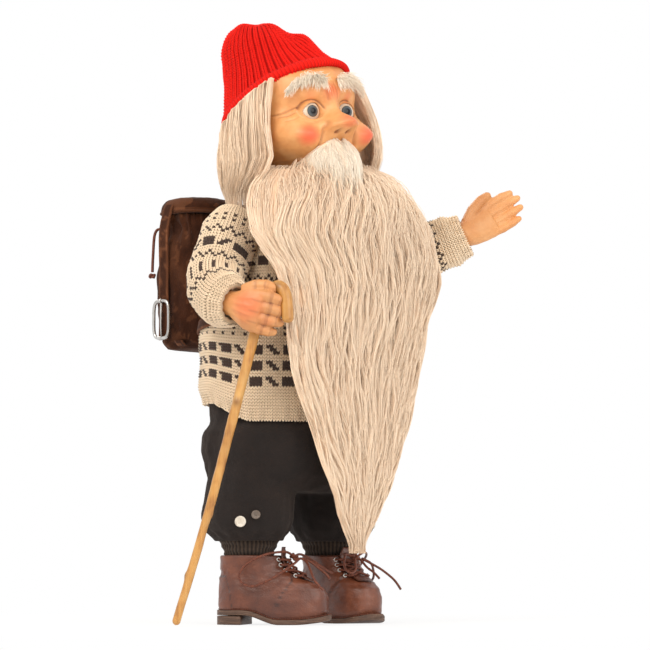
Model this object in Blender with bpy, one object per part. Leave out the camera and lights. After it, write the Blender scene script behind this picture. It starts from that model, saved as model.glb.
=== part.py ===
"""Christmas gnome figurine: a cloth-bodied doll with hat, beard, rucksack and stick.

The doll faces -Y and stands on the floor at z = 0. Lengths are metres.
"""
import math

import bmesh
import bpy
from mathutils import Matrix, Vector

MM = 0.001

# Clearances
GAP = 0.0003
TURN_GAP = 0.0006
SHOULDER_CLEARANCE = 0.0009
CUT_OVERRUN = 0.002

# Whole doll: heights above the floor
COLLAR_HEIGHT = 0.049
SOCK_TOP = 0.067
TROUSER_BOTTOM = 0.061
HEM_HEIGHT = 0.149
TROUSER_TOP = HEM_HEIGHT + 0.023
CHIN_HEIGHT = 0.340
NECK_BASE = CHIN_HEIGHT - 0.018
SHOULDER_HEIGHT = NECK_BASE - 0.035
HEAD_HEIGHT = 0.101

# Boots
SHOE_LENGTH = 0.080
SHOE_WIDTH = 0.041
SOLE_THICKNESS = 0.004
SOLE_MARGIN = 0.0022
HEEL_RISE = 0.007
HEEL_LENGTH = 0.021
TOE_SPRING = 0.003
ANKLE_SETBACK = 0.021
ANKLE_SPREAD = 0.046
RIGHT_TOE_IN = math.radians(30)
LEFT_TOE_IN = math.radians(-16)
LACE_RADIUS = 0.0009
LACE_RUNGS = 4
TONGUE_WIDTH = 0.015
TONGUE_THICKNESS = 0.0014

# Legs and trousers
LEG_RADIUS = 0.009
SOCK_FOOT_RADIUS = 0.0150
SOCK_COLLAR_RADIUS = 0.0170
SOCK_CALF_RADIUS = 0.0215
TROUSER_LEG_RADIUS = 0.033
TROUSER_CUFF_RADIUS = 0.0255
SEAT_HALF_WIDTH = 0.075
SEAT_HALF_DEPTH = 0.057
BUTTON_RADIUS = 0.0042
BUTTON_THICKNESS = 0.0018

# Sweater and arms
SWEATER_WALL = 0.003
HEM_HALF_WIDTH = 0.072
HEM_HALF_DEPTH = 0.055
BELLY_HALF_WIDTH = 0.076
BELLY_HALF_DEPTH = 0.061
CHEST_HALF_WIDTH = 0.056
CHEST_HALF_DEPTH = 0.043
NECK_HALF_WIDTH = 0.024
NECK_BAND_HEIGHT = 0.012
NECK_POST_RADIUS = 0.010
NECK_POST_DEPTH = 0.024
NECK_POST_RISE = 0.022
SHOULDER_SPREAD = 0.065
SHOULDER_SETBACK = 0.002
SLEEVE_TOP_RADIUS = 0.0215
SLEEVE_ELBOW_RADIUS = 0.0205
SLEEVE_CUFF_RADIUS = 0.0165
SLEEVE_WALL = 0.0026
WRIST_RADIUS = 0.0095
WRIST_STUB = 0.024

# Head, with heights above the chin. It sits ahead of the neck, turned and leant to its right.
HEAD_SETBACK = -0.010
HEAD_TURNED = math.radians(-15)
HEAD_LEAN = math.radians(-4)
HEAD_HALF_WIDTH = 0.042
HEAD_FRONT = 0.045
HEAD_BACK = 0.042
EYE_RADIUS = 0.0078
EYE_SPREAD = 0.0156
EYE_HEIGHT = 0.039
EYE_DEPTH = -0.0370

# Hat
HAT_TILT = math.radians(24)
HAT_LEAN = math.radians(-8)
HAT_SETBACK = 0.0125
HAT_HEIGHT = 0.073
HAT_HALF_WIDTH = 0.0480
HAT_HALF_DEPTH = 0.0550
HAT_WALL = 0.003
HAT_BRIM_HEIGHT = 0.0525

# Stick
STICK_TIP_RADIUS = 0.0029
STICK_GRIP_RADIUS = 0.0040
STICK_HANDLE_RADIUS = 0.0047

# Rucksack
BAG_BOTTOM = SHOULDER_HEIGHT - 0.079
BAG_HEIGHT = 0.103
BAG_HALF_WIDTH = 0.042
BAG_HALF_DEPTH = 0.027
BAG_WALL = 0.0022
LID_HEIGHT = 0.014
LID_OVERHANG = 0.003
STRAP_WIDTH = 0.009
STRAP_THICKNESS = 0.0016
STRAP_CLEARANCE = 0.0016
BUCKLE_WIDTH = 0.018
BUCKLE_HEIGHT = 0.031
BUCKLE_WIRE = 0.0013

SIDES = {"right": -1, "left": 1}


def clear_scene():
    for item in list(bpy.data.objects):
        bpy.data.objects.remove(item, do_unlink=True)


def material(name, colour, roughness, metallic=0.0):
    """A Principled material of one colour."""
    finish = bpy.data.materials.new(name)
    finish.use_nodes = True
    shader = finish.node_tree.nodes["Principled BSDF"]
    shader.inputs["Base Color"].default_value = (*colour, 1.0)
    shader.inputs["Roughness"].default_value = roughness
    shader.inputs["Metallic"].default_value = metallic
    finish.diffuse_color = (*colour, 1.0)
    return finish


def make_materials():
    return {
        "skin": material("skin", (0.74, 0.42, 0.22), 0.5),
        "eye": material("eye", (0.10, 0.12, 0.14), 0.1),
        "fur": material("fur", (0.80, 0.66, 0.50), 0.8),
        "hat_knit": material("hat_knit", (0.72, 0.02, 0.015), 0.9),
        "knit": material("knit", (0.86, 0.76, 0.60), 0.9),
        "stuffing": material("stuffing", (0.80, 0.74, 0.64), 0.9),
        "velour": material("velour", (0.02, 0.012, 0.008), 0.9),
        "sock": material("sock", (0.05, 0.03, 0.02), 0.9),
        "boot": material("boot", (0.17, 0.065, 0.035), 0.5),
        "lace": material("lace", (0.14, 0.03, 0.012), 0.7),
        "sole": material("sole", (0.20, 0.13, 0.08), 0.6),
        "suede": material("suede", (0.06, 0.022, 0.010), 0.85),
        "steel": material("steel", (0.60, 0.58, 0.55), 0.3, 1.0),
        "root": material("root", (0.75, 0.38, 0.09), 0.5),
        "button": material("button", (0.55, 0.45, 0.36), 0.4),
        "wood": material("wood", (0.55, 0.38, 0.22), 0.6),
    }


def smooth_values(points, steps):
    """Points along a smooth curve through the given tuples, ends included."""
    rows = [tuple(float(value) for value in point) for point in points]
    result = []
    last = len(rows) - 1
    for index in range(last):
        before = rows[max(index - 1, 0)]
        start = rows[index]
        end = rows[index + 1]
        after = rows[min(index + 2, last)]
        for step in range(steps):
            t = step / steps
            result.append(tuple(
                0.5 * (2 * b + (c - a) * t + (2 * a - 5 * b + 4 * c - d) * t * t
                       + (3 * b - a - 3 * c + d) * t ** 3)
                for a, b, c, d in zip(before, start, end, after)))
    result.append(rows[-1])
    return result


def table_at(rows, position):
    """Values of a table of rows at a position in its first column, read smoothly."""
    if position <= rows[0][0]:
        return rows[0][1:]
    for lower, upper in zip(rows, rows[1:]):
        if position <= upper[0]:
            t = (position - lower[0]) / (upper[0] - lower[0])
            t = t * t * (3 - 2 * t) * 0.5 + t * 0.5
            return tuple(a + (b - a) * t for a, b in zip(lower[1:], upper[1:]))
    return rows[-1][1:]


def finish_object(name, mesh_data, finish, parent, smooth=True):
    """An object for finished mesh data, with its material and parent."""
    mesh = bpy.data.meshes.new(name)
    mesh_data.to_mesh(mesh)
    mesh_data.free()
    if smooth:
        mesh.shade_smooth()
        mesh.set_sharp_from_angle(angle=math.radians(50))
    mesh.materials.append(finish)
    piece = bpy.data.objects.new(name, mesh)
    bpy.context.scene.collection.objects.link(piece)
    piece.parent = parent
    return piece


def loft(name, rings, finish, parent, closed_path=False, strip_caps=False):
    """A closed body through rings of points; the first and last ring are capped.

    Rings run so that their points turn anticlockwise seen against the path. Strip caps are
    for thin bent rings, whose second half runs back along the first.
    """
    data = bmesh.new()
    rows = [[data.verts.new(point) for point in ring] for ring in rings]
    count = len(rows[0])
    pairs = list(zip(rows, rows[1:]))
    if closed_path:
        pairs.append((rows[-1], rows[0]))
    for low, high in pairs:
        for index in range(count):
            following = (index + 1) % count
            data.faces.new((low[index], low[following], high[following], high[index]))
    if not closed_path:
        for ring, flip in ((rows[0], True), (rows[-1], False)):
            if strip_caps:
                for index in range(count // 2 - 1):
                    corners = (ring[index], ring[index + 1], ring[count - 2 - index],
                               ring[count - 1 - index])
                    data.faces.new(corners[::-1] if flip else corners)
                continue
            centre = data.verts.new(sum((vert.co for vert in ring), Vector()) / count)
            for index in range(count):
                following = (index + 1) % count
                corners = (ring[index], ring[following], centre)
                data.faces.new(corners[::-1] if flip else corners)
    bmesh.ops.recalc_face_normals(data, faces=data.faces)
    return finish_object(name, data, finish, parent)


def ellipse(centre, half_width, half_depth, count=24, power=2.0, front=None):
    """A level ring of points; front, if given, is the half depth towards -Y."""
    ring = []
    for index in range(count):
        angle = 2 * math.pi * index / count
        cosine = math.cos(angle)
        sine = math.sin(angle)
        depth = half_depth if sine > 0 or front is None else front
        x = half_width * math.copysign(abs(cosine) ** (2 / power), cosine)
        y = depth * math.copysign(abs(sine) ** (2 / power), sine)
        ring.append(Vector((centre[0] + x, centre[1] + y, centre[2])))
    return ring


def frames_along(points):
    """The direction of travel and two square directions at each point of a path."""
    result = []
    across = None
    for index, point in enumerate(points):
        ahead = points[min(index + 1, len(points) - 1)]
        behind = points[max(index - 1, 0)]
        forward = (ahead - behind).normalized()
        if across is None:
            guide = Vector((0, 0, 1)) if abs(forward.z) < 0.8 else Vector((1, 0, 0))
            across = forward.cross(guide).normalized()
        else:
            across = (across - forward * across.dot(forward)).normalized()
        result.append((forward, across, forward.cross(across)))
    return result


def tube_rings(path, radii, count=16, flat=1.0):
    """Rings round a path, one radius to a point; flat scales the second direction."""
    points = [Vector(point) for point in path]
    rings = []
    for point, radius, (_, across, up) in zip(points, radii, frames_along(points)):
        ring = []
        for index in range(count):
            angle = 2 * math.pi * index / count
            ring.append(point + across * radius * math.cos(angle)
                        + up * radius * flat * math.sin(angle))
        rings.append(ring)
    return rings


def ball_ends(path, radii, start=True, end=True, steps=4):
    """A path and radii with half-round ends added."""
    points = [Vector(point) for point in path]
    radii = list(radii)
    if start:
        forward = (points[1] - points[0]).normalized()
        centre, radius = points[0], radii[0]
        for step in range(1, steps + 1):
            angle = math.pi / 2 * step / (steps + 0.35)
            points.insert(0, centre - forward * radius * math.sin(angle))
            radii.insert(0, radius * math.cos(angle))
    if end:
        forward = (points[-1] - points[-2]).normalized()
        centre, radius = points[-1], radii[-1]
        for step in range(1, steps + 1):
            angle = math.pi / 2 * step / (steps + 0.35)
            points.append(centre + forward * radius * math.sin(angle))
            radii.append(radius * math.cos(angle))
    return points, radii


def cutter(piece):
    """Marks an object as a cutting guide, which is not part of the doll."""
    piece.hide_render = True
    piece.display_type = "WIRE"
    return piece


def boolean(piece, tool, operation="DIFFERENCE", solver="EXACT"):
    """Cuts a piece with a form or adds it. MANIFOLD is used where EXACT leaves open edges."""
    change = piece.modifiers.new(operation.lower(), "BOOLEAN")
    change.operation = operation
    change.solver = solver
    change.object = tool
    return piece


def cylinder(name, low, high, radius, finish, parent, count=20):
    """A round bar between two points."""
    return loft(name, tube_rings([low, high], [radius, radius], count), finish, parent)


def empty(name, place, parent=None):
    item = bpy.data.objects.new(name, None)
    item.empty_display_size = 0.02
    bpy.context.scene.collection.objects.link(item)
    item.parent = parent
    item.location = place
    return item


def cord_node(name, route, radius, finish, parent, steps=2):
    """A thin round cord along a smooth curve through the points of its route."""
    curve = bpy.data.curves.new(name, "CURVE")
    curve.dimensions = "3D"
    curve.bevel_depth = radius
    curve.bevel_resolution = 2
    curve.use_fill_caps = True
    points = smooth_values(route, steps)
    spline = curve.splines.new("POLY")
    spline.points.add(len(points) - 1)
    for target, point in zip(spline.points, points):
        target.co = (*point, 1.0)
    curve.materials.append(finish)
    piece = bpy.data.objects.new(name, curve)
    bpy.context.scene.collection.objects.link(piece)
    piece.parent = parent
    return piece


# Boots. In a boot's own frame the ankle is over the origin and the toe points to -Y.

TOE_REACH = SHOE_LENGTH - ANKLE_SETBACK
SOLE_TOP = SOLE_THICKNESS
SOLE_BACK = ANKLE_SETBACK + SOLE_MARGIN
SOLE_FRONT = -(TOE_REACH + SOLE_MARGIN)
SOLE_STATIONS = 20
UPPER_HEIGHT = COLLAR_HEIGHT - SOLE_TOP
INNER_FLOOR = COLLAR_HEIGHT - 0.015
OUTLINE_POWER = 2.5
# Shares of the height, toe reach, heel reach and half width, from the welt to the collar
BOOT_SLICES = [
    (0.00, 0.975, 0.97, 0.96), (0.10, 1.00, 1.00, 1.00), (0.30, 0.995, 0.99, 1.00),
    (0.46, 0.955, 0.965, 0.95), (0.57, 0.86, 0.95, 0.92), (0.66, 0.70, 0.94, 0.90),
    (0.76, 0.54, 0.95, 0.89), (0.88, 0.45, 0.965, 0.90), (1.00, 0.42, 0.98, 0.93),
]


def boot_lift(y):
    """Height by which the heel and the toe tip rise above the ball of the foot."""
    ahead = -y
    heel = min(max((0.026 - ahead) / 0.026, 0.0), 1.0)
    heel = heel * heel * (3 - 2 * heel)
    toe = max((ahead - 0.036) / (TOE_REACH - 0.036), 0.0)
    return HEEL_RISE * heel + TOE_SPRING * toe * toe


def boot_reach(share):
    """Toe reach, heel reach and half width of the upper at a share of its height."""
    toe, heel, width = table_at(BOOT_SLICES, share)
    return toe * TOE_REACH, heel * ANKLE_SETBACK, width * SHOE_WIDTH / 2


def boot_ring(share, count=20):
    toe, heel, half_width = boot_reach(share)
    ring = []
    for point in ellipse((0, 0, 0), half_width, heel, count, OUTLINE_POWER, toe):
        narrowing = 1 - 0.14 * max(point.y, 0) / heel
        rise = boot_lift(point.y) * (1 - share)
        ring.append(Vector((point.x * narrowing, point.y, SOLE_TOP + UPPER_HEIGHT * share + rise)))
    return ring


def boot_surface(share, x):
    """How far ahead of the ankle the upper reaches at a share of its height."""
    toe, _, half_width = boot_reach(share)
    return -toe * (1 - abs(x / half_width) ** OUTLINE_POWER) ** (1 / OUTLINE_POWER)


def make_upper(name, finish, parent):
    """Leather upper: outer skin up to the collar, then down the ankle opening."""
    rings = [boot_ring(row[0]) for row in BOOT_SLICES]
    rings.insert(0, [Vector((point.x, point.y, 0)) for point in rings[0]])
    collar = ellipse((0, 0, COLLAR_HEIGHT), SOCK_COLLAR_RADIUS + GAP, SOCK_COLLAR_RADIUS + GAP, 20)
    floor = ellipse((0, 0, INNER_FLOOR), SOCK_FOOT_RADIUS + GAP, SOCK_FOOT_RADIUS + GAP, 20)
    upper = loft(name, rings + [collar, floor], finish, parent)
    slab = slab_rings(SOLE_BACK, SOLE_FRONT, lambda y: SHOE_WIDTH, lambda y: -CUT_OVERRUN,
                      lambda y: boot_lift(y) + SOLE_THICKNESS, SOLE_STATIONS)
    boolean(upper, cutter(loft("sole_form_" + name, slab, finish, parent)))


def slab_rings(back, front, half_width_at, low_at, high_at, count=15):
    """Upright sections of a slab, from its back to its front."""
    rings = []
    for index in range(count):
        share = 0.5 - 0.5 * math.cos(math.pi * index / (count - 1))
        y = back + (front - back) * share
        half_width = half_width_at(y)
        low, high = low_at(y), high_at(y)
        rings.append([Vector((-half_width, y, low)), Vector((half_width, y, low)),
                      Vector((half_width, y, high)), Vector((-half_width, y, high))])
    return rings


def sole_half_width(y):
    """Half width of the sole's outline, never a sharp point at its ends."""
    reach = (TOE_REACH if y < 0 else ANKLE_SETBACK) + SOLE_MARGIN
    half_width = SHOE_WIDTH / 2 + SOLE_MARGIN
    narrowing = 1 - 0.14 * max(y, 0) / ANKLE_SETBACK
    inside = max(1 - abs(y / reach) ** OUTLINE_POWER, 0.012)
    return half_width * narrowing * inside ** (1 / OUTLINE_POWER)


def make_sole(name, finish, parent):
    rings = slab_rings(SOLE_BACK, SOLE_FRONT, sole_half_width, boot_lift,
                       lambda y: boot_lift(y) + SOLE_THICKNESS - GAP, SOLE_STATIONS)
    loft(name, rings, finish, parent)


def make_heel(name, finish, parent):
    rings = slab_rings(SOLE_BACK, SOLE_BACK - HEEL_LENGTH, sole_half_width, lambda y: 0.0,
                       lambda y: boot_lift(y) - 2 * GAP, 9)
    loft(name, rings, finish, parent)


def make_tongue(name, finish, parent):
    """Leather tongue lying on the instep and standing above the collar."""
    rings = []
    for share in (0.60, 0.68, 0.76, 0.84, 0.92, 1.0, 1.14):
        surface = boot_surface(min(share, 1.0), 0) - GAP * 2
        z = SOLE_TOP + UPPER_HEIGHT * share + boot_lift(surface) * (1 - min(share, 1.0)) + 0.0006
        half = TONGUE_WIDTH / 2 * (0.72 + 0.3 * share)
        outer = surface - TONGUE_THICKNESS
        rings.append([Vector((-half, surface, z)), Vector((-half, outer, z)),
                      Vector((0, outer - 0.0003, z)),
                      Vector((half, outer, z)), Vector((half, surface, z))])
    loft(name, rings, finish, parent)


def rung_share(index):
    return 0.68 + 0.26 * index / (LACE_RUNGS - 1)


def make_lacing(name, side, finish, parent):
    """The lace through the eyelets, rung by rung up the tongue, and the bow's knot."""
    rows = []
    for index in range(LACE_RUNGS):
        share = rung_share(index)
        way = 1 if index % 2 else -1
        for step in range(-3, 4 if index < LACE_RUNGS - 1 else 0):
            x = way * step / 3 * RUNG_REACH
            over = TONGUE_THICKNESS + 2 * GAP if abs(step) < 3 else 0.0
            climb = LACE_RADIUS * step / 3
            over += LACE_RADIUS * max(0.85 - share, 0.0) * 10
            rows.append((x, boot_surface(share, x) - over - LACE_CLEARANCE,
                         SOLE_TOP + UPPER_HEIGHT * share + 0.0012 + climb, LACE_RADIUS))
    knot = bow_knot()
    for x, drop, size in ((0.0012, 0.0034, 0.5), (0.0004, 0.0020, 0.8), (0, 0.0006, 1.0),
                          (0, -0.0006, 1.0), (0, -0.0020, 0.5)):
        rows.append((x * math.copysign(1, rows[-1][0]), knot.y + drop * 0.2, knot.z - drop,
                     KNOT_RADIUS * size))
    rings = tube_rings([row[:3] for row in rows], [row[3] for row in rows], 6)
    loft(name, rings, finish, parent)


KNOT_RADIUS = 0.0020
RUNG_REACH = 0.0105
LACE_CLEARANCE = 0.0030


def bow_knot():
    """The middle of the bow's knot, ahead of the top rung."""
    ahead = TONGUE_THICKNESS + 2 * GAP + LACE_CLEARANCE + LACE_RADIUS + KNOT_RADIUS
    return Vector((0, boot_surface(0.94, 0) - ahead, SOLE_TOP + UPPER_HEIGHT * 0.94 + 0.0032))


# Routes of a bow's halves from the knot: out, round the loop, back past the knot and
# along the free end. Each point is measured from the knot's middle, outwards first.
BOW_ROUTES = {
    "outer": [(2.3, 0.0, 0.3), (12, 4.6, 3.6), (24, 19, 1.0), (27, 32, -7), (27, 35.5, -16),
              (27, 27, -21.5), (25.5, 12, -16), (15, -1.5, -6), (7, -4.5, -2.2), (3.3, -5.6, -1.2),
              (3.6, -8.4, -2.4), (7.5, -11.5, -5), (15, -15, -9.8), (22.5, -19.5, -17),
              (24, -26, -24)],
    "inner": [(-2.3, 0.0, 0.3), (-10, -3.5, 1.8), (-17.5, -12, -3.4), (-21.5, -19.5, -9),
              (-20, -25, -12), (-13.5, -21, -9.4), (-7.5, -12, -4), (-3.4, -6.6, -1.4),
              (-1.0, -8.8, -1.8), (-1.2, -13, -4.2), (-0.6, -18, -8), (1.6, -23, -11.5),
              (3.6, -27.5, -16)],
}


def bow_route(side, half):
    knot = bow_knot()
    return [(knot.x + side * x * MM, knot.y + y * MM, knot.z + z * MM)
            for x, y, z in BOW_ROUTES[half]]


def make_boot(side_name, finishes, figure):
    """One boot with its sole, heel, tongue and laces."""
    side = SIDES[side_name]
    boot = empty("boot_" + side_name, (side * ANKLE_SPREAD, 0, 0), figure)
    boot.rotation_euler.z = RIGHT_TOE_IN if side_name == "right" else LEFT_TOE_IN
    make_upper("boot_upper_" + side_name, finishes["boot"], boot)
    make_sole("boot_sole_" + side_name, finishes["sole"], boot)
    make_heel("boot_heel_" + side_name, finishes["sole"], boot)
    make_tongue("boot_tongue_" + side_name, finishes["boot"], boot)
    make_lacing("lacing_" + side_name, side, finishes["lace"], boot)
    for half in BOW_ROUTES:
        cord_node(f"lace_bow_{half}_{side_name}", bow_route(side, half), LACE_RADIUS,
                  finishes["lace"], boot)


# Legs, socks and knickerbockers

def make_leg(side_name, finishes, figure):
    """Leg core, from the boot's inner floor up into the seat, and its sock."""
    x = SIDES[side_name] * ANKLE_SPREAD
    low = INNER_FLOOR + GAP
    cylinder("leg_core_" + side_name, (x, 0, low), (x, 0, TROUSER_TOP - 0.012), LEG_RADIUS,
             finishes["wood"], figure)
    rows = [(low, SOCK_FOOT_RADIUS), (COLLAR_HEIGHT, SOCK_COLLAR_RADIUS),
            (COLLAR_HEIGHT + 0.006, SOCK_COLLAR_RADIUS + 0.0025),
            (TROUSER_BOTTOM, SOCK_CALF_RADIUS), (SOCK_TOP, SOCK_CALF_RADIUS)]
    outer = [ellipse((x, 0, z), radius, radius, 20) for z, radius in rows]
    bore = LEG_RADIUS + GAP
    inner = [ellipse((x, 0, z), bore, bore, 20) for z in (SOCK_TOP, low)]
    loft("sock_" + side_name, outer + inner, finishes["sock"], figure, closed_path=True)


def make_trousers(finishes, figure):
    """Baggy knickerbockers: a seat and two legs in one body, bored for the legs."""
    top_half_width = HEM_HALF_WIDTH - SWEATER_WALL - 5 * GAP
    top_half_depth = HEM_HALF_DEPTH - SWEATER_WALL - 5 * GAP
    seat_rows = [
        (HEM_HEIGHT - 0.052, SEAT_HALF_WIDTH * 0.84, SEAT_HALF_DEPTH * 0.70),
        (HEM_HEIGHT - 0.040, SEAT_HALF_WIDTH * 0.96, SEAT_HALF_DEPTH * 0.90),
        (HEM_HEIGHT - 0.022, SEAT_HALF_WIDTH, SEAT_HALF_DEPTH),
        (HEM_HEIGHT - 0.008, SEAT_HALF_WIDTH * 0.985, SEAT_HALF_DEPTH * 0.985),
        (HEM_HEIGHT - 0.001, top_half_width, top_half_depth),
        (TROUSER_TOP, top_half_width, top_half_depth),
    ]
    seat_rings = [ellipse((0, 0, z), a, b, 24, 2.2) for z, a, b in seat_rows]
    trousers = loft("trousers", seat_rings, finishes["velour"], figure)
    for side_name, side in SIDES.items():
        x = side * ANKLE_SPREAD
        leg = TROUSER_LEG_RADIUS
        cuff = TROUSER_CUFF_RADIUS
        rows = [(TROUSER_BOTTOM, x, cuff * 0.985), (TROUSER_BOTTOM + 0.003, x, cuff),
                (TROUSER_BOTTOM + 0.008, x * 1.01, leg * 0.92),
                (TROUSER_BOTTOM + 0.017, x * 1.01, leg),
                (TROUSER_BOTTOM + 0.035, x * 0.98, leg), (HEM_HEIGHT - 0.035, x * 0.88, leg),
                (HEM_HEIGHT - 0.018, x * 0.80, leg * 0.96)]
        rings = [ellipse((centre, 0, z), r, r * 1.06, 18) for z, centre, r in rows]
        leg_form = cutter(loft("leg_form_" + side_name, rings, finishes["velour"], figure))
        boolean(trousers, leg_form, "UNION", "MANIFOLD")
        bore = cutter(cylinder("leg_bore_" + side_name, (x, 0, TROUSER_BOTTOM - CUT_OVERRUN),
                               (x, 0, TROUSER_TOP - 0.012 + GAP), LEG_RADIUS + GAP,
                               finishes["velour"], figure))
        boolean(trousers, bore, solver="MANIFOLD")
        recess = cutter(cylinder("sock_recess_" + side_name,
                                 (x, 0, TROUSER_BOTTOM - CUT_OVERRUN), (x, 0, SOCK_TOP + GAP),
                                 SOCK_CALF_RADIUS + 2 * GAP, finishes["velour"], figure, 24))
        boolean(trousers, recess, solver="MANIFOLD")
        make_cuff_buttons(side_name, x, finishes, figure)


def make_cuff_buttons(side_name, x, finishes, figure):
    """A pale and a dark button on the outer side of the cuff."""
    side = SIDES[side_name]
    for name, angle, rise, scale in (("pale", -2.62, 0.014, 1.0), ("dark", -2.30, 0.019, 0.8)):
        direction = Vector((-side * math.cos(angle), math.sin(angle), 0))
        radius = TROUSER_LEG_RADIUS
        stretch = Vector((direction.x * radius, direction.y * radius * 1.06, 0))
        place = Vector((x * 1.01, 0, TROUSER_BOTTOM + rise)) + stretch
        low = place + direction * GAP
        cylinder(f"cuff_button_{name}_{side_name}", low, low + direction * BUTTON_THICKNESS,
                 BUTTON_RADIUS * scale, finishes["button"], figure, 14)


# Torso and sweater. The rows give a share of the height from hem to neck, then
# half width, depth behind and depth in front of the sweater's outer face.

TORSO_POWER = 2.15
TORSO_SLICES = [
    (0.00, HEM_HALF_WIDTH, HEM_HALF_DEPTH, HEM_HALF_DEPTH),
    (0.16, HEM_HALF_WIDTH * 1.045, HEM_HALF_DEPTH * 1.03, HEM_HALF_DEPTH * 1.06),
    (0.335, BELLY_HALF_WIDTH, BELLY_HALF_DEPTH * 0.95, BELLY_HALF_DEPTH),
    (0.50, BELLY_HALF_WIDTH * 0.93, BELLY_HALF_DEPTH * 0.89, BELLY_HALF_DEPTH * 0.92),
    (0.64, CHEST_HALF_WIDTH * 1.10, CHEST_HALF_DEPTH * 1.13, CHEST_HALF_DEPTH * 1.14),
    (0.80, CHEST_HALF_WIDTH, CHEST_HALF_DEPTH, CHEST_HALF_DEPTH),
    (0.89, CHEST_HALF_WIDTH * 0.82, CHEST_HALF_DEPTH * 0.84, CHEST_HALF_DEPTH * 0.84),
    (0.955, NECK_HALF_WIDTH * 1.35, NECK_HALF_WIDTH * 1.18, NECK_HALF_WIDTH * 1.18),
    (1.00, NECK_HALF_WIDTH, NECK_HALF_WIDTH, NECK_HALF_WIDTH),
]


def torso_reach(z):
    return table_at(TORSO_SLICES, (z - HEM_HEIGHT) / (NECK_BASE - HEM_HEIGHT))


def torso_ring(z, inset, count=24):
    half_width, back, front = torso_reach(z)
    return ellipse((0, 0, z), half_width - inset, back - inset, count, TORSO_POWER, front - inset)


def torso_point(z, angle, outward=0.0):
    """A point on the sweater, or proud of it; angle 0 is +X, and -90 degrees the front."""
    half_width, back, front = torso_reach(z)
    cosine, sine = math.cos(angle), math.sin(angle)
    depth = back if sine > 0 else front
    share = 2 / TORSO_POWER
    x = half_width * math.copysign(abs(cosine) ** share, cosine)
    y = depth * math.copysign(abs(sine) ** share, sine)
    normal = Vector((x / half_width ** 2, y / depth ** 2, 0)).normalized()
    return Vector((x, y, z)) + normal * outward


def torso_levels(low, high, count):
    return [low + (high - low) * index / count for index in range(count + 1)]


def make_torso(finishes, figure, arm_forms):
    """Stuffed core and the sweater's knitted body round it, both recessed for the arms."""
    core_levels = torso_levels(TROUSER_TOP + GAP, NECK_BASE, 10)
    levels = [HEM_HEIGHT, (HEM_HEIGHT + TROUSER_TOP) / 2] + core_levels
    outer = [torso_ring(z, 0.0) for z in levels]
    inner = [torso_ring(z, SWEATER_WALL) for z in levels]
    sweater = loft("sweater_body", outer + inner[::-1], finishes["knit"], figure,
                   closed_path=True)
    inset = SWEATER_WALL + 2 * GAP
    core_rings = [torso_ring(z, inset) for z in core_levels]
    core = loft("torso_core", core_rings, finishes["stuffing"], figure)
    for form in arm_forms:
        boolean(sweater, form)
        boolean(core, form)
    post_low = NECK_BASE - NECK_POST_DEPTH
    bore = cutter(cylinder("neck_bore", (0, 0, post_low - GAP), (0, 0, NECK_BASE + CUT_OVERRUN),
                           NECK_POST_RADIUS + GAP, finishes["stuffing"], figure))
    boolean(core, bore)
    cylinder("neck_post", (0, 0, post_low), (0, 0, CHIN_HEIGHT + NECK_POST_RISE),
             NECK_POST_RADIUS, finishes["wood"], figure)
    low = NECK_BASE + GAP
    high = NECK_BASE + NECK_BAND_HEIGHT
    band = NECK_HALF_WIDTH
    hole = NECK_POST_RADIUS + 0.004
    rings = [ellipse((0, 0, low), band, band), ellipse((0, 0, high), band - 0.001, band - 0.001),
             ellipse((0, 0, high), hole, hole), ellipse((0, 0, low), hole, hole)]
    loft("sweater_neck_band", rings, finishes["knit"], figure, closed_path=True)


# Arms: shoulder centre, elbow, wrist and finger direction of each arm

SHOULDER = {side: Vector((sign * SHOULDER_SPREAD, SHOULDER_SETBACK, SHOULDER_HEIGHT))
            for side, sign in SIDES.items()}
ELBOW = {"right": SHOULDER["right"] + Vector((-0.034, -0.008, -0.051)),
         "left": SHOULDER["left"] + Vector((0.039, -0.034, -0.009))}
WRIST = {"right": SHOULDER["right"] + Vector((-0.034, -0.034, -0.056)),
         "left": ELBOW["left"] + Vector((0.023, -0.036, 0.019))}
FINGERS = {"right": Vector((0.009, -0.034, -0.011)).normalized(),
           "left": Vector((0.042, -0.022, 0.028)).normalized()}
ARM_SIDES = 14
# The elbow's bend starts at this share of the way back up the arm and has this many steps.
BEND_SHARE = 0.5
BEND_STEPS = 5
BALL_STEPS = 4
# Radius of the sleeve at shares of the way round its bend
SLEEVE_RADII = [(0.0, SLEEVE_TOP_RADIUS * 0.95), (0.5, SLEEVE_ELBOW_RADIUS),
                (0.8, SLEEVE_ELBOW_RADIUS * 0.95), (1.0, SLEEVE_CUFF_RADIUS)]


def sleeve_path(side_name, grow):
    """Centre line and radii of a sleeve, with its ball end at the shoulder."""
    shoulder, elbow, wrist = SHOULDER[side_name], ELBOW[side_name], WRIST[side_name]
    bend = elbow.lerp(shoulder, BEND_SHARE)
    path = [shoulder, shoulder.lerp(bend, 0.5)]
    radii = [SLEEVE_TOP_RADIUS, SLEEVE_TOP_RADIUS * 0.98]
    for step in range(BEND_STEPS + 1):
        t = step / BEND_STEPS
        path.append(bend * (1 - t) ** 2 + elbow * 2 * t * (1 - t) + wrist * t ** 2)
        radii.append(table_at(SLEEVE_RADII, t)[0])
    return ball_ends(path, [radius + grow for radius in radii], end=False, steps=BALL_STEPS)


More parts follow.
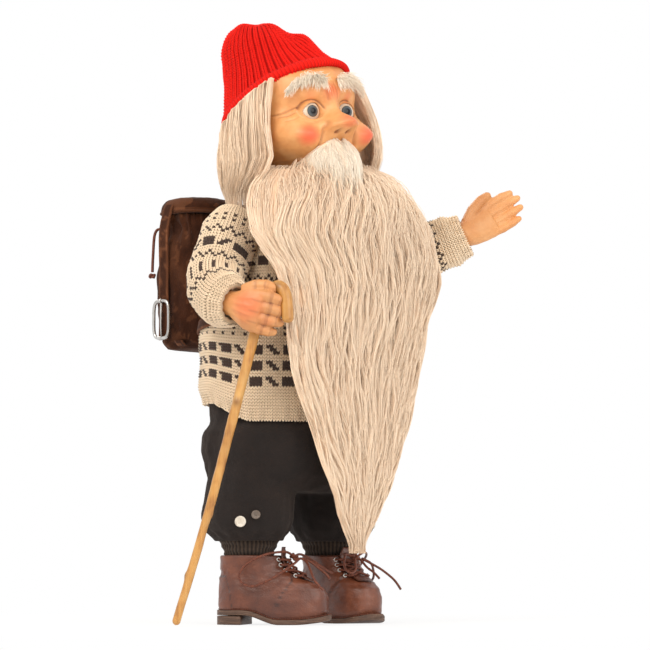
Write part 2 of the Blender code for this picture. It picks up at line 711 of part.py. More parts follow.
def make_arm(side_name, finishes, arm):
    """Knitted sleeve shell, cuff and stuffed core; the sleeve's ball end sits in the torso."""
    centre = SHOULDER[side_name]

    def local(points):
        return [Vector(point) - centre for point in points]

    path, radii = sleeve_path(side_name, 0.0)
    outer = tube_rings(local(path), radii, ARM_SIDES)
    path_in, radii_in = sleeve_path(side_name, -SLEEVE_WALL)
    inner = tube_rings(local(path_in), radii_in, ARM_SIDES)
    loft("sleeve_" + side_name, outer + inner[::-1], finishes["knit"], arm)
    path_core, radii_core = sleeve_path(side_name, -SLEEVE_WALL - 2 * GAP)
    core = loft("arm_core_" + side_name, tube_rings(local(path_core), radii_core, ARM_SIDES)[:-1],
                finishes["stuffing"], arm)
    wrist = WRIST[side_name] - centre
    forearm = (WRIST[side_name] - ELBOW[side_name]).normalized()
    bore = cutter(cylinder("wrist_bore_" + side_name, wrist - forearm * WRIST_STUB,
                           wrist + forearm * CUT_OVERRUN, WRIST_RADIUS + 2 * GAP,
                           finishes["stuffing"], arm))
    boolean(core, bore)


# Axis and degrees of the swings of each arm for which the torso has room
ARM_AXES = {"right": Vector((-1, 0, 0)), "left": Vector((-0.657, -0.754, 0)).normalized()}
ARM_SWINGS = {"right": (0, 10, 20), "left": (0, -15, 15, 30)}


def arm_form(side_name, swing, finishes, figure):
    """The sleeve's shape with its running clearance, which recesses the torso."""
    path, radii = sleeve_path(side_name, SHOULDER_CLEARANCE)
    if swing:
        path, radii = path[BALL_STEPS:], radii[BALL_STEPS:]
        radii[0] -= SHOULDER_CLEARANCE * abs(swing) / 30
    centre = SHOULDER[side_name]
    turn = Matrix.Rotation(math.radians(swing), 3, ARM_AXES[side_name])
    rings = [[turn @ (point - centre) + centre for point in ring]
             for ring in tube_rings(path, radii, ARM_SIDES)]
    return cutter(loft(f"arm_form_{side_name}_{swing}", rings, finishes["knit"], figure))


# Hands. Rows give reach along the fingers, shift to the thumb side, shift to the palm
# side and then size, in millimetres, which reads more easily for a hand.

PALM_FACES = {"right": Vector((1, 0, 0)), "left": Vector((-0.766, -0.643, 0))}
PALMS = {
    "right": [(-1, 0, 0, 9.2, 9.2), (5, 0, -1, 12, 9), (13, 0, -2.5, 15.5, 8.4),
              (20, 0, -3, 16.2, 7.2), (25, 0, -3, 14.8, 5.8)],
    "left": [(-1, 0, 0, 9.2, 9.2), (6, 0, 0, 11.5, 8), (15, 0, 0, 13, 6.8),
             (23, -0.5, 0, 13.2, 5.8), (27, -0.5, 0.3, 12.3, 4.8)],
}
DIGITS = {
    "right": {
        "index": [(19, 12, -3, 4.4), (28, 12.5, -2.4, 4.3), (33.5, 12, 1.2, 4), (36, 11, 6.5, 3.5)],
        "middle": [(19, 4.2, -3.4, 4.5), (29, 4.4, -2.6, 4.4), (35, 4.2, 1.4, 4.1), (37, 3.5, 7, 3.5)],
        "ring": [(19, -3.8, -3.4, 4.4), (28, -4, -2.6, 4.3), (34, -4, 1.2, 3.9), (36, -4.4, 6.6, 3.4)],
        "little": [(18, -11.4, -3, 4.1), (26, -11.8, -2.2, 3.9), (31, -12, 1.4, 3.6), (33, -12, 6, 3.1)],
        "thumb": [(5, 11, 0.5, 5.2), (13, 16.6, 0.8, 4.8), (21, 19, 1.6, 4.4), (27, 18.8, 3.6, 3.7)],
    },
    "left": {
        "index": [(21, 9.2, 0, 3.9), (33, 10.2, 0.8, 3.8), (43, 10.4, 2.5, 3.5), (50, 9.6, 4.6, 2.9)],
        "middle": [(21, 3, 0, 4), (34, 3.4, 0.6, 3.9), (45, 3.5, 2.6, 3.6), (53, 3.3, 5.2, 2.9)],
        "ring": [(21, -3.4, 0, 3.9), (34, -3.8, 0.8, 3.8), (44, -4, 3, 3.4), (51, -4, 5.4, 2.8)],
        "little": [(20, -9.4, 0, 3.6), (31, -10.6, 0.8, 3.4), (39, -11, 2.6, 3.1), (45, -11, 4.6, 2.6)],
        "thumb": [(7, 7.5, 1.5, 4.8), (17, 13.2, 2.4, 4.5), (27, 16.3, 2.6, 4.1), (34, 17.2, 2, 3.4)],
    },
}


def hand_axes(side_name):
    """Directions along the fingers, towards the thumb and out of the palm."""
    along = FINGERS[side_name]
    palm = PALM_FACES[side_name]
    palm = (palm - along * palm.dot(along)).normalized()
    thumb = palm.cross(along)
    if thumb.z < 0:
        thumb = -thumb
    return along, thumb, palm


def make_hand(side_name, finishes, arm, stick_forms):
    """Cast hand with its wrist stub, five digits and, on the right, the grip for the stick."""
    along, thumb, palm = hand_axes(side_name)
    wrist = WRIST[side_name] - SHOULDER[side_name]
    forearm = (WRIST[side_name] - ELBOW[side_name]).normalized()

    def place(reach, across, deep):
        return wrist + (along * reach + thumb * across + palm * deep) * MM

    def section(centre, half_across, half_deep, across_way, deep_way, count=14):
        ring = []
        for index in range(count):
            angle = 2 * math.pi * index / count
            ring.append(centre + across_way * half_across * math.cos(angle)
                        + deep_way * half_deep * math.sin(angle))
        return ring

    square = (thumb - forearm * thumb.dot(forearm)).normalized()
    other = (palm - forearm * palm.dot(forearm) - square * palm.dot(square)).normalized()
    rings = []
    for setback in (WRIST_STUB - GAP, WRIST_STUB / 2):
        rings.append(section(wrist - forearm * setback, WRIST_RADIUS, WRIST_RADIUS, square, other))
    for reach, across, deep, half_across, half_deep in PALMS[side_name]:
        rings.append(section(place(reach, across, deep), half_across * MM, half_deep * MM,
                             thumb, palm))
    hand = loft("hand_" + side_name, rings, finishes["skin"], arm)
    for digit, rows in DIGITS[side_name].items():
        rows = smooth_values(rows, 2)
        points = [place(*row[:3]) for row in rows]
        path, radii = ball_ends(points, [row[3] * MM for row in rows], start=False, steps=2)
        form = cutter(loft(f"{digit}_form_{side_name}", tube_rings(path, radii, 8),
                           finishes["skin"], arm))
        boolean(hand, form, "UNION", "MANIFOLD")
    for form in stick_forms:
        boolean(hand, form, solver="MANIFOLD")


# Walking stick. It stands on the floor and runs up through the right hand to its hook.

STICK_PATH = [
    Vector((-0.134, -0.008, 0.0010)), Vector((-0.1140, -0.0215, SHOULDER_HEIGHT * 0.2857)),
] + [Vector((x, y, SHOULDER_HEIGHT - drop)) for x, y, drop in (
    (-0.1012, -0.0320, 0.1415), (-0.0860, -0.0450, 0.0630), (-0.0846, -0.0499, 0.0518),
    (-0.0846, -0.0557, 0.0458), (-0.0850, -0.0630, 0.0448), (-0.0850, -0.0680, 0.0495),
    (-0.0850, -0.0700, 0.0590), (-0.0850, -0.0712, 0.0710))]
STICK_RADII = [STICK_TIP_RADIUS, STICK_TIP_RADIUS * 1.12, STICK_GRIP_RADIUS * 0.92,
               STICK_GRIP_RADIUS, STICK_HANDLE_RADIUS * 0.94, STICK_HANDLE_RADIUS,
               STICK_HANDLE_RADIUS, STICK_HANDLE_RADIUS, STICK_HANDLE_RADIUS * 0.97,
               STICK_HANDLE_RADIUS * 0.92]
GRIP_INDEX = 3
STICK_DRAW = 0.040
STICK_CLEARANCE = 0.0006


def stick_direction():
    """The way the stick is drawn up through the hand, along its shaft at the grip."""
    return (STICK_PATH[GRIP_INDEX] - STICK_PATH[GRIP_INDEX - 1]).normalized()


def stick_rings(origin, grow):
    rows = [(*point, radius) for point, radius in zip(STICK_PATH, STICK_RADII)]
    rows = smooth_values(rows, 3)
    path = [Vector(row[:3]) - origin for row in rows]
    return tube_rings(path, [row[3] + grow for row in rows], 10)


def make_stick(finishes, arm):
    grip = STICK_PATH[GRIP_INDEX] - SHOULDER["right"]
    holder = empty("stick", grip, arm)
    loft("walking_stick", stick_rings(STICK_PATH[GRIP_INDEX], 0.0), finishes["root"], holder)


def stick_cutters(finishes, arm):
    """The room that the stick needs in the hand, at rest and along its draw."""
    grown = cutter(loft("stick_form", stick_rings(SHOULDER["right"], STICK_CLEARANCE),
                        finishes["root"], arm))
    grip = STICK_PATH[GRIP_INDEX] - SHOULDER["right"]
    reach = stick_direction() * STICK_DRAW
    channel = cutter(cylinder("stick_channel", grip - reach, grip + reach,
                              STICK_GRIP_RADIUS + STICK_CLEARANCE, finishes["root"], arm, 16))
    return [grown, channel]


# Head. Rows give a share of the height from the chin to the crown, then shares of the
# half width, the front depth and the back depth.

HEAD_SLICES = [
    (0.00, 0.62, 0.74, 0.84), (0.05, 0.78, 0.86, 0.90), (0.12, 0.92, 0.94, 0.94),
    (0.22, 1.00, 0.98, 0.97), (0.35, 1.01, 0.99, 1.00), (0.50, 1.00, 1.00, 1.00),
    (0.645, 0.965, 0.93, 0.99), (0.77, 0.84, 0.74, 0.95), (0.87, 0.66, 0.50, 0.80),
    (0.95, 0.40, 0.26, 0.55), (1.00, 0.10, 0.08, 0.10),
]
# Centre across and above the chin, spread, and height of each swelling of the face
FACE_BUMPS = [
    (0.0, 0.0285, 0.0065, 0.0240), (0.0, 0.0400, 0.0055, 0.0060),
    (0.0245, 0.0205, 0.0090, 0.0185), (-0.0245, 0.0205, 0.0090, 0.0185),
    (0.0190, 0.0560, 0.0100, 0.0050), (-0.0190, 0.0560, 0.0100, 0.0050),
    (0.0, 0.0105, 0.0090, 0.0060), (0.0, 0.0010, 0.0090, 0.0060),
    (0.0160, 0.0390, 0.0075, -0.0035), (-0.0160, 0.0390, 0.0075, -0.0035),
]


def head_point(z, angle, outward=0.0):
    """A point on the head at a height above the chin; -90 degrees is the middle of the face."""
    width, front, back = table_at(HEAD_SLICES, z / HEAD_HEIGHT)
    cosine, sine = math.cos(angle), math.sin(angle)
    x = width * HEAD_HALF_WIDTH * cosine
    y = (back * HEAD_BACK if sine > 0 else front * HEAD_FRONT) * sine
    swell = 0.0
    if sine < 0:
        for across, high, spread, height in FACE_BUMPS:
            distance = (x - across) ** 2 + (z - high) ** 2
            swell += height * math.exp(-distance / (2 * spread ** 2))
    facing = Vector((x, y, 0)).normalized()
    if sine < 0:
        facing = (facing + Vector((0, -1, 0))).normalized()
    return Vector((x, y, z)) + facing * swell + Vector((x, y, 0)).normalized() * outward


def face_angle(index, count):
    """Angles round the head, closer together over the face."""
    turn = 2 * math.pi * index / count
    return -math.pi / 2 + turn - 0.55 * math.sin(turn)


def head_rings(grow, count=26, levels=16):
    rings = []
    for level in range(levels + 1):
        share = level / levels
        z = (HEAD_HEIGHT + 2 * grow) * share - grow
        flat = min(max(z, 0.0), HEAD_HEIGHT)
        ring = []
        for index in range(count):
            point = head_point(flat, face_angle(index, count), grow)
            ring.append(Vector((point.x, point.y, z)))
        rings.append(ring)
    return rings


def ball(name, centre, radius, finish, parent, segments=12, rings=8):
    data = bmesh.new()
    bmesh.ops.create_uvsphere(data, u_segments=segments, v_segments=rings, radius=radius)
    bmesh.ops.translate(data, verts=data.verts, vec=centre)
    return finish_object(name, data, finish, parent)


def make_head(finishes, head, neck):
    """Cast head with a neck socket, eye sockets and glass eyes; the neck holds its socket."""
    skull = loft("head", head_rings(0.0), finishes["skin"], head)
    socket = cutter(cylinder("neck_socket", (0, 0, -NECK_POST_RADIUS),
                             (0, 0, NECK_POST_RISE + GAP),
                             NECK_POST_RADIUS + GAP, finishes["skin"], neck, 20))
    boolean(skull, socket, solver="MANIFOLD")
    for side_name, side in SIDES.items():
        centre = Vector((side * EYE_SPREAD, EYE_DEPTH, EYE_HEIGHT))
        ball("eye_" + side_name, centre, EYE_RADIUS, finishes["eye"], head)
        hollow = cutter(ball("eye_socket_" + side_name, centre, EYE_RADIUS + GAP,
                             finishes["eye"], head))
        boolean(skull, hollow, solver="MANIFOLD")
    return skull


def on_head(points):
    """Points on the head from rows of x, height above the chin and distance outwards."""
    result = []
    for x, z, outward in points:
        width, _, _ = table_at(HEAD_SLICES, z / HEAD_HEIGHT)
        angle = -math.acos(max(min(x / (width * HEAD_HALF_WIDTH), 1.0), -1.0))
        point = head_point(z, angle, outward)
        result.append(tuple(point))
    return result


def make_brows(finishes, head):
    for side_name, side in SIDES.items():
        rows = [(0.0060, 0.0610, 0.0034), (0.0120, 0.0625, 0.0046), (0.0195, 0.0615, 0.0049),
                (0.0265, 0.0575, 0.0041), (0.0315, 0.0515, 0.0028)]
        rows = smooth_values(rows, 2)
        spots = [(side * x, z, radius * 0.68 + 3 * GAP) for x, z, radius in rows]
        path = on_head(spots)
        radii = [row[2] for row in rows]
        rings = []
        for point, radius, (_, across, up) in zip(map(Vector, path), radii,
                                                  frames_along([Vector(p) for p in path])):
            facing = Vector((point.x, point.y, 0)).normalized()
            ring = []
            for index in range(10):
                angle = 2 * math.pi * index / 10
                offset = across * math.cos(angle) + up * math.sin(angle)
                offset -= facing * offset.dot(facing) * 0.35
                ring.append(point + offset * radius)
            rings.append(ring)
        loft("brow_" + side_name, rings, finishes["fur"], head)


# Half of the moustache: distance from the middle, height above the chin, and radius
MOUSTACHE = [(0.0210, -0.0050, 0.0038), (0.0195, 0.0020, 0.0056), (0.0155, 0.0090, 0.0061),
             (0.0085, 0.0140, 0.0054), (0.0, 0.0158, 0.0044)]


def moustache_rings(grow):
    half = smooth_values(MOUSTACHE, 2)
    rows = [(-x, z, radius) for x, z, radius in half] + [row for row in half[::-1][1:]]
    spots = [(x, z, radius + 0.0030) for x, z, radius in rows]
    path = [Vector(point) for point in on_head(spots)]
    first = (path[0] - path[1]).normalized() * grow
    last = (path[-1] - path[-2]).normalized() * grow
    path[0], path[-1] = path[0] + first, path[-1] + last
    return tube_rings(path, [row[2] + grow for row in rows], 10)


# Beard. Rows give height above the chin, left and right edge, the inner face's depth at the middle,
# the left and the right edge, and the thickness.

BEARD_SLICES = [
    (-0.001, -0.047, 0.048, -0.045, -0.028, -0.046, 0.022),
    (-0.006, -0.056, 0.058, -0.043, -0.022, -0.046, 0.032),
    (-0.018, -0.064, 0.070, -0.042, -0.016, -0.046, 0.038),
    (-0.030, -0.073, 0.082, -0.045, -0.024, -0.050, 0.037),
    (-0.042, -0.081, 0.091, -0.049, -0.030, -0.054, 0.033),
    (-0.055, -0.086, 0.097, -0.052, -0.034, -0.056, 0.029),
    (-0.067, -0.082, 0.100, -0.056, -0.040, -0.059, 0.025),
    (-0.082, -0.074, 0.098, -0.059, -0.048, -0.061, 0.022),
    (-0.097, -0.068, 0.093, -0.0615, -0.052, -0.060, 0.020),
    (-0.115, -0.070, 0.088, -0.063, -0.056, -0.058, 0.018),
    (-0.135, -0.072, 0.084, -0.0635, -0.058, -0.058, 0.016),
    (-0.155, -0.068, 0.078, -0.0635, -0.059, -0.058, 0.015),
    (-0.172, -0.062, 0.070, -0.0635, -0.060, -0.060, 0.014),
    (-0.192, -0.054, 0.060, -0.0640, -0.062, -0.062, 0.013),
    (-0.210, -0.046, 0.050, -0.0650, -0.064, -0.063, 0.012),
    (-0.228, -0.038, 0.040, -0.0655, -0.065, -0.064, 0.011),
    (-0.245, -0.031, 0.030, -0.0660, -0.066, -0.065, 0.009),
    (-0.260, -0.026, 0.020, -0.0665, -0.066, -0.066, 0.007),
    (-0.272, -0.018, 0.010, -0.0670, -0.067, -0.067, 0.005),
    (-0.281, -0.010, 0.002, -0.0675, -0.067, -0.067, 0.003),
]
BEARD_EDGE_THICKNESS = 0.0022


def beard_rings(columns=8):
    rings = []
    for z, left, right, middle_in, left_in, right_in, thickness in BEARD_SLICES:
        inner, outer = [], []
        for index in range(columns + 1):
            share = 2 * index / columns - 1
            x = (left + right) / 2 + (right - left) / 2 * share
            edge_in = left_in if share < 0 else right_in
            y = middle_in + (edge_in - middle_in) * abs(share) ** 2.2
            depth = BEARD_EDGE_THICKNESS + (thickness - BEARD_EDGE_THICKNESS) * (1 - share ** 2) ** 0.6
            inner.append(Vector((x, y, z)))
            outer.append(Vector((x, y - depth, z)))
        rings.append(inner + outer[::-1])
    return rings


def make_beard(finishes, face, head, head_form, arm_forms):
    """Moustache and long beard, both cut to lie on the face and clear of the arms."""
    moustache = loft("moustache", moustache_rings(0.0), finishes["fur"], face)
    boolean(moustache, head_form)
    moustache_form = cutter(loft("moustache_form", moustache_rings(GAP * 4),
                                 finishes["fur"], face))
    beard = loft("beard", beard_rings(), finishes["fur"], head, strip_caps=True)
    for form in [head_form, moustache_form, *arm_forms]:
        boolean(beard, form, solver="MANIFOLD")


# Wig. Rows give height above the chin, outer half width, outer depth behind, and where the arc of hair
# starts, in degrees from the side towards the back.

WIG_SLICES = [
    (0.0680, 0.0460, 0.0570, -20), (0.0580, 0.0490, 0.0590, -20), (0.0450, 0.0520, 0.0620, -20),
    (0.0300, 0.0550, 0.0645, -22), (0.0170, 0.0570, 0.0655, -25), (0.0060, 0.0570, 0.0660, -26),
    (-0.0040, 0.0560, 0.0660, -14), (-0.0110, 0.0545, 0.0655, 2), (-0.0170, 0.0525, 0.0640, 14),
]
WIG_THICKNESS = 0.018
WIG_COLUMNS = 14


def make_wig(finishes, head, head_form, hat_form):
    """Long hair round the sides and back of the head, under the hat's edge."""
    rings = []
    for z, half_width, depth, start in WIG_SLICES:
        outer, inner = [], []
        for index in range(WIG_COLUMNS + 1):
            angle = math.radians(start + (180 - 2 * start) * index / WIG_COLUMNS)
            direction = Vector((math.cos(angle), math.sin(angle), 0))
            outer.append(Vector((half_width * direction.x, depth * direction.y, z)))
            inner.append(Vector(((half_width - WIG_THICKNESS) * direction.x,
                                 (depth - WIG_THICKNESS) * direction.y, z)))
        rings.append(outer + inner[::-1])
    wig = loft("wig", rings[::-1], finishes["fur"], head, strip_caps=True)
    boolean(wig, head_form)
    boolean(wig, hat_form)


# Hat. Rows give shares of the height above the brim and of the radius. The crown is taller behind
# and its middle moves forward a little towards the top.

HAT_PROFILE = [(0.00, 1.0), (0.09, 0.975), (0.22, 0.90), (0.40, 0.80), (0.58, 0.73),
               (0.74, 0.66), (0.86, 0.57), (0.95, 0.42), (1.00, 0.12)]
CROWN_SLANT = 0.40
CROWN_SHIFT = -0.003


def hat_rings(inset, top_inset):
    rings = []
    for height, radius in HAT_PROFILE:
        trim = inset * min(1.0, radius * 1.5)
        ring = []
        for point in ellipse((0, 0, 0), HAT_HALF_WIDTH * radius - trim,
                             HAT_HALF_DEPTH * radius - trim, 20):
            tall = (HAT_HEIGHT - top_inset) * (1 + CROWN_SLANT * point.y / HAT_HALF_DEPTH)
            ring.append(Vector((point.x, point.y + CROWN_SHIFT * height ** 2, tall * height)))
        rings.append(ring)
    return rings


def make_hat(finishes, head):
    """Knitted hat, open below, tipped back on its own empty."""
    holder = empty("hat", (0, HAT_SETBACK, HAT_BRIM_HEIGHT), head)
    holder.rotation_euler = (-HAT_TILT, HAT_LEAN, 0)
    inner = hat_rings(HAT_WALL, HAT_WALL)
    outer = hat_rings(0.0, 0.0)
    loft("knit_hat", inner[::-1] + outer, finishes["hat_knit"], holder)
    return holder


def hat_cutter(finishes, holder):
    """All that lies above the hat's edge, with its running clearance, which trims the hair."""
    low = [Vector((p.x * 1.5, p.y * 1.5, -TURN_GAP)) for p in hat_rings(0.0, 0.0)[0]]
    top = [Vector((p.x, p.y, HAT_HEIGHT)) for p in low]
    return cutter(loft("hat_form", [low, top], finishes["hat_knit"], holder))


def skull_cutter(finishes, holder):
    """What lies outside the hat's inner face and above its edge, which trims the crown."""
    inner = hat_rings(HAT_WALL + TURN_GAP, HAT_WALL + TURN_GAP)
    inner[0] = [Vector((p.x, p.y, -TURN_GAP)) for p in inner[0]]
    low = [Vector((p.x * 2, p.y * 2, -TURN_GAP)) for p in inner[0]]
    top = [Vector((p.x, p.y, HAT_HEIGHT * 2)) for p in low]
    return cutter(loft("skull_form", inner[::-1] + [low, top], finishes["skin"], holder))


# Rucksack. Rows give shares of the height, half width and half depth.

BAG_SLICES = [(0.00, 0.78, 0.76), (0.05, 0.92, 0.91), (0.22, 1.00, 1.00), (0.55, 0.98, 0.97),
              (0.78, 0.90, 0.88), (0.90, 0.82, 0.80), (1.00, 0.80, 0.80)]
BAG_POWER = 3.0
BAG_Y = BELLY_HALF_DEPTH * 0.95 + GAP + BAG_HALF_DEPTH
LID_HALF_DEPTH = BAG_HALF_DEPTH * 0.80 + LID_OVERHANG
LID_Y = BAG_Y + LID_OVERHANG * 0.5
LID_BASE = BAG_BOTTOM + BAG_HEIGHT + GAP
LID_AXIS = Vector((0, LID_Y - LID_HALF_DEPTH, LID_BASE + 0.001))
BAG_STRAP_Y = BAG_Y + 0.004


def bag_ring(share, inset, count=20):
    width, depth = table_at(BAG_SLICES, share)
    return ellipse((0, BAG_Y, BAG_BOTTOM + BAG_HEIGHT * share), BAG_HALF_WIDTH * width - inset,
                   BAG_HALF_DEPTH * depth - inset, count, BAG_POWER)


def make_bag(finishes, figure):
    shares = [0.0, 0.05, 0.13, 0.22, 0.50, 0.78, 0.90, 1.0]
    outer = [bag_ring(share, 0.0) for share in shares]
    inner = [bag_ring(share, BAG_WALL) for share in shares[1:]]
    loft("bag_body", outer + inner[::-1], finishes["suede"], figure)
    pocket_rows = [(0.10, 0.0), (0.14, 1.0), (0.40, 1.0), (0.48, 0.0)]
    rings = []
    for share, swell in pocket_rows:
        z = BAG_BOTTOM + BAG_HEIGHT * share
        _, depth = table_at(BAG_SLICES, share)
        face = BAG_Y + BAG_HALF_DEPTH * depth + GAP * 4
        half = 0.019 + 0.002 * swell
        thick = 0.0025 + 0.0045 * swell
        rings.append([Vector((-half, face, z)), Vector((half, face, z)),
                      Vector((half * 0.92, face + thick, z)), Vector((-half * 0.92, face + thick, z))])
    loft("bag_pocket", rings, finishes["suede"], figure)
    make_drawstring(finishes, figure)


DRAWSTRING_SHARE = 0.90
DRAWSTRING_RADIUS = 0.0011
# The point of the ring, counted from +X towards the back, where its free end hangs
CORD_START = 8


def make_drawstring(finishes, figure):
    """Cord drawn round the bag's neck, and its free end with a knot."""
    centres = bag_ring(DRAWSTRING_SHARE, -(DRAWSTRING_RADIUS + GAP * 2))
    middle = Vector((0, BAG_Y, centres[0].z))
    rings = []
    for centre in centres:
        out = (centre - middle).normalized()
        ring = []
        for index in range(6):
            angle = 2 * math.pi * index / 6
            ring.append(centre + (out * math.cos(angle) + Vector((0, 0, math.sin(angle))))
                        * DRAWSTRING_RADIUS)
        rings.append(ring)
    loft("bag_drawstring", rings, finishes["lace"], figure, closed_path=True)
    corner = centres[CORD_START]
    out = (corner - middle).normalized()
    start = corner + out * (DRAWSTRING_RADIUS + 2 * GAP)
    route = [start] + [start + out * (reach * MM) + Vector((0, 0, -drop * MM))
                       for reach, drop in ((3.2, 0.8), (5.2, 4.4), (6.0, 10.5), (6.4, 18),
                                           (6.8, 26), (7.0, 33.5))]
    cord_node("bag_cord_end", route, DRAWSTRING_RADIUS, finishes["lace"], figure)
    low = route[-1] - Vector((0, 0, KNOT_RADIUS + 0.0015 + GAP))
    path, radii = ball_ends([low, low + Vector((0.0001, 0, 0.0015))],
                            [KNOT_RADIUS * 1.1, KNOT_RADIUS * 1.1], steps=2)
    loft("bag_cord_knot", tube_rings(path, radii, 8), finishes["lace"], figure)


def make_lid(finishes, figure):
    """Lid with a domed top, its two side straps and their buckles, hinged at the front."""
    holder = empty("bag_lid_hinge", LID_AXIS, figure)
    half_width = BAG_HALF_WIDTH * 0.80 + LID_OVERHANG
    rings = []
    for height, size in ((0.0, 0.94), (0.15, 1.0), (0.55, 0.99), (0.80, 0.88), (0.94, 0.66),
                         (1.0, 0.34)):
        rings.append(ellipse((0, LID_Y - LID_AXIS.y, LID_BASE + LID_HEIGHT * height - LID_AXIS.z),
                             half_width * size, LID_HALF_DEPTH * size, 20, 2.7))
    loft("bag_lid", rings, finishes["suede"], holder)
    for side_name, side in SIDES.items():
        make_lid_strap(side_name, side, half_width, finishes, holder)
    return holder


def make_lid_strap(side_name, side, half_width, finishes, holder):
    """A strap from the lid down the bag's side, with its buckle and prong."""
    y = BAG_STRAP_Y - LID_AXIS.y
    top = LID_BASE + LID_HEIGHT * 0.42
    face = BAG_HALF_WIDTH + GAP * 3
    strap_low = BAG_BOTTOM + 0.006
    centre_line = [(half_width + GAP * 1.5, top), (half_width + 0.0030, top - 0.006),
                   (face + 0.0005, top - 0.022), (face, top - 0.050), (face, strap_low)]
    centre_line = smooth_values(centre_line, 3)
    rings = []
    for x, z in centre_line:
        inner, outer = side * x, side * (x + STRAP_THICKNESS)
        corners = [(inner, y - STRAP_WIDTH / 2), (inner, y + STRAP_WIDTH / 2),
                   (outer, y + STRAP_WIDTH / 2), (outer, y - STRAP_WIDTH / 2)]
        rings.append([Vector((cx, cy, z - LID_AXIS.z)) for cx, cy in corners])
    loft("lid_strap_" + side_name, rings, finishes["suede"], holder)
    x = side * (face + STRAP_THICKNESS + GAP * 2 + BUCKLE_WIRE)
    middle = strap_low + BUCKLE_HEIGHT / 2 - LID_AXIS.z
    loop = []
    for reach in ellipse((0, 0, 0), BUCKLE_WIDTH / 2 - BUCKLE_WIRE,
                         BUCKLE_HEIGHT / 2 - BUCKLE_WIRE, 20, 4.0):
        centre = Vector((x, y + reach.x, middle + reach.y))
        out = Vector((0, reach.x, reach.y)).normalized()
        loop.append([centre + (out * math.cos(a) + Vector((side, 0, 0)) * math.sin(a)) * BUCKLE_WIRE
                     for a in (2 * math.pi * k / 6 for k in range(6))])
    loft("buckle_frame_" + side_name, loop, finishes["steel"], holder, closed_path=True)
    reach = BUCKLE_HEIGHT / 2 - 2 * BUCKLE_WIRE - GAP
    prong = [(x, y, middle + reach), (x, y, middle - reach)]
    radii = [BUCKLE_WIRE * 0.8, BUCKLE_WIRE * 0.6]
    loft("buckle_prong_" + side_name, tube_rings(prong, radii, 8), finishes["steel"], holder)


def make_keeper(side_name, finishes, figure):
    """Tab sewn to the foot of the bag below the buckle."""
    side = SIDES[side_name]
    rings = []
    for share, proud in ((0.02, 0.0), (0.045, 0.0)):
        z = BAG_BOTTOM + BAG_HEIGHT * share
        width, _ = table_at(BAG_SLICES, share)
        x = BAG_HALF_WIDTH * width + GAP + 0.0004
        corners = [(x, -0.004), (x, 0.004), (x + 0.0014, 0.004), (x + 0.0014, -0.004)]
        rings.append([Vector((side * cx, BAG_STRAP_Y - 0.012 + cy, z)) for cx, cy in corners])
    loft("strap_keeper_" + side_name, rings, finishes["suede"], figure)


# Where each end of a shoulder strap leaves the doll's back and lies on the bag: places and
# the way the strap's outer face looks.
STRAP_TOP_END = [
    (Vector((0.0215, BAG_Y - 0.0276, BAG_BOTTOM + 0.0805)), Vector((0, 1, 0))),
    (Vector((0.0215, BAG_Y - 0.0264, BAG_BOTTOM + 0.0875)), Vector((0, 1, 0))),
    (Vector((0.0215, BAG_Y - 0.0300, BAG_BOTTOM + 0.0935)), Vector((0, 0.7, 0.7))),
    (Vector((0.0215, BAG_Y - 0.0380, BAG_BOTTOM + 0.0965)), Vector((0, 0.2, 0.98))),
]
STRAP_FOOT_END = [
    (Vector((0.0300, BAG_Y - 0.0290, BAG_BOTTOM + 0.0102)), Vector((0.2, 0.98, 0))),
    (Vector((0.0240, BAG_Y - 0.0272, BAG_BOTTOM + 0.0102)), Vector((0, 1, 0))),
]


def torso_normal(z, angle):
    step = 0.0005
    across = torso_point(z, angle + 0.01) - torso_point(z, angle - 0.01)
    up = torso_point(z + step, angle) - torso_point(z - step, angle)
    return across.cross(up).normalized()


def make_shoulder_strap(side_name, finishes, figure):
    """Rucksack strap from the bag's top, over the shoulder and under the arm to its foot."""
    side = SIDES[side_name]
    rows = [(0.0180, 62), (0.0130, 38), (0.0125, 8), (0.0180, -20), (0.0290, -42), (0.0440, -55),
            (0.0620, -52), (0.0780, -36), (0.0920, -14), (0.0990, 12), (0.1020, 38), (0.1035, 62)]
    places = []
    for drop, degrees in smooth_values(rows, 2):
        z = NECK_BASE - drop
        angle = math.radians(degrees)
        places.append((torso_point(z, angle), torso_normal(z, angle)))
    places = STRAP_TOP_END + places + STRAP_FOOT_END
    rings = []
    for index, (place, normal) in enumerate(places):
        ahead = places[min(index + 1, len(places) - 1)][0]
        behind = places[max(index - 1, 0)][0]
        across = (ahead - behind).normalized().cross(normal).normalized() * STRAP_WIDTH / 2
        low = place + normal * STRAP_CLEARANCE
        high = low + normal * STRAP_THICKNESS
        ring = [low - across, low + across, high + across, high - across]
        rings.append([Vector((side * p.x, p.y, p.z)) for p in ring])
    loft("shoulder_strap_" + side_name, rings, finishes["suede"], figure)


def centre_on_floor(figure):
    """Moves the doll so that the middle of its bounding box is over the origin."""
    bpy.context.view_layer.update()
    graph = bpy.context.evaluated_depsgraph_get()
    low, high = Vector((1, 1)), Vector((-1, -1))
    for piece in bpy.data.objects:
        if piece.type not in {"MESH", "CURVE"} or piece.hide_render:
            continue
        if piece.name in CORD_NODES:
            continue
        shape = piece.evaluated_get(graph)
        mesh = shape.to_mesh()
        for vert in mesh.vertices:
            place = shape.matrix_world @ vert.co
            low = Vector((min(low.x, place.x), min(low.y, place.y)))
            high = Vector((max(high.x, place.x), max(high.y, place.y)))
        shape.to_mesh_clear()
    middle = (low + high) / 2
    figure.location = (-middle.x, -middle.y, 0)
    bpy.context.view_layer.update()


CORD_NODES = {"lace_bow_outer_right", "lace_bow_inner_right", "lace_bow_outer_left",
              "lace_bow_inner_left", "bag_cord_end", "bag_cord_knot"}


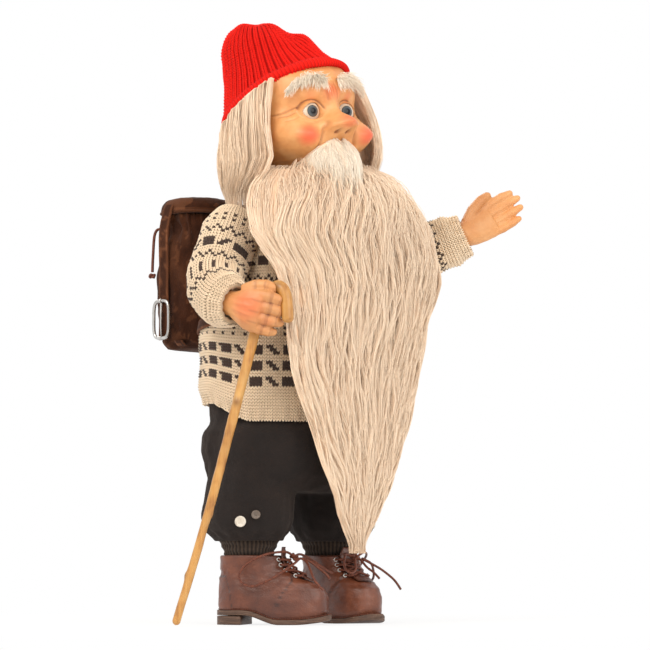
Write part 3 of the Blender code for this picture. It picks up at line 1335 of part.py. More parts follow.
def build():
    clear_scene()
    finishes = make_materials()
    figure = empty("figure", (0, 0, 0))
    for side_name in SIDES:
        make_boot(side_name, finishes, figure)
        make_leg(side_name, finishes, figure)
    make_trousers(finishes, figure)
    arm_forms = {(side_name, swing): arm_form(side_name, swing, finishes, figure)
                 for side_name in SIDES for swing in ARM_SWINGS[side_name]}
    make_torso(finishes, figure, arm_forms.values())
    right_arm = empty("arm_right", SHOULDER["right"], figure)
    left_arm = empty("arm_left", SHOULDER["left"], figure)
    make_arm("right", finishes, right_arm)
    make_arm("left", finishes, left_arm)
    make_hand("right", finishes, right_arm, stick_cutters(finishes, right_arm))
    make_hand("left", finishes, left_arm, [])
    make_stick(finishes, right_arm)
    head = empty("head_turn", (0, 0, CHIN_HEIGHT), figure)
    face = empty("face", (0, HEAD_SETBACK, 0), head)
    face.rotation_euler = (0, HEAD_LEAN, HEAD_TURNED)
    skull = make_head(finishes, face, head)
    head_form = cutter(loft("head_form", head_rings(GAP * 3), finishes["skin"], face))
    make_brows(finishes, face)
    make_beard(finishes, face, head, head_form, [arm_forms[side_name, 0] for side_name in SIDES])
    hat = make_hat(finishes, face)
    boolean(skull, skull_cutter(finishes, hat), solver="MANIFOLD")
    make_wig(finishes, face, head_form, hat_cutter(finishes, hat))
    make_bag(finishes, figure)
    make_lid(finishes, figure)
    for side_name in SIDES:
        make_keeper(side_name, finishes, figure)
        make_shoulder_strap(side_name, finishes, figure)
    centre_on_floor(figure)


build()
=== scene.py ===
"""Looks of the christmas gnome figurine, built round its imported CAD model."""
import math

import bpy
import numpy as np
from mathutils import Euler, Matrix, Vector, noise


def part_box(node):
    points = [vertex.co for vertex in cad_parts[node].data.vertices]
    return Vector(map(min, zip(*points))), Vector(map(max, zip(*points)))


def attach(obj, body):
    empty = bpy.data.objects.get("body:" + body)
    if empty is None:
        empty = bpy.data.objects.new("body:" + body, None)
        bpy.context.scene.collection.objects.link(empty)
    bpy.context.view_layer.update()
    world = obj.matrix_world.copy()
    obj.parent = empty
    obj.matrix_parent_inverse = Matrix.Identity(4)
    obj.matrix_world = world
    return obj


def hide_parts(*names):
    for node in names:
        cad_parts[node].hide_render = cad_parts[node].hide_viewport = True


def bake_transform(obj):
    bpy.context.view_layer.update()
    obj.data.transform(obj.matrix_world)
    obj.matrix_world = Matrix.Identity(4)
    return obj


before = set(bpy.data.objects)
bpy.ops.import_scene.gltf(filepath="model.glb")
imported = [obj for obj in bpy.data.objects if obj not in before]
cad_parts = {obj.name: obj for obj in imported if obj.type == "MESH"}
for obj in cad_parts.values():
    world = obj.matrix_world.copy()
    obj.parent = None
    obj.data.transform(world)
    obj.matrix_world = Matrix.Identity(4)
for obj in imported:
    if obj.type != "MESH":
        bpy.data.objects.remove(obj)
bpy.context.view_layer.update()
MM = 0.001
SIDES = {"right": -1, "left": 1}


def middle(node):
    """Centre of a CAD node's box."""
    low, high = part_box(node)
    return (low + high) / 2


# The doll's upright axis. Shapes below are written from it, like those of the CAD source.
AXIS = Vector((middle("neck_post").x, middle("neck_post").y, 0.0))
AXIS_ROW = np.array(AXIS)


# Camera: low, in front of the doll's right side. Lengths in metres; the azimuth is from the
# doll's front towards its right.

CAMERA_AZIMUTH = math.radians(50)
CAMERA_DISTANCE = 2.2
CAMERA_HEIGHT = 0.045
VIEW_WIDTH = 0.4875
VIEW_MIDDLE = Vector((0.01688, -0.02011, 0.2235))
SENSOR_WIDTH = 36.0


def set_camera():
    into = Vector((math.sin(CAMERA_AZIMUTH), math.cos(CAMERA_AZIMUTH), 0))
    target = AXIS + VIEW_MIDDLE
    place = target - into * CAMERA_DISTANCE
    place.z = CAMERA_HEIGHT
    data = bpy.data.cameras.new("camera")
    data.sensor_width = SENSOR_WIDTH
    data.lens = SENSOR_WIDTH * CAMERA_DISTANCE / VIEW_WIDTH
    camera = bpy.data.objects.new("camera", data)
    camera.location = place
    camera.rotation_euler = (target - place).to_track_quat("-Z", "Y").to_euler()
    bpy.context.scene.collection.objects.link(camera)
    bpy.context.scene.camera = camera
    bpy.context.scene.view_settings.view_transform = "Standard"


# Mesh helpers

def make_mesh(name, verts, faces, finish, tints=None, smooth=True):
    """An object from vertices and one or more arrays of faces with equal corner counts.

    The rows are written from the doll's axis. Tints are one value a vertex for the material.
    """
    rows = np.asarray(verts, dtype=np.float64).reshape(-1, 3) + AXIS_ROW
    groups = [np.asarray(group, dtype=np.int64) for group in
              (faces if isinstance(faces, list) else [faces])]
    corners = np.concatenate([group.ravel() for group in groups])
    counts = np.concatenate([np.full(len(group), group.shape[1]) for group in groups])
    starts = np.concatenate([[0], np.cumsum(counts)[:-1]])
    mesh = bpy.data.meshes.new(name)
    mesh.vertices.add(len(rows))
    mesh.vertices.foreach_set("co", rows.astype(np.float32).ravel())
    mesh.loops.add(len(corners))
    mesh.loops.foreach_set("vertex_index", corners.astype(np.int32))
    mesh.polygons.add(len(counts))
    mesh.polygons.foreach_set("loop_start", starts.astype(np.int32))
    mesh.update(calc_edges=True)
    if smooth:
        mesh.shade_smooth()
    mesh.materials.append(finish)
    piece = bpy.data.objects.new(name, mesh)
    if tints is not None:
        set_tints(piece, tints)
    bpy.context.scene.collection.objects.link(piece)
    return piece


def grid_faces(rows, columns, closed=True, offset=0):
    """Quads of a grid of rows by columns; closed joins the last column to the first."""
    low = np.arange(rows - 1)[:, None] * columns
    across = np.arange(columns if closed else columns - 1)[None, :]
    following = (across + 1) % columns
    return (np.stack([low + across, low + following, low + columns + following,
                      low + columns + across], axis=-1).reshape(-1, 4) + offset)


def unit(rows):
    return rows / np.maximum(np.linalg.norm(rows, axis=-1, keepdims=True), 1e-12)


def grid_normals(points, closed=True):
    """Outward normals of a grid of points (rows, columns, 3), rows going up."""
    up = np.gradient(points, axis=0)
    if closed:
        across = np.roll(points, -1, axis=1) - np.roll(points, 1, axis=1)
    else:
        across = np.gradient(points, axis=1)
    return unit(np.cross(across, up))


def circle(count):
    """Evenly spread angles of a full turn."""
    return np.arange(count) * 2 * math.pi / count


def fan(count, start, middle_vertex, flip=False):
    """Triangles from one ring of vertices to a middle vertex."""
    ring = np.arange(count) + start
    faces = np.stack([ring, np.roll(ring, -1), np.full(count, middle_vertex)], axis=-1)
    return faces[:, ::-1] if flip else faces


def travelled(points):
    """Distance gone at each point of a path."""
    gaps = np.linalg.norm(np.diff(points, axis=0), axis=1)
    return np.concatenate([[0], np.cumsum(gaps)])


def evenly_spaced(rows, count):
    """Rows of place and radius at even distances along a path, and those distances."""
    steps = travelled(rows[:, :3])
    at = np.linspace(0, steps[-1], count)
    return np.stack([np.interp(at, steps, rows[:, axis]) for axis in range(4)], axis=-1), at


def capped_faces(rows, columns, low_middle, high_middle):
    """A closed grid's quads, and fans to a middle vertex at its foot and at its top."""
    return [grid_faces(rows, columns), fan(columns, 0, low_middle, flip=True),
            fan(columns, (rows - 1) * columns, high_middle)]


def tube_data(paths, radii, sides=3, guide=None):
    """Vertices and quads of many thin tubes.

    paths is (tubes, points, 3) and radii is (tubes, points). guide is a direction that no path
    runs along; left out, it comes from each tube's ends.
    """
    paths = np.asarray(paths, dtype=np.float64)
    radii = np.asarray(radii, dtype=np.float64)
    count, points, _ = paths.shape
    along = unit(np.gradient(paths, axis=1))
    if guide is None:
        whole = unit(paths[:, -1] - paths[:, 0])
        helper = np.where(np.abs(whole[:, 2:3]) < 0.8, [[0.0, 0.0, 1.0]], [[1.0, 0.0, 0.0]])
        guide = unit(np.cross(whole, helper))[:, None, :]
    across = unit(np.cross(along, guide))
    up = np.cross(along, across)
    turns = circle(sides)
    ring = (across[:, :, None, :] * np.cos(turns)[None, None, :, None]
            + up[:, :, None, :] * np.sin(turns)[None, None, :, None])
    verts = paths[:, :, None, :] + ring * radii[:, :, None, None]
    one = grid_faces(points, sides)
    faces = (one[None] + (np.arange(count) * points * sides)[:, None, None]).reshape(-1, 4)
    return verts.reshape(-1, 3), faces


def ring_tube(centre, radius, sides, guide):
    """A tube of one thickness along a closed ring of points."""
    closed = np.concatenate([centre, centre[:1]])
    return tube_data(closed[None], np.full((1, len(closed)), radius), sides,
                     guide=np.array([[guide]]))


def join_data(parts):
    """One set of vertices and quads from several."""
    verts, faces, offset = [], [], 0
    for part_verts, part_faces in parts:
        verts.append(part_verts)
        faces.append(part_faces + offset)
        offset += len(part_verts)
    return np.concatenate(verts), np.concatenate(faces)


def smooth_rows(points, steps):
    """Points along a smooth curve through rows of numbers, ends included."""
    rows = [tuple(float(value) for value in point) for point in points]
    result = []
    last = len(rows) - 1
    for index in range(last):
        before, start = rows[max(index - 1, 0)], rows[index]
        end, after = rows[index + 1], rows[min(index + 2, last)]
        for step in range(steps):
            t = step / steps
            result.append(tuple(
                0.5 * (2 * b + (c - a) * t + (2 * a - 5 * b + 4 * c - d) * t * t
                       + (3 * b - a - 3 * c + d) * t ** 3)
                for a, b, c, d in zip(before, start, end, after)))
    result.append(rows[-1])
    return result


def read_table(rows, position):
    """Values of a table of rows at a position in its first column, eased between rows."""
    if position <= rows[0][0]:
        return rows[0][1:]
    for lower, upper in zip(rows, rows[1:]):
        if position <= upper[0]:
            t = (position - lower[0]) / (upper[0] - lower[0])
            t = t * t * (3 - 2 * t) * 0.5 + t * 0.5
            return tuple(a + (b - a) * t for a, b in zip(lower[1:], upper[1:]))
    return rows[-1][1:]


def read_columns(rows, positions):
    """read_table at many positions, as one array a column."""
    return np.array([read_table(rows, position) for position in positions]).T


def turbulence(points, scale, seed=0.0, octaves=3):
    """Smooth noise from about -1 to 1 at each point."""
    shift = Vector((seed * 3.1, seed * 1.7, seed * 2.3))
    flat = np.asarray(points).reshape(-1, 3)
    values = np.array([noise.fractal(Vector(point) * scale + shift, 0.9, 2.0, octaves)
                       for point in flat])
    return values.reshape(np.asarray(points).shape[:-1])


def frames_along(points):
    """The direction of travel and two square directions at each point of a path."""
    result = []
    across = None
    for index in range(len(points)):
        forward = (points[min(index + 1, len(points) - 1)] - points[max(index - 1, 0)]).normalized()
        if across is None:
            guide = Vector((0, 0, 1)) if abs(forward.z) < 0.8 else Vector((1, 0, 0))
            across = forward.cross(guide).normalized()
        else:
            across = (across - forward * across.dot(forward)).normalized()
        result.append((forward, across, forward.cross(across)))
    return result


def spokes(points, count):
    """Directions square to a path, evenly spread round each of its points."""
    frames = frames_along([Vector(point) for point in points])
    across = np.array([frame_of[1] for frame_of in frames])
    up = np.array([frame_of[2] for frame_of in frames])
    turns = circle(count)
    return (across[:, None] * np.cos(turns)[None, :, None]
            + up[:, None] * np.sin(turns)[None, :, None])


def neighbours(grid):
    """Steps to the next cell across and up at each place of a closed grid."""
    across = (np.roll(grid, -1, axis=1) - np.roll(grid, 1, axis=1)) / 2
    return across, np.gradient(grid, axis=0)


def ellipse_ring(half_width, half_depth, count, power=2.0, front=None):
    """Points of a level ring about the origin as (count, 2); front is the depth towards -Y."""
    angles = circle(count)
    cosine, sine = np.cos(angles), np.sin(angles)
    depth = np.where(sine > 0, half_depth, half_depth if front is None else front)
    return np.stack([half_width * np.sign(cosine) * np.abs(cosine) ** (2 / power),
                     depth * np.sign(sine) * np.abs(sine) ** (2 / power)], axis=-1)


def ease(values, low, high):
    """A smooth step from 0 at low to 1 at high."""
    share = np.clip((values - low) / (high - low), 0.0, 1.0)
    return share * share * (3 - 2 * share)


def copied_mesh(node, name, finish, voxel, smoothing):
    """A fine, rounded copy of a CAD node for further shaping."""
    source = bpy.data.objects[node]
    piece = bpy.data.objects.new(name, source.data.copy())
    piece.data.name = name
    bpy.context.scene.collection.objects.link(piece)
    remesh = piece.modifiers.new("remesh", "REMESH")
    remesh.mode = "VOXEL"
    remesh.voxel_size = voxel
    soften = piece.modifiers.new("soften", "SMOOTH")
    soften.iterations = smoothing
    graph = bpy.context.evaluated_depsgraph_get()
    mesh = bpy.data.meshes.new_from_object(piece.evaluated_get(graph))
    piece.modifiers.clear()
    old = piece.data
    piece.data = mesh
    bpy.data.meshes.remove(old)
    mesh.name = name
    mesh.materials.clear()
    mesh.materials.append(finish)
    mesh.shade_smooth()
    return piece


def mesh_rows(piece):
    """Vertex places and normals of a piece, measured from the doll's axis."""
    count = len(piece.data.vertices)
    rows = np.empty(count * 3, dtype=np.float32)
    piece.data.vertices.foreach_get("co", rows)
    normals = np.empty(count * 3, dtype=np.float32)
    piece.data.vertices.foreach_get("normal", normals)
    return rows.reshape(-1, 3).astype(np.float64) - AXIS_ROW, normals.reshape(-1, 3)


def set_tints(piece, tints, name="tint"):
    """One value a vertex, for the material to read."""
    layer = piece.data.attributes.new(name, "FLOAT", "POINT")
    layer.data.foreach_set("value", np.asarray(tints, dtype=np.float32).ravel())


def set_rows(piece, rows, tints=None):
    """Moves a piece's vertices to rows measured from the doll's axis."""
    piece.data.vertices.foreach_set("co", (rows + AXIS_ROW).astype(np.float32).ravel())
    if tints is not None:
        set_tints(piece, tints)
    piece.data.update()


def settle(piece, body, *nodes, slot=None):
    """Lets a piece ride on a body in place of CAD nodes."""
    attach(piece, body)
    if nodes:
        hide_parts(*nodes)
    return piece


# Material helpers

class Shader:
    """A material's node tree with short calls for adding and joining nodes."""

    def __init__(self, name, roughness=0.6, **inputs):
        self.material = bpy.data.materials.new(name)
        self.material.use_nodes = True
        self.tree = self.material.node_tree
        self.surface = self.tree.nodes["Principled BSDF"]
        self.surface.inputs["Roughness"].default_value = roughness
        for key, value in inputs.items():
            self.surface.inputs[key.replace("_", " ")].default_value = value

    def add(self, kind, settings=None, **inputs):
        node = self.tree.nodes.new("ShaderNode" + kind)
        for key, value in (settings or {}).items():
            setattr(node, key, value)
        for key, value in inputs.items():
            self.put(node, key.replace("_", " "), value)
        return node

    def put(self, node, key, value):
        """Joins or sets an input, named or numbered."""
        socket = node.inputs[int(key)] if key.isdigit() else node.inputs[key]
        if isinstance(value, bpy.types.NodeSocket):
            self.tree.links.new(value, socket)
        elif isinstance(value, tuple) and len(value) == 3 and socket.type == "RGBA":
            socket.default_value = (*value, 1.0)
        else:
            socket.default_value = value

    def place(self):
        """Where each spot of the surface is, in metres."""
        return self.add("TexCoord").outputs["Object"]

    def noise(self, scale, detail=4.0, roughness=0.55, stretch=None):
        vector = self.place()
        if stretch:
            mapping = self.add("Mapping", Vector=vector)
            mapping.inputs["Scale"].default_value = stretch
            vector = mapping.outputs["Vector"]
        return self.add("TexNoise", Vector=vector, Scale=scale, Detail=detail,
                        Roughness=roughness).outputs["Fac"]

    def voronoi(self, scale):
        return self.add("TexVoronoi", Vector=self.place(), Scale=scale).outputs["Distance"]

    def tint(self):
        return self.add("Attribute", {"attribute_name": "tint"}).outputs["Fac"]

    def ramp(self, value, stops):
        node = self.add("ValToRGB", Fac=value)
        band = node.color_ramp
        while len(band.elements) < len(stops):
            band.elements.new(0.5)
        for element, (position, colour) in zip(band.elements, stops):
            element.position = position
            element.color = (*colour, 1.0)
        return node.outputs["Color"]

    def math(self, operation, first, second=0.0):
        node = self.add("Math", {"operation": operation})
        self.put(node, "0", first)
        self.put(node, "1", second)
        return node.outputs["Value"]

    def blend(self, first, first_share, second, second_share):
        """A sum of two values, each times its share."""
        return self.math("ADD", self.math("MULTIPLY", first, first_share),
                         self.math("MULTIPLY", second, second_share))

    def mix(self, share, first, second, blend_type="MIX"):
        node = self.add("Mix", {"data_type": "RGBA", "blend_type": blend_type})
        self.put(node, "0", share)
        self.put(node, "6", (*first, 1.0) if isinstance(first, tuple) else first)
        self.put(node, "7", (*second, 1.0) if isinstance(second, tuple) else second)
        return node.outputs[2]

    def near(self, centre, radius, falloff=0.6):
        """A mask that is 1 near a point, measured from the doll's axis, and fades out."""
        node = self.add("VectorMath", {"operation": "DISTANCE"})
        self.put(node, "0", self.place())
        node.inputs[1].default_value = tuple(Vector(centre) + AXIS)
        return self.fade(node.outputs["Value"], radius * (1 - falloff), radius, 1.0, 0.0)

    def fade(self, value, low, high, first, last):
        """A smooth change from first to last while the value goes from low to high."""
        node = self.add("MapRange", {"interpolation_type": "SMOOTHSTEP"}, Value=value,
                        From_Min=low, From_Max=high, To_Min=first, To_Max=last)
        return node.outputs["Result"]

    def bump(self, height, distance, strength=1.0, normal=None):
        node = self.add("Bump", Height=height, Distance=distance, Strength=strength)
        if normal is not None:
            self.put(node, "Normal", normal)
        return node.outputs["Normal"]

    def finish(self, colour=None, normal=None, roughness=None):
        if colour is not None:
            self.put(self.surface, "Base Color", colour)
        if normal is not None:
            self.put(self.surface, "Normal", normal)
        if roughness is not None:
            self.put(self.surface, "Roughness", roughness)
        return self.material


# Materials

def fur_finish(name, low, high):
    """Fine fibre whose strands carry a tint from shade to light."""
    shader = Shader(name, 0.6, Sheen_Weight=0.25, Sheen_Roughness=0.4)
    shade = shader.blend(shader.tint(), 0.8, shader.noise(38.0, 3.0), 0.25)
    between = tuple((a + b) / 2 for a, b in zip(low, high))
    colour = shader.ramp(shade, [(0.12, low), (0.5, between), (0.85, high)])
    normal = shader.bump(shader.noise(900.0, 2.0, stretch=(1, 1, 0.12)), 0.0004, 0.5)
    return shader.finish(colour, normal)


def wool_finish(name, light, dark, sheen=0.15):
    """Knitting wool; the tint picks the sweater's dark yarn, and is painted shade in the grooves between
    the ribs of the sock and hat and inside the hat; fine noise makes its fibres.
    """
    shader = Shader(name, 0.92, Sheen_Weight=sheen, Sheen_Roughness=0.5, Specular_IOR_Level=0.2)
    speck = shader.noise(1400.0, 3.0)
    pale = shader.mix(shader.noise(60.0), light, tuple(c * 0.93 for c in light))
    yarn = shader.mix(shader.tint(), pale, dark)
    colour = shader.mix(shader.math("MULTIPLY", speck, 0.20), yarn, tuple(c * 0.62 for c in light),
                        "MULTIPLY")
    return shader.finish(colour, shader.bump(speck, 0.0003, 0.8))


def velour_finish():
    shader = Shader("velour", 0.95, Sheen_Weight=0.12, Sheen_Roughness=0.35)
    shader.surface.inputs["Sheen Tint"].default_value = (0.42, 0.25, 0.16, 1.0)
    pile = shader.noise(1500.0, 3.0)
    patch = shader.noise(55.0, 5.0, 0.6)
    colour = shader.ramp(shader.blend(pile, 0.4, patch, 0.6),
                         [(0.30, (0.007, 0.004, 0.003)), (0.55, (0.013, 0.007, 0.005)),
                          (0.75, (0.022, 0.012, 0.008))])
    return shader.finish(colour, shader.bump(pile, 0.0010, 0.9))


def boot_finish():
    """Waxed leather; the tint darkens it: worn along panel edges, darker at the foot of the upper, on
    the flex creases, the tongue and the collar's roll, and painted shade on the collar's inner side and
    down inside the boot.
    """
    shader = Shader("waxed_leather", 0.45, Coat_Weight=0.25, Coat_Roughness=0.35)
    grain = shader.voronoi(900.0)
    cloud = shader.noise(45.0, 6.0, 0.65)
    base = shader.ramp(cloud, [(0.25, (0.062, 0.015, 0.006)), (0.5, (0.130, 0.034, 0.014)),
                               (0.78, (0.235, 0.070, 0.030))])
    colour = shader.mix(shader.tint(), base, (0.035, 0.012, 0.008))
    rough = shader.math("ADD", shader.math("MULTIPLY", cloud, 0.35), 0.26)
    normal = shader.bump(grain, 0.0004, 0.35, shader.bump(shader.noise(260.0, 5.0), 0.0006, 0.4))
    return shader.finish(colour, normal, rough)


def lace_finish():
    shader = Shader("thong", 0.6)
    fibre = shader.noise(700.0, 4.0)
    colour = shader.ramp(fibre, [(0.3, (0.060, 0.012, 0.005)), (0.7, (0.20, 0.050, 0.020))])
    return shader.finish(colour, shader.bump(fibre, 0.0005, 0.7))


def sole_finish():
    shader = Shader("layered_sole", 0.6)
    layers = shader.noise(300.0, 4.0, stretch=(0.3, 0.3, 6.0))
    colour = shader.ramp(layers, [(0.3, (0.045, 0.022, 0.014)), (0.55, (0.12, 0.062, 0.038)),
                                  (0.8, (0.24, 0.15, 0.10))])
    return shader.finish(colour, shader.bump(layers, 0.0005, 0.6))


def suede_finish():
    """Brushed suede; the tint is where it is rubbed pale."""
    shader = Shader("suede", 0.93, Sheen_Weight=0.06, Sheen_Roughness=0.4, Specular_IOR_Level=0.2)
    nap = shader.noise(1300.0, 4.0)
    brushed = shader.noise(42.0, 5.0, 0.62)
    colour = shader.ramp(shader.blend(nap, 0.3, brushed, 0.7),
                         [(0.28, (0.018, 0.0050, 0.0018)), (0.52, (0.048, 0.0140, 0.0050)),
                          (0.78, (0.105, 0.036, 0.014))])
    colour = shader.mix(shader.tint(), colour, (0.21, 0.078, 0.034))
    return shader.finish(colour, shader.bump(nap, 0.0008, 0.8))


def steel_finish():
    shader = Shader("bright_wire", 0.28, Metallic=1.0)
    scratch = shader.noise(500.0, 4.0, stretch=(1, 1, 0.15))
    colour = shader.ramp(scratch, [(0.3, (0.42, 0.40, 0.38)), (0.7, (0.72, 0.70, 0.67))])
    rough = shader.math("ADD", shader.math("MULTIPLY", scratch, 0.3), 0.16)
    return shader.finish(colour, shader.bump(scratch, 0.0001, 0.4), rough)


def root_finish():
    """Peeled wood; the tint is its dark knots, and darkens the dips between its lumps."""
    shader = Shader("peeled_root", 0.42, Coat_Weight=0.3, Coat_Roughness=0.25)
    grain = shader.noise(260.0, 5.0, 0.6, stretch=(1, 1, 0.10))
    blotch = shader.noise(70.0, 4.0)
    colour = shader.ramp(shader.blend(grain, 0.55, blotch, 0.45),
                         [(0.28, (0.26, 0.085, 0.014)), (0.48, (0.53, 0.25, 0.055)),
                          (0.72, (0.68, 0.40, 0.13))])
    colour = shader.mix(shader.tint(), colour, (0.20, 0.075, 0.015))
    return shader.finish(colour, shader.bump(grain, 0.0005, 0.6))


def button_finish():
    """Horn; the tint picks the dark button."""
    shader = Shader("button_horn", 0.35)
    swirl = shader.noise(180.0, 4.0)
    pale = shader.ramp(swirl, [(0.35, (0.62, 0.55, 0.46)), (0.7, (0.86, 0.80, 0.70))])
    colour = shader.mix(shader.tint(), pale, (0.10, 0.065, 0.045))
    return shader.finish(colour, shader.bump(swirl, 0.0001, 0.3))


def dowel_finish():
    shader = Shader("dowel", 0.6)
    grain = shader.noise(160.0, 5.0, 0.6, stretch=(4, 4, 0.3))
    colour = shader.ramp(grain, [(0.3, (0.40, 0.25, 0.13)), (0.7, (0.66, 0.48, 0.30))])
    return shader.finish(colour, shader.bump(grain, 0.0003, 0.5))


def stuffing_finish():
    shader = Shader("stuffed_cotton", 0.95)
    weave = shader.voronoi(1600.0)
    colour = shader.ramp(weave, [(0.1, (0.62, 0.56, 0.47)), (0.6, (0.84, 0.79, 0.70))])
    return shader.finish(colour, shader.bump(weave, 0.0003, 0.5))


def eye_finish():
    """Painted glass: pupil, iris, its dark rim and the white, by the tint."""
    shader = Shader("glass_eye", 0.05, Specular_IOR_Level=0.30)
    streak = shader.noise(900.0, 3.0)
    share = shader.math("ADD", shader.tint(), shader.math("MULTIPLY", streak, 0.008))
    colour = shader.ramp(share, [(0.075, (0.004, 0.004, 0.005)), (0.090, (0.045, 0.055, 0.065)),
                                 (0.145, (0.110, 0.130, 0.140)), (0.172, (0.020, 0.022, 0.024)),
                                 (0.188, (0.62, 0.50, 0.38)), (0.30, (0.80, 0.70, 0.57))])
    return shader.finish(colour)


def blush(shader, colour, tone, spots):
    """Paints a tone over places of the skin: rows of centre, radius and strength."""
    for centre, radius, strength in spots:
        share = shader.math("MULTIPLY", shader.near(centre, radius, 0.85), strength)
        colour = shader.mix(share, colour, tone)
    return colour


RED_BLUSH = (0.84, 0.12, 0.05)
# Blushed places of the face in its own frame: centre, radius and strength
FACE_BLUSH = [((-0.0262, -0.0520, 0.0205), 0.0125, 0.90), ((0.0262, -0.0520, 0.0205), 0.0125, 0.90),
              ((0.0, -0.0680, 0.0300), 0.0105, 0.55), ((0.0, -0.0480, 0.0540), 0.0105, 0.55),
              ((-0.0170, -0.0440, 0.0500), 0.0070, 0.22), ((0.0170, -0.0440, 0.0500), 0.0070, 0.30)]
# Blushed places of the hands, measured from the doll's axis
HAND_BLUSH = [((-0.106, -0.050, 0.229), 0.017, 0.45), ((-0.100, -0.064, 0.214), 0.010, 0.30),
              ((0.104, -0.062, 0.318), 0.014, 0.35)]
# The hands are painted browner and darker than the face: partly their own tone, partly painted shade
HAND_TAN_AND_SHADE = (0.40, 0.155, 0.050)
TAN_AND_SHADE_ON_HANDS = [((-0.100, -0.058, 0.222), 0.045, 0.50), ((0.118, -0.075, 0.325), 0.060, 0.62)]


def skin_finish():
    """Painted skin: warm tan with blushed nose, cheeks, brow and hands; the tint is painted shade in
    wrinkles, nostrils, the mouth, round the eyelids, in knuckle creases and between the fingers.
    """
    shader = Shader("painted_skin", 0.48, Coat_Weight=0.10, Coat_Roughness=0.4)
    cloud = shader.noise(60.0, 5.0, 0.6)
    colour = shader.ramp(cloud, [(0.28, (0.64, 0.25, 0.080)), (0.5, (0.74, 0.34, 0.12)),
                                 (0.75, (0.82, 0.44, 0.19))])
    spots = [(in_head(centre), radius, strength) for centre, radius, strength in FACE_BLUSH]
    colour = blush(shader, colour, HAND_TAN_AND_SHADE, TAN_AND_SHADE_ON_HANDS)
    colour = blush(shader, colour, RED_BLUSH, spots + HAND_BLUSH)
    lips = shader.add("Attribute", {"attribute_name": "lips"}).outputs["Fac"]
    colour = shader.mix(shader.math("MULTIPLY", lips, 0.8), colour, (0.62, 0.10, 0.05))
    # Painted shade in wrinkles, creases and hollows, by the tint.
    colour = shader.mix(shader.tint(), colour, (0.22, 0.070, 0.028))
    pores = shader.noise(1100.0, 3.0)
    return shader.finish(colour, shader.bump(pores, 0.0003, 0.25))


def make_finishes():
    """Every material, by the short name that the pieces call it by."""
    return {
        "fur": fur_finish("fur", (0.80, 0.53, 0.33), (1.0, 0.81, 0.62)),
        "pale_fur": fur_finish("pale_fur", (0.90, 0.68, 0.50), (1.0, 0.90, 0.76)),
        "wool": wool_finish("cream_wool", (0.98, 0.79, 0.58), (0.085, 0.055, 0.045)),
        "wool_shade": wool_finish("cream_wool_shade", (0.62, 0.50, 0.35), (0.06, 0.04, 0.035)),
        "red_wool": wool_finish("red_wool", (0.93, 0.016, 0.008), (0.36, 0.003, 0.002), 0.02),
        "sock": wool_finish("sock_wool", (0.075, 0.05, 0.035), (0.018, 0.012, 0.010)),
        "velour": velour_finish(), "boot": boot_finish(), "lace": lace_finish(),
        "sole": sole_finish(), "suede": suede_finish(), "steel": steel_finish(),
        "root": root_finish(), "button": button_finish(), "wood": dowel_finish(),
        "stuffing": stuffing_finish(), "skin": skin_finish(), "eye": eye_finish(),
    }


# Cords. Routes are those of the CAD source, in metres, in each boot's own frame.

SHOE_LENGTH, SHOE_WIDTH, SOLE_THICKNESS, SOLE_MARGIN = 0.080, 0.041, 0.004, 0.0022
ANKLE_SETBACK, ANKLE_SPREAD = 0.021, 0.046
TOE_REACH = SHOE_LENGTH - ANKLE_SETBACK
HEEL_RISE, TOE_SPRING, HEEL_LENGTH = 0.007, 0.003, 0.021
COLLAR_HEIGHT = 0.049
UPPER_HEIGHT = COLLAR_HEIGHT - SOLE_THICKNESS
OUTLINE_POWER = 2.5
TOE_IN = {"right": math.radians(30), "left": math.radians(-16)}
LACE_RADIUS, LACE_CLEARANCE, KNOT_RADIUS = 0.0009, 0.0030, 0.0020
TONGUE_WIDTH, TONGUE_THICKNESS = 0.015, 0.0014
GAP = 0.0003
BOOT_SLICES = [
    (0.00, 0.975, 0.97, 0.96), (0.10, 1.00, 1.00, 1.00), (0.30, 0.995, 0.99, 1.00),
    (0.46, 0.955, 0.965, 0.95), (0.57, 0.86, 0.95, 0.92), (0.66, 0.70, 0.94, 0.90),
    (0.76, 0.54, 0.95, 0.89), (0.88, 0.45, 0.965, 0.90), (1.00, 0.42, 0.98, 0.93),
]


def boot_frame(side_name):
    return (Matrix.Translation((SIDES[side_name] * ANKLE_SPREAD, 0, 0))
            @ Matrix.Rotation(TOE_IN[side_name], 4, "Z"))


def in_boot(side_name, rows):
    """Rows of a boot's own frame, measured from the doll's axis."""
    frame_of = np.array(boot_frame(side_name))
    rows = np.asarray(rows, dtype=np.float64).reshape(-1, 3)
    return rows @ frame_of[:3, :3].T + frame_of[:3, 3]


def boot_reach(share):
    """Toe reach, heel reach and half width of the upper at a share of its height."""
    toe, heel, width = read_table(BOOT_SLICES, share)
    return toe * TOE_REACH, heel * ANKLE_SETBACK, width * SHOE_WIDTH / 2


def boot_surface(share, x):
    """How far ahead of the ankle the upper's front is, at a share of its height."""
    toe, _, half_width = boot_reach(share)
    return -toe * (1 - abs(x / half_width) ** OUTLINE_POWER) ** (1 / OUTLINE_POWER)


def bow_knot():
    """Middle of the bow's knot, over the top rung."""
    ahead = TONGUE_THICKNESS + 2 * GAP + LACE_CLEARANCE + LACE_RADIUS + KNOT_RADIUS
    height = SOLE_THICKNESS + UPPER_HEIGHT * 0.94 + 0.0032
    return Vector((0, boot_surface(0.94, 0) - ahead, height))


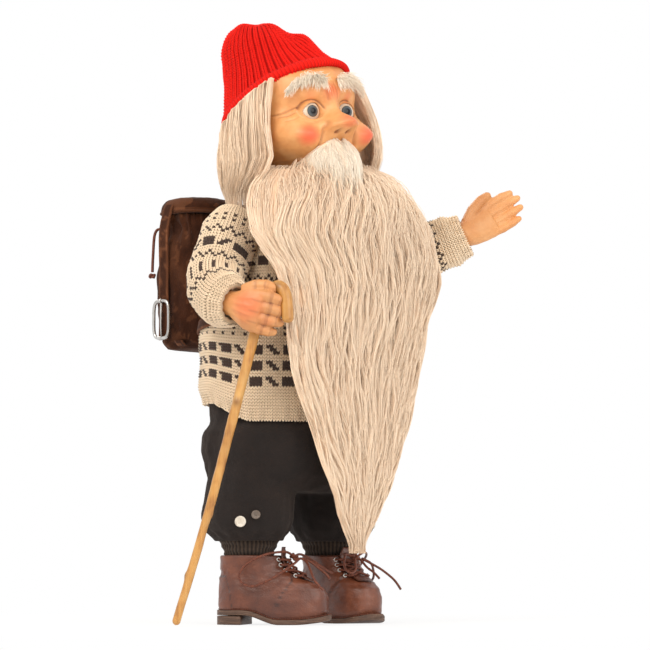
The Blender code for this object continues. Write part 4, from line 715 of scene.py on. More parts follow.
BOW_ROUTES = {
    "outer": [(2.3, 0.0, 0.3), (12, 4.6, 3.6), (24, 19, 1.0), (27, 32, -7), (27, 35.5, -16),
              (27, 27, -21.5), (25.5, 12, -16), (15, -1.5, -6), (7, -4.5, -2.2), (3.3, -5.6, -1.2),
              (3.6, -8.4, -2.4), (7.5, -11.5, -5), (15, -15, -9.8), (22.5, -19.5, -17),
              (24, -26, -24)],
    "inner": [(-2.3, 0.0, 0.3), (-10, -3.5, 1.8), (-17.5, -12, -3.4), (-21.5, -19.5, -9),
              (-20, -25, -12), (-13.5, -21, -9.4), (-7.5, -12, -4), (-3.4, -6.6, -1.4),
              (-1.0, -8.8, -1.8), (-1.2, -13, -4.2), (-0.6, -18, -8), (1.6, -23, -11.5),
              (3.6, -27.5, -16)],
}
BAG_Y, BAG_BOTTOM, BAG_HEIGHT = 0.08525, 0.208, 0.103
BAG_HALF_WIDTH, BAG_HALF_DEPTH, BAG_WALL, BAG_POWER = 0.042, 0.027, 0.0022, 3.0
BAG_SLICES = [(0.00, 0.78, 0.76), (0.05, 0.92, 0.91), (0.22, 1.00, 1.00), (0.55, 0.98, 0.97),
              (0.78, 0.90, 0.88), (0.90, 0.82, 0.80), (1.00, 0.80, 0.80)]
DRAWSTRING_SHARE, DRAWSTRING_RADIUS, CORD_START = 0.90, 0.0011, 8
CORD_FALL = [(0.0, 0.0), (3.2, 0.8), (5.2, 4.4), (6.0, 10.5), (6.4, 18), (6.8, 26), (7.0, 33.5)]


def curve_piece(name, rows, radius, finish):
    """A round cord as a curve of one open spline, through rows from the doll's axis."""
    curve = bpy.data.curves.new(name, "CURVE")
    curve.dimensions = "3D"
    curve.bevel_depth = radius
    curve.bevel_resolution = 3
    curve.use_fill_caps = True
    spline = curve.splines.new("POLY")
    spline.points.add(len(rows) - 1)
    for target, row in zip(spline.points, rows):
        target.co = (*(Vector(row) + AXIS), 1.0)
    curve.materials.append(finish)
    piece = bpy.data.objects.new(name, curve)
    bpy.context.scene.collection.objects.link(piece)
    return piece


def route_length(rows):
    return float(travelled(np.asarray(rows))[-1])


def free_cord(name, rows, radius, finish, node):
    """A cord that hangs free, from where it leaves its knot or its ring."""
    piece = curve_piece(name, rows, radius, finish)
    settle(piece, "figure", node, slot="lace")


def bag_ring(share, outset, count):
    """A level ring round the rucksack at a share of its height."""
    width, depth = read_table(BAG_SLICES, share)
    ring = ellipse_ring(BAG_HALF_WIDTH * width + outset, BAG_HALF_DEPTH * depth + outset, count,
                        BAG_POWER)
    return np.concatenate([ring + [0, BAG_Y],
                           np.full((count, 1), BAG_BOTTOM + BAG_HEIGHT * share)], axis=1)


KNOT_TURNS, KNOT_SIDES = 48, 8


def knot_data(centre, size, thickness, tilt=0.0):
    """A small tied knot: a thick cord along a trefoil."""
    t = circle(KNOT_TURNS)
    rows = np.stack([np.sin(t) + 2 * np.sin(2 * t), np.cos(t) - 2 * np.cos(2 * t),
                     -1.4 * np.sin(3 * t)], axis=-1) * size / 3
    turn = np.array(Matrix.Rotation(tilt, 3, "X"))
    rows = rows @ turn.T + np.asarray(centre)
    along = unit(np.roll(rows, -1, axis=0) - np.roll(rows, 1, axis=0))
    out = unit(rows - np.asarray(centre))
    across = unit(np.cross(along, out))
    up = np.cross(along, across)
    angles = circle(KNOT_SIDES)
    verts = (rows[:, None] + across[:, None] * np.cos(angles)[None, :, None] * thickness
             + up[:, None] * np.sin(angles)[None, :, None] * thickness)
    faces = grid_faces(KNOT_TURNS + 1, KNOT_SIDES) % (KNOT_TURNS * KNOT_SIDES)
    return verts.reshape(-1, 3), faces


def make_cords(finishes):
    """The bows' free ends and the rucksack's hanging drawstring."""
    knot = bow_knot()
    for side_name, side in SIDES.items():
        for half, route in BOW_ROUTES.items():
            rows = [(knot.x + side * x * MM, knot.y + y * MM, knot.z + z * MM)
                    for x, y, z in route]
            rows = in_boot(side_name, smooth_rows(rows, 5))
            name = f"lace_{half}_{side_name}"
            free_cord(name, rows, LACE_RADIUS, finishes["lace"],
                      f"lace_bow_{half}_{side_name}")
    centres = bag_ring(DRAWSTRING_SHARE, DRAWSTRING_RADIUS + GAP * 2, 20)
    corner = centres[CORD_START]
    centre = np.array([0, BAG_Y, corner[2]])
    out = unit(corner - centre)
    start = corner + out * (DRAWSTRING_RADIUS + 2 * GAP)
    rows = smooth_rows([start + out * reach * MM + np.array([0, 0, -drop * MM])
                        for reach, drop in CORD_FALL], 5)
    low = np.array(rows[-1]) - [0, 0, KNOT_RADIUS + 0.0010]
    verts, faces = knot_data(low, 0.0021, 0.0010)
    end = make_mesh("drawstring_knot", verts, faces, finishes["lace"], np.zeros(len(verts)))
    settle(end, "figure", "bag_cord_knot", slot="lace")
    free_cord("drawstring_end", rows, DRAWSTRING_RADIUS, finishes["lace"], "bag_cord_end")


# Boots

BOOT_COLUMNS, BOOT_LEVELS = 128, 72
HEEL_NARROWING = 0.14
# How far the rolled collar has turned inwards, and its height over the leather's edge
COLLAR_ROLL = ((0.0, 0.0006), (0.12, 0.0014), (0.35, 0.0017), (0.6, 0.0013), (0.85, 0.0))
COLLAR_INNER_RADIUS = 0.0176
COLLAR_DEPTH = 0.012


def boot_lift(y):
    """Height by which the heel and the toe tip rise above the ball of the foot."""
    heel = ease(y + 0.026, 0.0, 0.026)
    toe = np.maximum((-y - 0.036) / (TOE_REACH - 0.036), 0.0)
    return HEEL_RISE * heel + TOE_SPRING * toe * toe


def boot_grid(shares, count):
    """The upper's outer face as (levels, columns, 3) in the boot's own frame."""
    rows = []
    for share in shares:
        toe, heel, half_width = boot_reach(share)
        ring = ellipse_ring(half_width, heel, count, OUTLINE_POWER, toe)
        x = ring[:, 0] * (1 - HEEL_NARROWING * np.maximum(ring[:, 1], 0) / heel)
        z = SOLE_THICKNESS + UPPER_HEIGHT * share + boot_lift(ring[:, 1]) * (1 - share)
        rows.append(np.stack([x, ring[:, 1], z], axis=-1))
    return np.array(rows)


def rolled_collar(edge):
    """Rings and tints that roll the leather's top edge inwards and down."""
    angle = np.arctan2(edge[:, 1], edge[:, 0])
    inner = np.stack([np.cos(angle) * COLLAR_INNER_RADIUS, np.sin(angle) * COLLAR_INNER_RADIUS,
                      np.full(len(edge), COLLAR_HEIGHT)], axis=-1)
    rings, tints = [], []
    for turned, rise in COLLAR_ROLL:
        ring = edge * (1 - turned) + inner * turned
        ring[:, 2] = COLLAR_HEIGHT + rise
        rings.append(ring)
        # Rings turned more than halfway in, and the ring deep inside, are tinted dark: painted shade
        # inside the boot.
        tints.append(np.full(len(edge), 0.25 + 0.6 * (turned > 0.5)))
    deep = rings[-1].copy()
    deep[:, 2] = COLLAR_HEIGHT - COLLAR_DEPTH
    return np.array(rings + [deep]), np.array(tints + [np.full(len(edge), 1.0)])


def make_upper(side_name, finishes):
    """Leather upper with toe cap, quarters over the instep, heel counter and rolled collar."""
    shares = np.linspace(0.0, 1.0, BOOT_LEVELS)
    grid = boot_grid(shares, BOOT_COLUMNS)
    normals = grid_normals(grid)
    x, y = grid[..., 0], grid[..., 1]
    share = np.broadcast_to(shares[:, None], x.shape)
    seam = -0.023 - 0.011 * np.clip((share - 0.1) / 0.5, 0, 1) ** 1.5
    quarter = ease(y, seam - 0.0007, seam + 0.0007)
    facing = ease(np.abs(x), TONGUE_WIDTH / 2 + 0.0005, TONGUE_WIDTH / 2 + 0.0016)
    quarter = quarter * np.where(y < -0.002, np.maximum(facing, ease(-share, -0.60, -0.56)), 1.0)
    counter_edge = 0.0085 + 0.012 * share ** 2
    counter = ease(y, counter_edge, counter_edge + 0.001) * ease(-share, -0.66, -0.6)
    raised = 0.0008 * quarter + 0.0007 * counter
    flex = np.exp(-((y + 0.031) / 0.006) ** 2) * ease(share, 0.25, 0.5) * (1 - quarter)
    ankle = np.exp(-((share - 0.72) / 0.12) ** 2) * ease(y, -0.02, 0.0)
    creases = turbulence(grid * [120, 420, 260], 1.0, SIDES[side_name] + 3.0)
    soft = turbulence(grid, 75.0, SIDES[side_name] + 9.0)
    grid = grid + normals * (raised + flex * creases * 0.0010 + ankle * creases * 0.0007
                             + soft * 0.0007)[..., None]
    edge = (np.abs(quarter - 0.5) < 0.45) | (np.abs(counter - 0.5) < 0.45)
    # The tint: worn panel edges, darker at the foot of the upper and on the flex creases.
    tints = np.where(edge, 0.75, 0.0) + 0.55 * ease(-share, -0.06, 0.0)
    tints = tints + 0.5 * flex * ease(creases, 0.1, 0.6)
    extra, extra_tints = rolled_collar(grid[-1])
    foot = grid[0] * [0.97, 0.97, 1.0]
    rows = np.concatenate([foot[None], grid, extra])
    all_tints = np.concatenate([tints[:1], tints, extra_tints])
    verts = in_boot(side_name, rows)
    faces = grid_faces(len(rows), BOOT_COLUMNS)
    piece = make_mesh(f"boot_{side_name}", verts, faces, finishes["boot"],
                      np.clip(all_tints, 0, 1))
    settle(piece, "figure", f"boot_upper_{side_name}", slot="boot")
    make_tongue(side_name, finishes)


def make_tongue(side_name, finishes):
    """Tongue on the instep, standing above the collar."""
    shares = np.linspace(0.60, 1.16, 26)
    columns = 13
    x = np.linspace(-1, 1, columns)
    rows = []
    for share in shares:
        surface = boot_surface(min(share, 1.0), 0) - GAP * 2
        z = (SOLE_THICKNESS + UPPER_HEIGHT * share
             + float(boot_lift(np.array(surface))) * (1 - min(share, 1.0)) + 0.0006)
        tip = math.sqrt(max(1 - max(share - 1.05, 0) * 6, 0.1))
        half = TONGUE_WIDTH / 2 * (0.72 + 0.3 * share) * tip
        bow = 0.0010 * (1 - x ** 2) + 0.0003 * np.sin(share * 60)
        level = np.full(columns, z)
        outer = np.stack([x * half, surface - TONGUE_THICKNESS - bow + 0.0006, level], -1)
        inner = np.stack([x[::-1] * half, np.full(columns, surface), level], -1)
        rows.append(np.concatenate([outer, inner]))
    verts = in_boot(side_name, np.array(rows))
    round_it = np.arange(2 * columns)[None]
    faces = [grid_faces(len(rows), 2 * columns), round_it,
             round_it[:, ::-1] + 2 * columns * (len(rows) - 1)]
    piece = make_mesh(f"tongue_{side_name}", verts, faces, finishes["boot"],
                      np.full(len(verts), 0.3))
    settle(piece, "figure", f"boot_tongue_{side_name}", slot="boot")


def sole_outline(y, grow=0.0):
    """Half width of the sole's outline."""
    reach = np.where(y < 0, TOE_REACH, ANKLE_SETBACK) + SOLE_MARGIN
    half_width = SHOE_WIDTH / 2 + SOLE_MARGIN + grow
    narrowing = 1 - HEEL_NARROWING * np.maximum(y, 0) / ANKLE_SETBACK
    inside = np.maximum(1 - np.abs(y / reach) ** OUTLINE_POWER, 0.0)
    return half_width * narrowing * inside ** (1 / OUTLINE_POWER)


# Each edge of the sole's section: its share of the half width and its level
SLAB_SECTION = ((-1, "low"), (-1, "mid"), (-1, "high"), (-0.97, "top"), (0.97, "top"),
                (1, "high"), (1, "mid"), (1, "low"), (0.96, "bottom"), (-0.96, "bottom"))
SLAB_BEVEL = 0.0005


def slab(back, front, low_at, high_at, count, waist=0.0):
    """A slab with the sole's outline and softened edges, as vertices and quads."""
    share = 0.5 - 0.5 * np.cos(np.linspace(0.02, math.pi - 0.02, count))
    y = back + (front - back) * share
    half = np.maximum(sole_outline(y), 0.0012)
    low, high = low_at(y), high_at(y)
    levels = {"bottom": low, "low": low + SLAB_BEVEL, "mid": (low + high) / 2,
              "high": high - SLAB_BEVEL, "top": high}
    rows = []
    for x_share, level in SLAB_SECTION:
        squeeze = 1.0 - waist * (level == "mid")
        rows.append(np.stack([half * x_share * squeeze, y, levels[level]], axis=-1))
    grid = np.array(rows).transpose(1, 0, 2)
    section = len(SLAB_SECTION)
    end = np.arange(section)[None]
    faces = [grid_faces(len(grid), section), end[:, ::-1], end + (len(grid) - 1) * section]
    return grid.reshape(-1, 3), faces


WELT_REACH = 0.0011
WELT_STITCHES = 120


def make_sole(side_name, finishes):
    """Layered sole and stacked heel, with the welt's row of stitches."""
    back = ANKLE_SETBACK + SOLE_MARGIN
    sole = slab(back, -(TOE_REACH + SOLE_MARGIN), boot_lift,
                lambda y: boot_lift(y) + SOLE_THICKNESS - GAP, 90, 0.012)
    heel = slab(back, back - HEEL_LENGTH, np.zeros_like,
                lambda y: np.maximum(boot_lift(y) - 2 * GAP, 0.0012), 40, 0.03)
    for kind, (rows, faces) in (("sole", sole), ("heel", heel)):
        piece = make_mesh(f"{kind}_{side_name}", in_boot(side_name, rows), faces,
                          finishes["sole"], smooth=False)
        settle(piece, "figure", f"boot_{kind}_{side_name}", slot="sole")
    ring = ellipse_ring(SHOE_WIDTH / 2 + WELT_REACH, ANKLE_SETBACK + WELT_REACH, 720,
                        OUTLINE_POWER, TOE_REACH + WELT_REACH)
    ring[:, 0] *= 1 - HEEL_NARROWING * np.maximum(ring[:, 1], 0) / ANKLE_SETBACK
    steps = travelled(ring)
    spots = np.linspace(0, steps[-1], WELT_STITCHES, endpoint=False)
    x, y = np.interp(spots, steps, ring[:, 0]), np.interp(spots, steps, ring[:, 1])
    z = boot_lift(y) + SOLE_THICKNESS + 0.0001
    ahead = unit(np.stack([np.roll(x, -1) - np.roll(x, 1), np.roll(y, -1) - np.roll(y, 1),
                           np.roll(z, -1) - np.roll(z, 1)], axis=-1))
    centre = np.stack([x, y, z], axis=-1)
    paths = np.stack([centre - ahead * 0.00075, centre + [0, 0, 0.0003],
                      centre + ahead * 0.00075], axis=1)
    radii = np.tile([0.0002, 0.0004, 0.0002], (len(paths), 1))
    verts, faces = tube_data(paths, radii, 4)
    piece = make_mesh(f"welt_stitches_{side_name}", in_boot(side_name, verts), faces,
                      finishes["lace"])
    settle(piece, "figure", slot="lace")


RUNG_SHARES = (0.68, 0.7667, 0.8533, 0.94)
RUNG_REACH = 0.0105
EYELET_RADIUS, EYELET_WIRE = 0.0013, 0.00045


def instep(x, level, proud):
    """A place over the boot's front at a share of its height."""
    surface = boot_surface(min(level, 1.0), x)
    return (x, surface - proud, SOLE_THICKNESS + UPPER_HEIGHT * level + 0.0012)


def make_lacing(side_name, finishes):
    """Laces crossing over the tongue from eyelet to eyelet, and the knot of the bow."""
    parts, eyelets = [], []
    for index, share in enumerate(RUNG_SHARES):
        above = RUNG_SHARES[min(index + 1, 3)]
        for way in (-1, 1):
            rows = [instep(way * RUNG_REACH, share, 0.0008), instep(way * 0.0070, share, 0.0030),
                    instep(0.0, (share + above) / 2, 0.0044 + 0.0008 * way),
                    instep(-way * 0.0070, above, 0.0030),
                    instep(-way * RUNG_REACH, above, 0.0008)]
            rows = np.array(smooth_rows(rows, 5))
            parts.append(tube_data(rows[None], np.full((1, len(rows)), LACE_RADIUS), 8))
            eyelets.append((instep(way * RUNG_REACH, share, 0.0010), way))
    knot = np.array(bow_knot())
    parts.append(knot_data(knot, 0.0026, 0.0011, 0.6))
    verts, faces = join_data(parts)
    piece = make_mesh(f"laces_{side_name}", in_boot(side_name, verts), faces, finishes["lace"])
    settle(piece, "figure", f"lacing_{side_name}", slot="lace")
    rings = []
    for centre, way in eyelets:
        out = np.array([way * 0.72, -0.62, 0.3])
        out /= np.linalg.norm(out)
        across = unit(np.cross(out, [0, 0, 1.0]))
        up = np.cross(out, across)
        turns = np.linspace(0, 2 * math.pi, 17)
        path = (np.asarray(centre) + across * np.cos(turns)[:, None] * EYELET_RADIUS
                + up * np.sin(turns)[:, None] * EYELET_RADIUS)
        radii = np.full((1, len(turns)), EYELET_WIRE)
        rings.append(tube_data(path[None], radii, 6, guide=out[None, None]))
    verts, faces = join_data(rings)
    piece = make_mesh(f"eyelets_{side_name}", in_boot(side_name, verts), faces,
                      finishes["steel"])
    settle(piece, "figure", slot="steel")


# Socks, trousers and buttons

def make_sock(side_name, finishes):
    """Ribbed sock, bunched above the boot."""
    columns, levels, ribs = 168, 60, 42
    x0 = SIDES[side_name] * ANKLE_SPREAD
    z = np.linspace(0.0343, 0.0672, levels)
    radius = np.interp(z, [0.0343, 0.049, 0.0545, 0.061, 0.068],
                       [0.0150, 0.0168, 0.0190, 0.0210, 0.0212])
    angle = circle(columns)
    bunch = 0.0008 * np.sin(z * 900)[:, None] * np.sin(angle * 2 + z[:, None] * 300)
    rib = 0.00045 * np.cos(angle * ribs)
    reach = radius[:, None] + (rib[None] + bunch) * ease(z, 0.047, 0.052)[:, None]
    grid = np.stack([x0 + reach * np.cos(angle), reach * np.sin(angle),
                     np.broadcast_to(z[:, None], reach.shape)], axis=-1)
    # The tint darkens the grooves between the ribs: painted shade.
    tints = np.broadcast_to(0.5 - 0.5 * np.cos(angle * ribs), reach.shape)
    piece = make_mesh(f"ribbed_sock_{side_name}", grid, grid_faces(levels, columns),
                      finishes["sock"], tints)
    settle(piece, "figure", f"sock_{side_name}", slot="sock")


def make_trousers(finishes):
    """Baggy knickerbockers with folds that gather at the cuffs."""
    piece = copied_mesh("trousers", "knickerbockers", finishes["velour"], 0.0013, 14)
    rows, normals = mesh_rows(piece)
    x, y, z = rows.T
    side = np.where(x < 0, -1.0, 1.0)
    angle = np.arctan2(y, x - side * ANKLE_SPREAD)
    hang = turbulence(np.stack([x * 38, y * 38, z * 13], axis=-1), 1.0, 2.0)
    fold = np.abs(turbulence(np.stack([x * 26, y * 26, z * 40], axis=-1), 1.0, 5.0))
    gather = np.cos(angle * 13 + 2.2 * hang) * ease(-z, -0.079, -0.066)
    pile = turbulence(rows, 420.0, 1.0, 2)
    outside = ease(normals[:, 2] * -1, -1.1, -0.2)
    move = 0.0024 * hang - 0.0005 * ease(-fold, -0.30, 0.0) + 0.0007 * gather + 0.00022 * pile
    move *= ease(z, 0.0605, 0.066) * 0.85 + 0.15
    set_rows(piece, rows + normals * (move * outside)[:, None])
    settle(piece, "figure", "trousers", slot="velour")


# From the button's middle over its rim to its back: shares of its radius and thickness
BUTTON_PROFILE = ((0.0, 0.45), (0.45, 0.45), (0.62, 0.55), (0.80, 1.0), (0.93, 0.92),
                  (1.0, 0.5), (0.92, 0.05), (0.0, 0.0))
# Name, place round the leg, rise over the cuff's foot, size and darkness
BUTTONS = (("pale", -2.62, 0.014, 1.0, 0.0), ("dark", -2.30, 0.019, 0.8, 0.9))
BUTTON_RADIUS, BUTTON_THICKNESS = 0.0042, 0.0018
CUFF_RADIUS, CUFF_FOOT = 0.033, 0.061


def button_data(centre, out, radius, thickness):
    """A turned button with a raised rim and two bars of thread."""
    out = np.asarray(out, dtype=float)
    across = unit(np.cross(out, [0.0, 0.0, 1.0]))
    up = np.cross(out, across)
    turns = circle(28)
    rows = []
    for reach, height in BUTTON_PROFILE:
        reach = max(reach, 0.01) * radius
        rows.append(np.asarray(centre) + across * np.cos(turns)[:, None] * reach
                    + up * np.sin(turns)[:, None] * reach * 0.97 + out * height * thickness)
    parts = [(np.array(rows).reshape(-1, 3), grid_faces(len(rows), len(turns)))]
    for offset in (-0.16, 0.16):
        base = np.asarray(centre) + across * offset * radius + out * thickness * 0.5
        bar = np.array([base + up * s * radius * 0.3 + out * 0.0003 * (1 - s * s)
                        for s in (-1, -0.5, 0, 0.5, 1)])
        parts.append(tube_data(bar[None], np.full((1, 5), 0.0002), 5))
    return join_data(parts)


def make_buttons(finishes):
    for side_name, side in SIDES.items():
        for name, angle, rise, scale, dark in BUTTONS:
            out = np.array([-side * math.cos(angle), math.sin(angle), 0.0])
            place = np.array([side * ANKLE_SPREAD * 1.01 + out[0] * CUFF_RADIUS,
                              out[1] * CUFF_RADIUS * 1.06, CUFF_FOOT + rise]) + out * GAP
            verts, faces = button_data(place, out, BUTTON_RADIUS * scale, BUTTON_THICKNESS)
            piece = make_mesh(f"button_{name}_{side_name}", verts, faces, finishes["button"],
                              np.full(len(verts), dark))
            settle(piece, "figure", f"cuff_button_{name}_{side_name}", slot="button")


# Sweater. Stitches are short tubes laid in pairs on the knitted surface.

HEM_HEIGHT, NECK_BASE = 0.149, 0.322
TORSO_POWER = 2.15
TORSO_SLICES = [
    (0.00, 0.072, 0.055, 0.055), (0.16, 0.07524, 0.05665, 0.0583),
    (0.335, 0.076, 0.05795, 0.061), (0.50, 0.07068, 0.05429, 0.05612),
    (0.64, 0.0616, 0.04859, 0.04902), (0.80, 0.056, 0.043, 0.043),
    (0.89, 0.04592, 0.03612, 0.03612), (0.955, 0.0324, 0.02832, 0.02832),
    (1.00, 0.024, 0.024, 0.024),
]
STITCH_HEIGHT = 0.00225
TORSO_COLUMNS, SLEEVE_COLUMNS = 176, 52
# How deep the shaded shell lies under the stitches, and how far its edges turn in
LINING_DEPTH, HEM_TURN, CUFF_TURN = 0.0009, 0.0012, 0.0035
MOTIF_BLOCK = ["####", "####", "####"]
MOTIF_STEP = ["##..", ".##.", "..##"]


def torso_grid(levels, angles):
    """Points of the sweater's outer face at each level and angle."""
    half_width, back, front = read_columns(TORSO_SLICES,
                                           (levels - HEM_HEIGHT) / (NECK_BASE - HEM_HEIGHT))
    cosine, sine = np.cos(angles), np.sin(angles)
    share = 2 / TORSO_POWER
    depth = np.where(sine[None] > 0, back[:, None], front[:, None])
    x = half_width[:, None] * np.sign(cosine) * np.abs(cosine) ** share
    y = depth * (np.sign(sine) * np.abs(sine) ** share)[None]
    return np.stack([x, y, np.broadcast_to(levels[:, None], x.shape)], axis=-1)


def even_angles(count):
    """Angles that space a ring of the torso's shape evenly."""
    fine = np.linspace(-math.pi, math.pi, 2881)
    steps = travelled(torso_grid(np.array([HEM_HEIGHT + 0.05]), fine)[0])
    return np.interp(np.arange(count) / count * steps[-1], steps, fine)


def stitches(points, across, up, normals, keep, tints, size=1.0):
    """Pairs of legs, one pair a cell, of a knitted grid.

    The arrays are (cells, 3); across and up are as long as a cell is wide and high.
    """
    points, across, up, normals = (array[keep] for array in (points, across, up, normals))
    width = np.linalg.norm(across, axis=-1)
    paths = []
    for way in (-1, 1):
        low = points + across * 0.06 * way - up * 0.58 - normals * 0.0002
        mid = points + across * 0.27 * way + normals * (0.30 * width[:, None])
        top = points + across * 0.40 * way + up * 0.52 - normals * 0.0002
        paths.append(np.stack([low, mid, top], axis=1))
    paths = np.concatenate(paths)
    radii = np.concatenate([width, width])[:, None] * np.array([[0.10, 0.27, 0.12]]) * size
    guide = np.concatenate([normals, normals])[:, None, :]
    verts, faces = tube_data(paths, radii, 3, guide=guide)
    spread = np.repeat(np.concatenate([tints[keep], tints[keep]]), 9)
    return verts, faces, spread


def motif_tint(row, column, start, motif_rows):
    """1 where a row of alternating figures, three stitches high, has dark wool."""
    inside = (row >= start) & (row < start + 3)
    line = np.clip(row - start, 0, 2).astype(int)
    cell = (column % 5).astype(int)
    which = ((column // 5) % 2).astype(int)
    table = np.zeros((2, 3, 5))
    for kind, motif in enumerate(motif_rows):
        for level, text in enumerate(motif[::-1]):
            for place, mark in enumerate(text):
                table[kind, level, place] = mark == "#"
    return np.where(inside, table[which, line, cell], 0.0)


def zigzag(row, column, start):
    """Where a line runs up and down over three rows, once every four stitches."""
    return row == start + np.array([0, 1, 2, 1])[column % 4]


def torso_tint(row, column):
    """The sweater's figures: rows are counted up from the hem."""
    tint = np.zeros(row.shape)
    for start in (11, 16, 21):
        tint = np.maximum(tint, motif_tint(row, column, start, (MOTIF_BLOCK, MOTIF_STEP)))
    dots = ((row == 27) | (row == 29)) & (column % 4 == 0)
    dashes = (row >= 38) & (row <= 40) & (column % 4 == 0)
    tint[dots | dashes | zigzag(row, column, 32) | zigzag(row, column, 44)] = 1.0
    for start in (50, 56):
        tint = np.maximum(tint, motif_tint(row, column, start, (MOTIF_BLOCK, MOTIF_STEP)))
    return tint


def hem_rise(angles):
    """How far the hem is lifted at each angle: it hangs shorter at the side vents and behind."""
    turn = np.abs((angles - math.pi / 2 + math.pi) % (2 * math.pi) - math.pi)
    return 0.014 * ease(-turn, -1.95, -1.25)


SHOULDER = {"right": Vector((-0.065, 0.002, 0.287)), "left": Vector((0.065, 0.002, 0.287))}
ELBOW = {"right": SHOULDER["right"] + Vector((-0.034, -0.008, -0.051)),
         "left": SHOULDER["left"] + Vector((0.039, -0.034, -0.009))}
WRIST = {"right": SHOULDER["right"] + Vector((-0.034, -0.034, -0.056)),
         "left": ELBOW["left"] + Vector((0.023, -0.036, 0.019))}
SLEEVE_RADII = [(0.0, 0.020425), (0.5, 0.0205), (0.8, 0.019475), (1.0, 0.0165)]


def sleeve_line(side_name, per_part=24):
    """Centre line and radii of a sleeve from inside the shoulder to the wrist."""
    shoulder, elbow, wrist = SHOULDER[side_name], ELBOW[side_name], WRIST[side_name]
    bend = elbow.lerp(shoulder, 0.5)
    inward = (shoulder - bend).normalized()
    points = [shoulder + inward * 0.014, shoulder + inward * 0.007, shoulder,
              shoulder.lerp(bend, 0.5)]
    radii = [0.0165, 0.0200, 0.0215, 0.02107]
    for step in range(7):
        t = step / 6
        points.append(bend * (1 - t) ** 2 + elbow * 2 * t * (1 - t) + wrist * t ** 2)
        radii.append(read_table(SLEEVE_RADII, t)[0])
    rows = np.array([(*point, radius) for point, radius in zip(points, radii)])
    return np.array(smooth_rows(rows, per_part))


def sleeve_surface(side_name, columns, rows_count):
    """A sleeve's centre line and radii, evenly spaced, and the directions out from it."""
    even, _ = evenly_spaced(sleeve_line(side_name), rows_count)
    return even, spokes(even[:, :3], columns)


def inside_sleeves(points, margin):
    """Which points lie inside either sleeve, by a margin."""
    inside = np.zeros(len(points), dtype=bool)
    for side_name in SIDES:
        for row in sleeve_line(side_name, 4):
            inside |= np.linalg.norm(points - row[:3], axis=1) < row[3] + margin
    return inside


def make_sweater(finishes):
    """The knitted body: an inner shell and its stitches, with a ribbed hem."""
    columns = TORSO_COLUMNS
    angles = even_angles(columns)
    rows_count = int((NECK_BASE - HEM_HEIGHT) / STITCH_HEIGHT)
    levels = np.linspace(HEM_HEIGHT, NECK_BASE, rows_count)
    grid = torso_grid(levels, angles)
    sag = turbulence(grid * [20, 20, 34], 1.0, 7.0)
    normals = grid_normals(grid)
    blouse = np.exp(-((levels - 0.163) / 0.010) ** 2)[:, None] * 0.0012
    hem = ease(-levels, -(HEM_HEIGHT + 0.016), -HEM_HEIGHT)[:, None]
    rib = np.where(np.arange(columns) % 4 < 2, 0.0005, -0.0006)[None] * hem
    grid = grid + normals * (sag * 0.0016 + blouse + rib - 0.0006)[..., None]
    shrink = 1 - (levels - HEM_HEIGHT) / (NECK_BASE - HEM_HEIGHT)
    grid[..., 2] += hem_rise(angles)[None] * shrink[:, None] ** 3
    normals = grid_normals(grid)
    across, up = neighbours(grid)
    tints = torso_tint(*np.indices((rows_count, columns)))
    flat = [array.reshape(-1, 3) for array in (grid, across, up, normals)]
    keep = ~inside_sleeves(flat[0], -0.0015)
    verts, faces, spread = stitches(*flat, keep, tints.reshape(-1))
    piece = make_mesh("sweater_stitches", verts, faces, finishes["wool"], spread)
    settle(piece, "figure", "sweater_body", slot="knit")
    # Under the stitches lies a shell of darker wool: painted shade between the stitches.
    under = grid - normals * LINING_DEPTH
    foot = under[:1] - normals[:1] * HEM_TURN
    shell = np.concatenate([foot, under])
    shell_tints = np.concatenate([np.zeros((1, columns)), tints]) * 0.9
    piece = make_mesh("sweater_inner", shell, grid_faces(len(shell), columns),
                      finishes["wool_shade"], shell_tints)
    settle(piece, "figure", slot="knit")
    make_neck_band(finishes)


NECK_COLUMNS, NECK_LEVELS = 80, 14
NECK_RADIUS, NECK_RISE = 0.0238, 0.0118


def ribs(columns, depth):
    """Ribbing round an edge: two stitches out, two stitches in."""
    return np.where(np.arange(columns) % 4 < 2, depth, -depth)


def make_neck_band(finishes):
    """Ribbed band that closes in over its top edge."""
    columns = NECK_COLUMNS
    angle = circle(columns)
    rib = ribs(columns, 0.0004)
    rows = []
    for share in np.linspace(0, 1, NECK_LEVELS):
        reach = NECK_RADIUS + math.sin(share * math.pi) * 0.0012 + rib
        rows.append(np.stack([np.cos(angle) * reach, np.sin(angle) * reach,
                              np.full(columns, NECK_BASE + GAP + share * NECK_RISE)], axis=-1))
    rows.append(rows[-1] * [0.72, 0.72, 1.0])
    verts = np.array(rows)
    piece = make_mesh("neck_ribbing", verts, grid_faces(len(rows), columns), finishes["wool"],
                      np.zeros(verts.shape[:2]))
    settle(piece, "figure", "sweater_neck_band", slot="knit")


def sleeve_tint(row, column, last):
    """Figures of a sleeve: rows are counted from the cuff up the arm."""
    low = last - row
    tint = np.zeros(row.shape)
    dashes = (low >= 13) & (low <= 16) & (column % 4 == 0)
    dots = ((low == 34) | (low == 36)) & (column % 3 == 0)
    for start in (9, 19, 29):
        tint[zigzag(low, column, start)] = 1.0
    tint[dashes | dots] = 1.0
    return np.maximum(tint, motif_tint(low, column, 24, (MOTIF_BLOCK, MOTIF_STEP)))


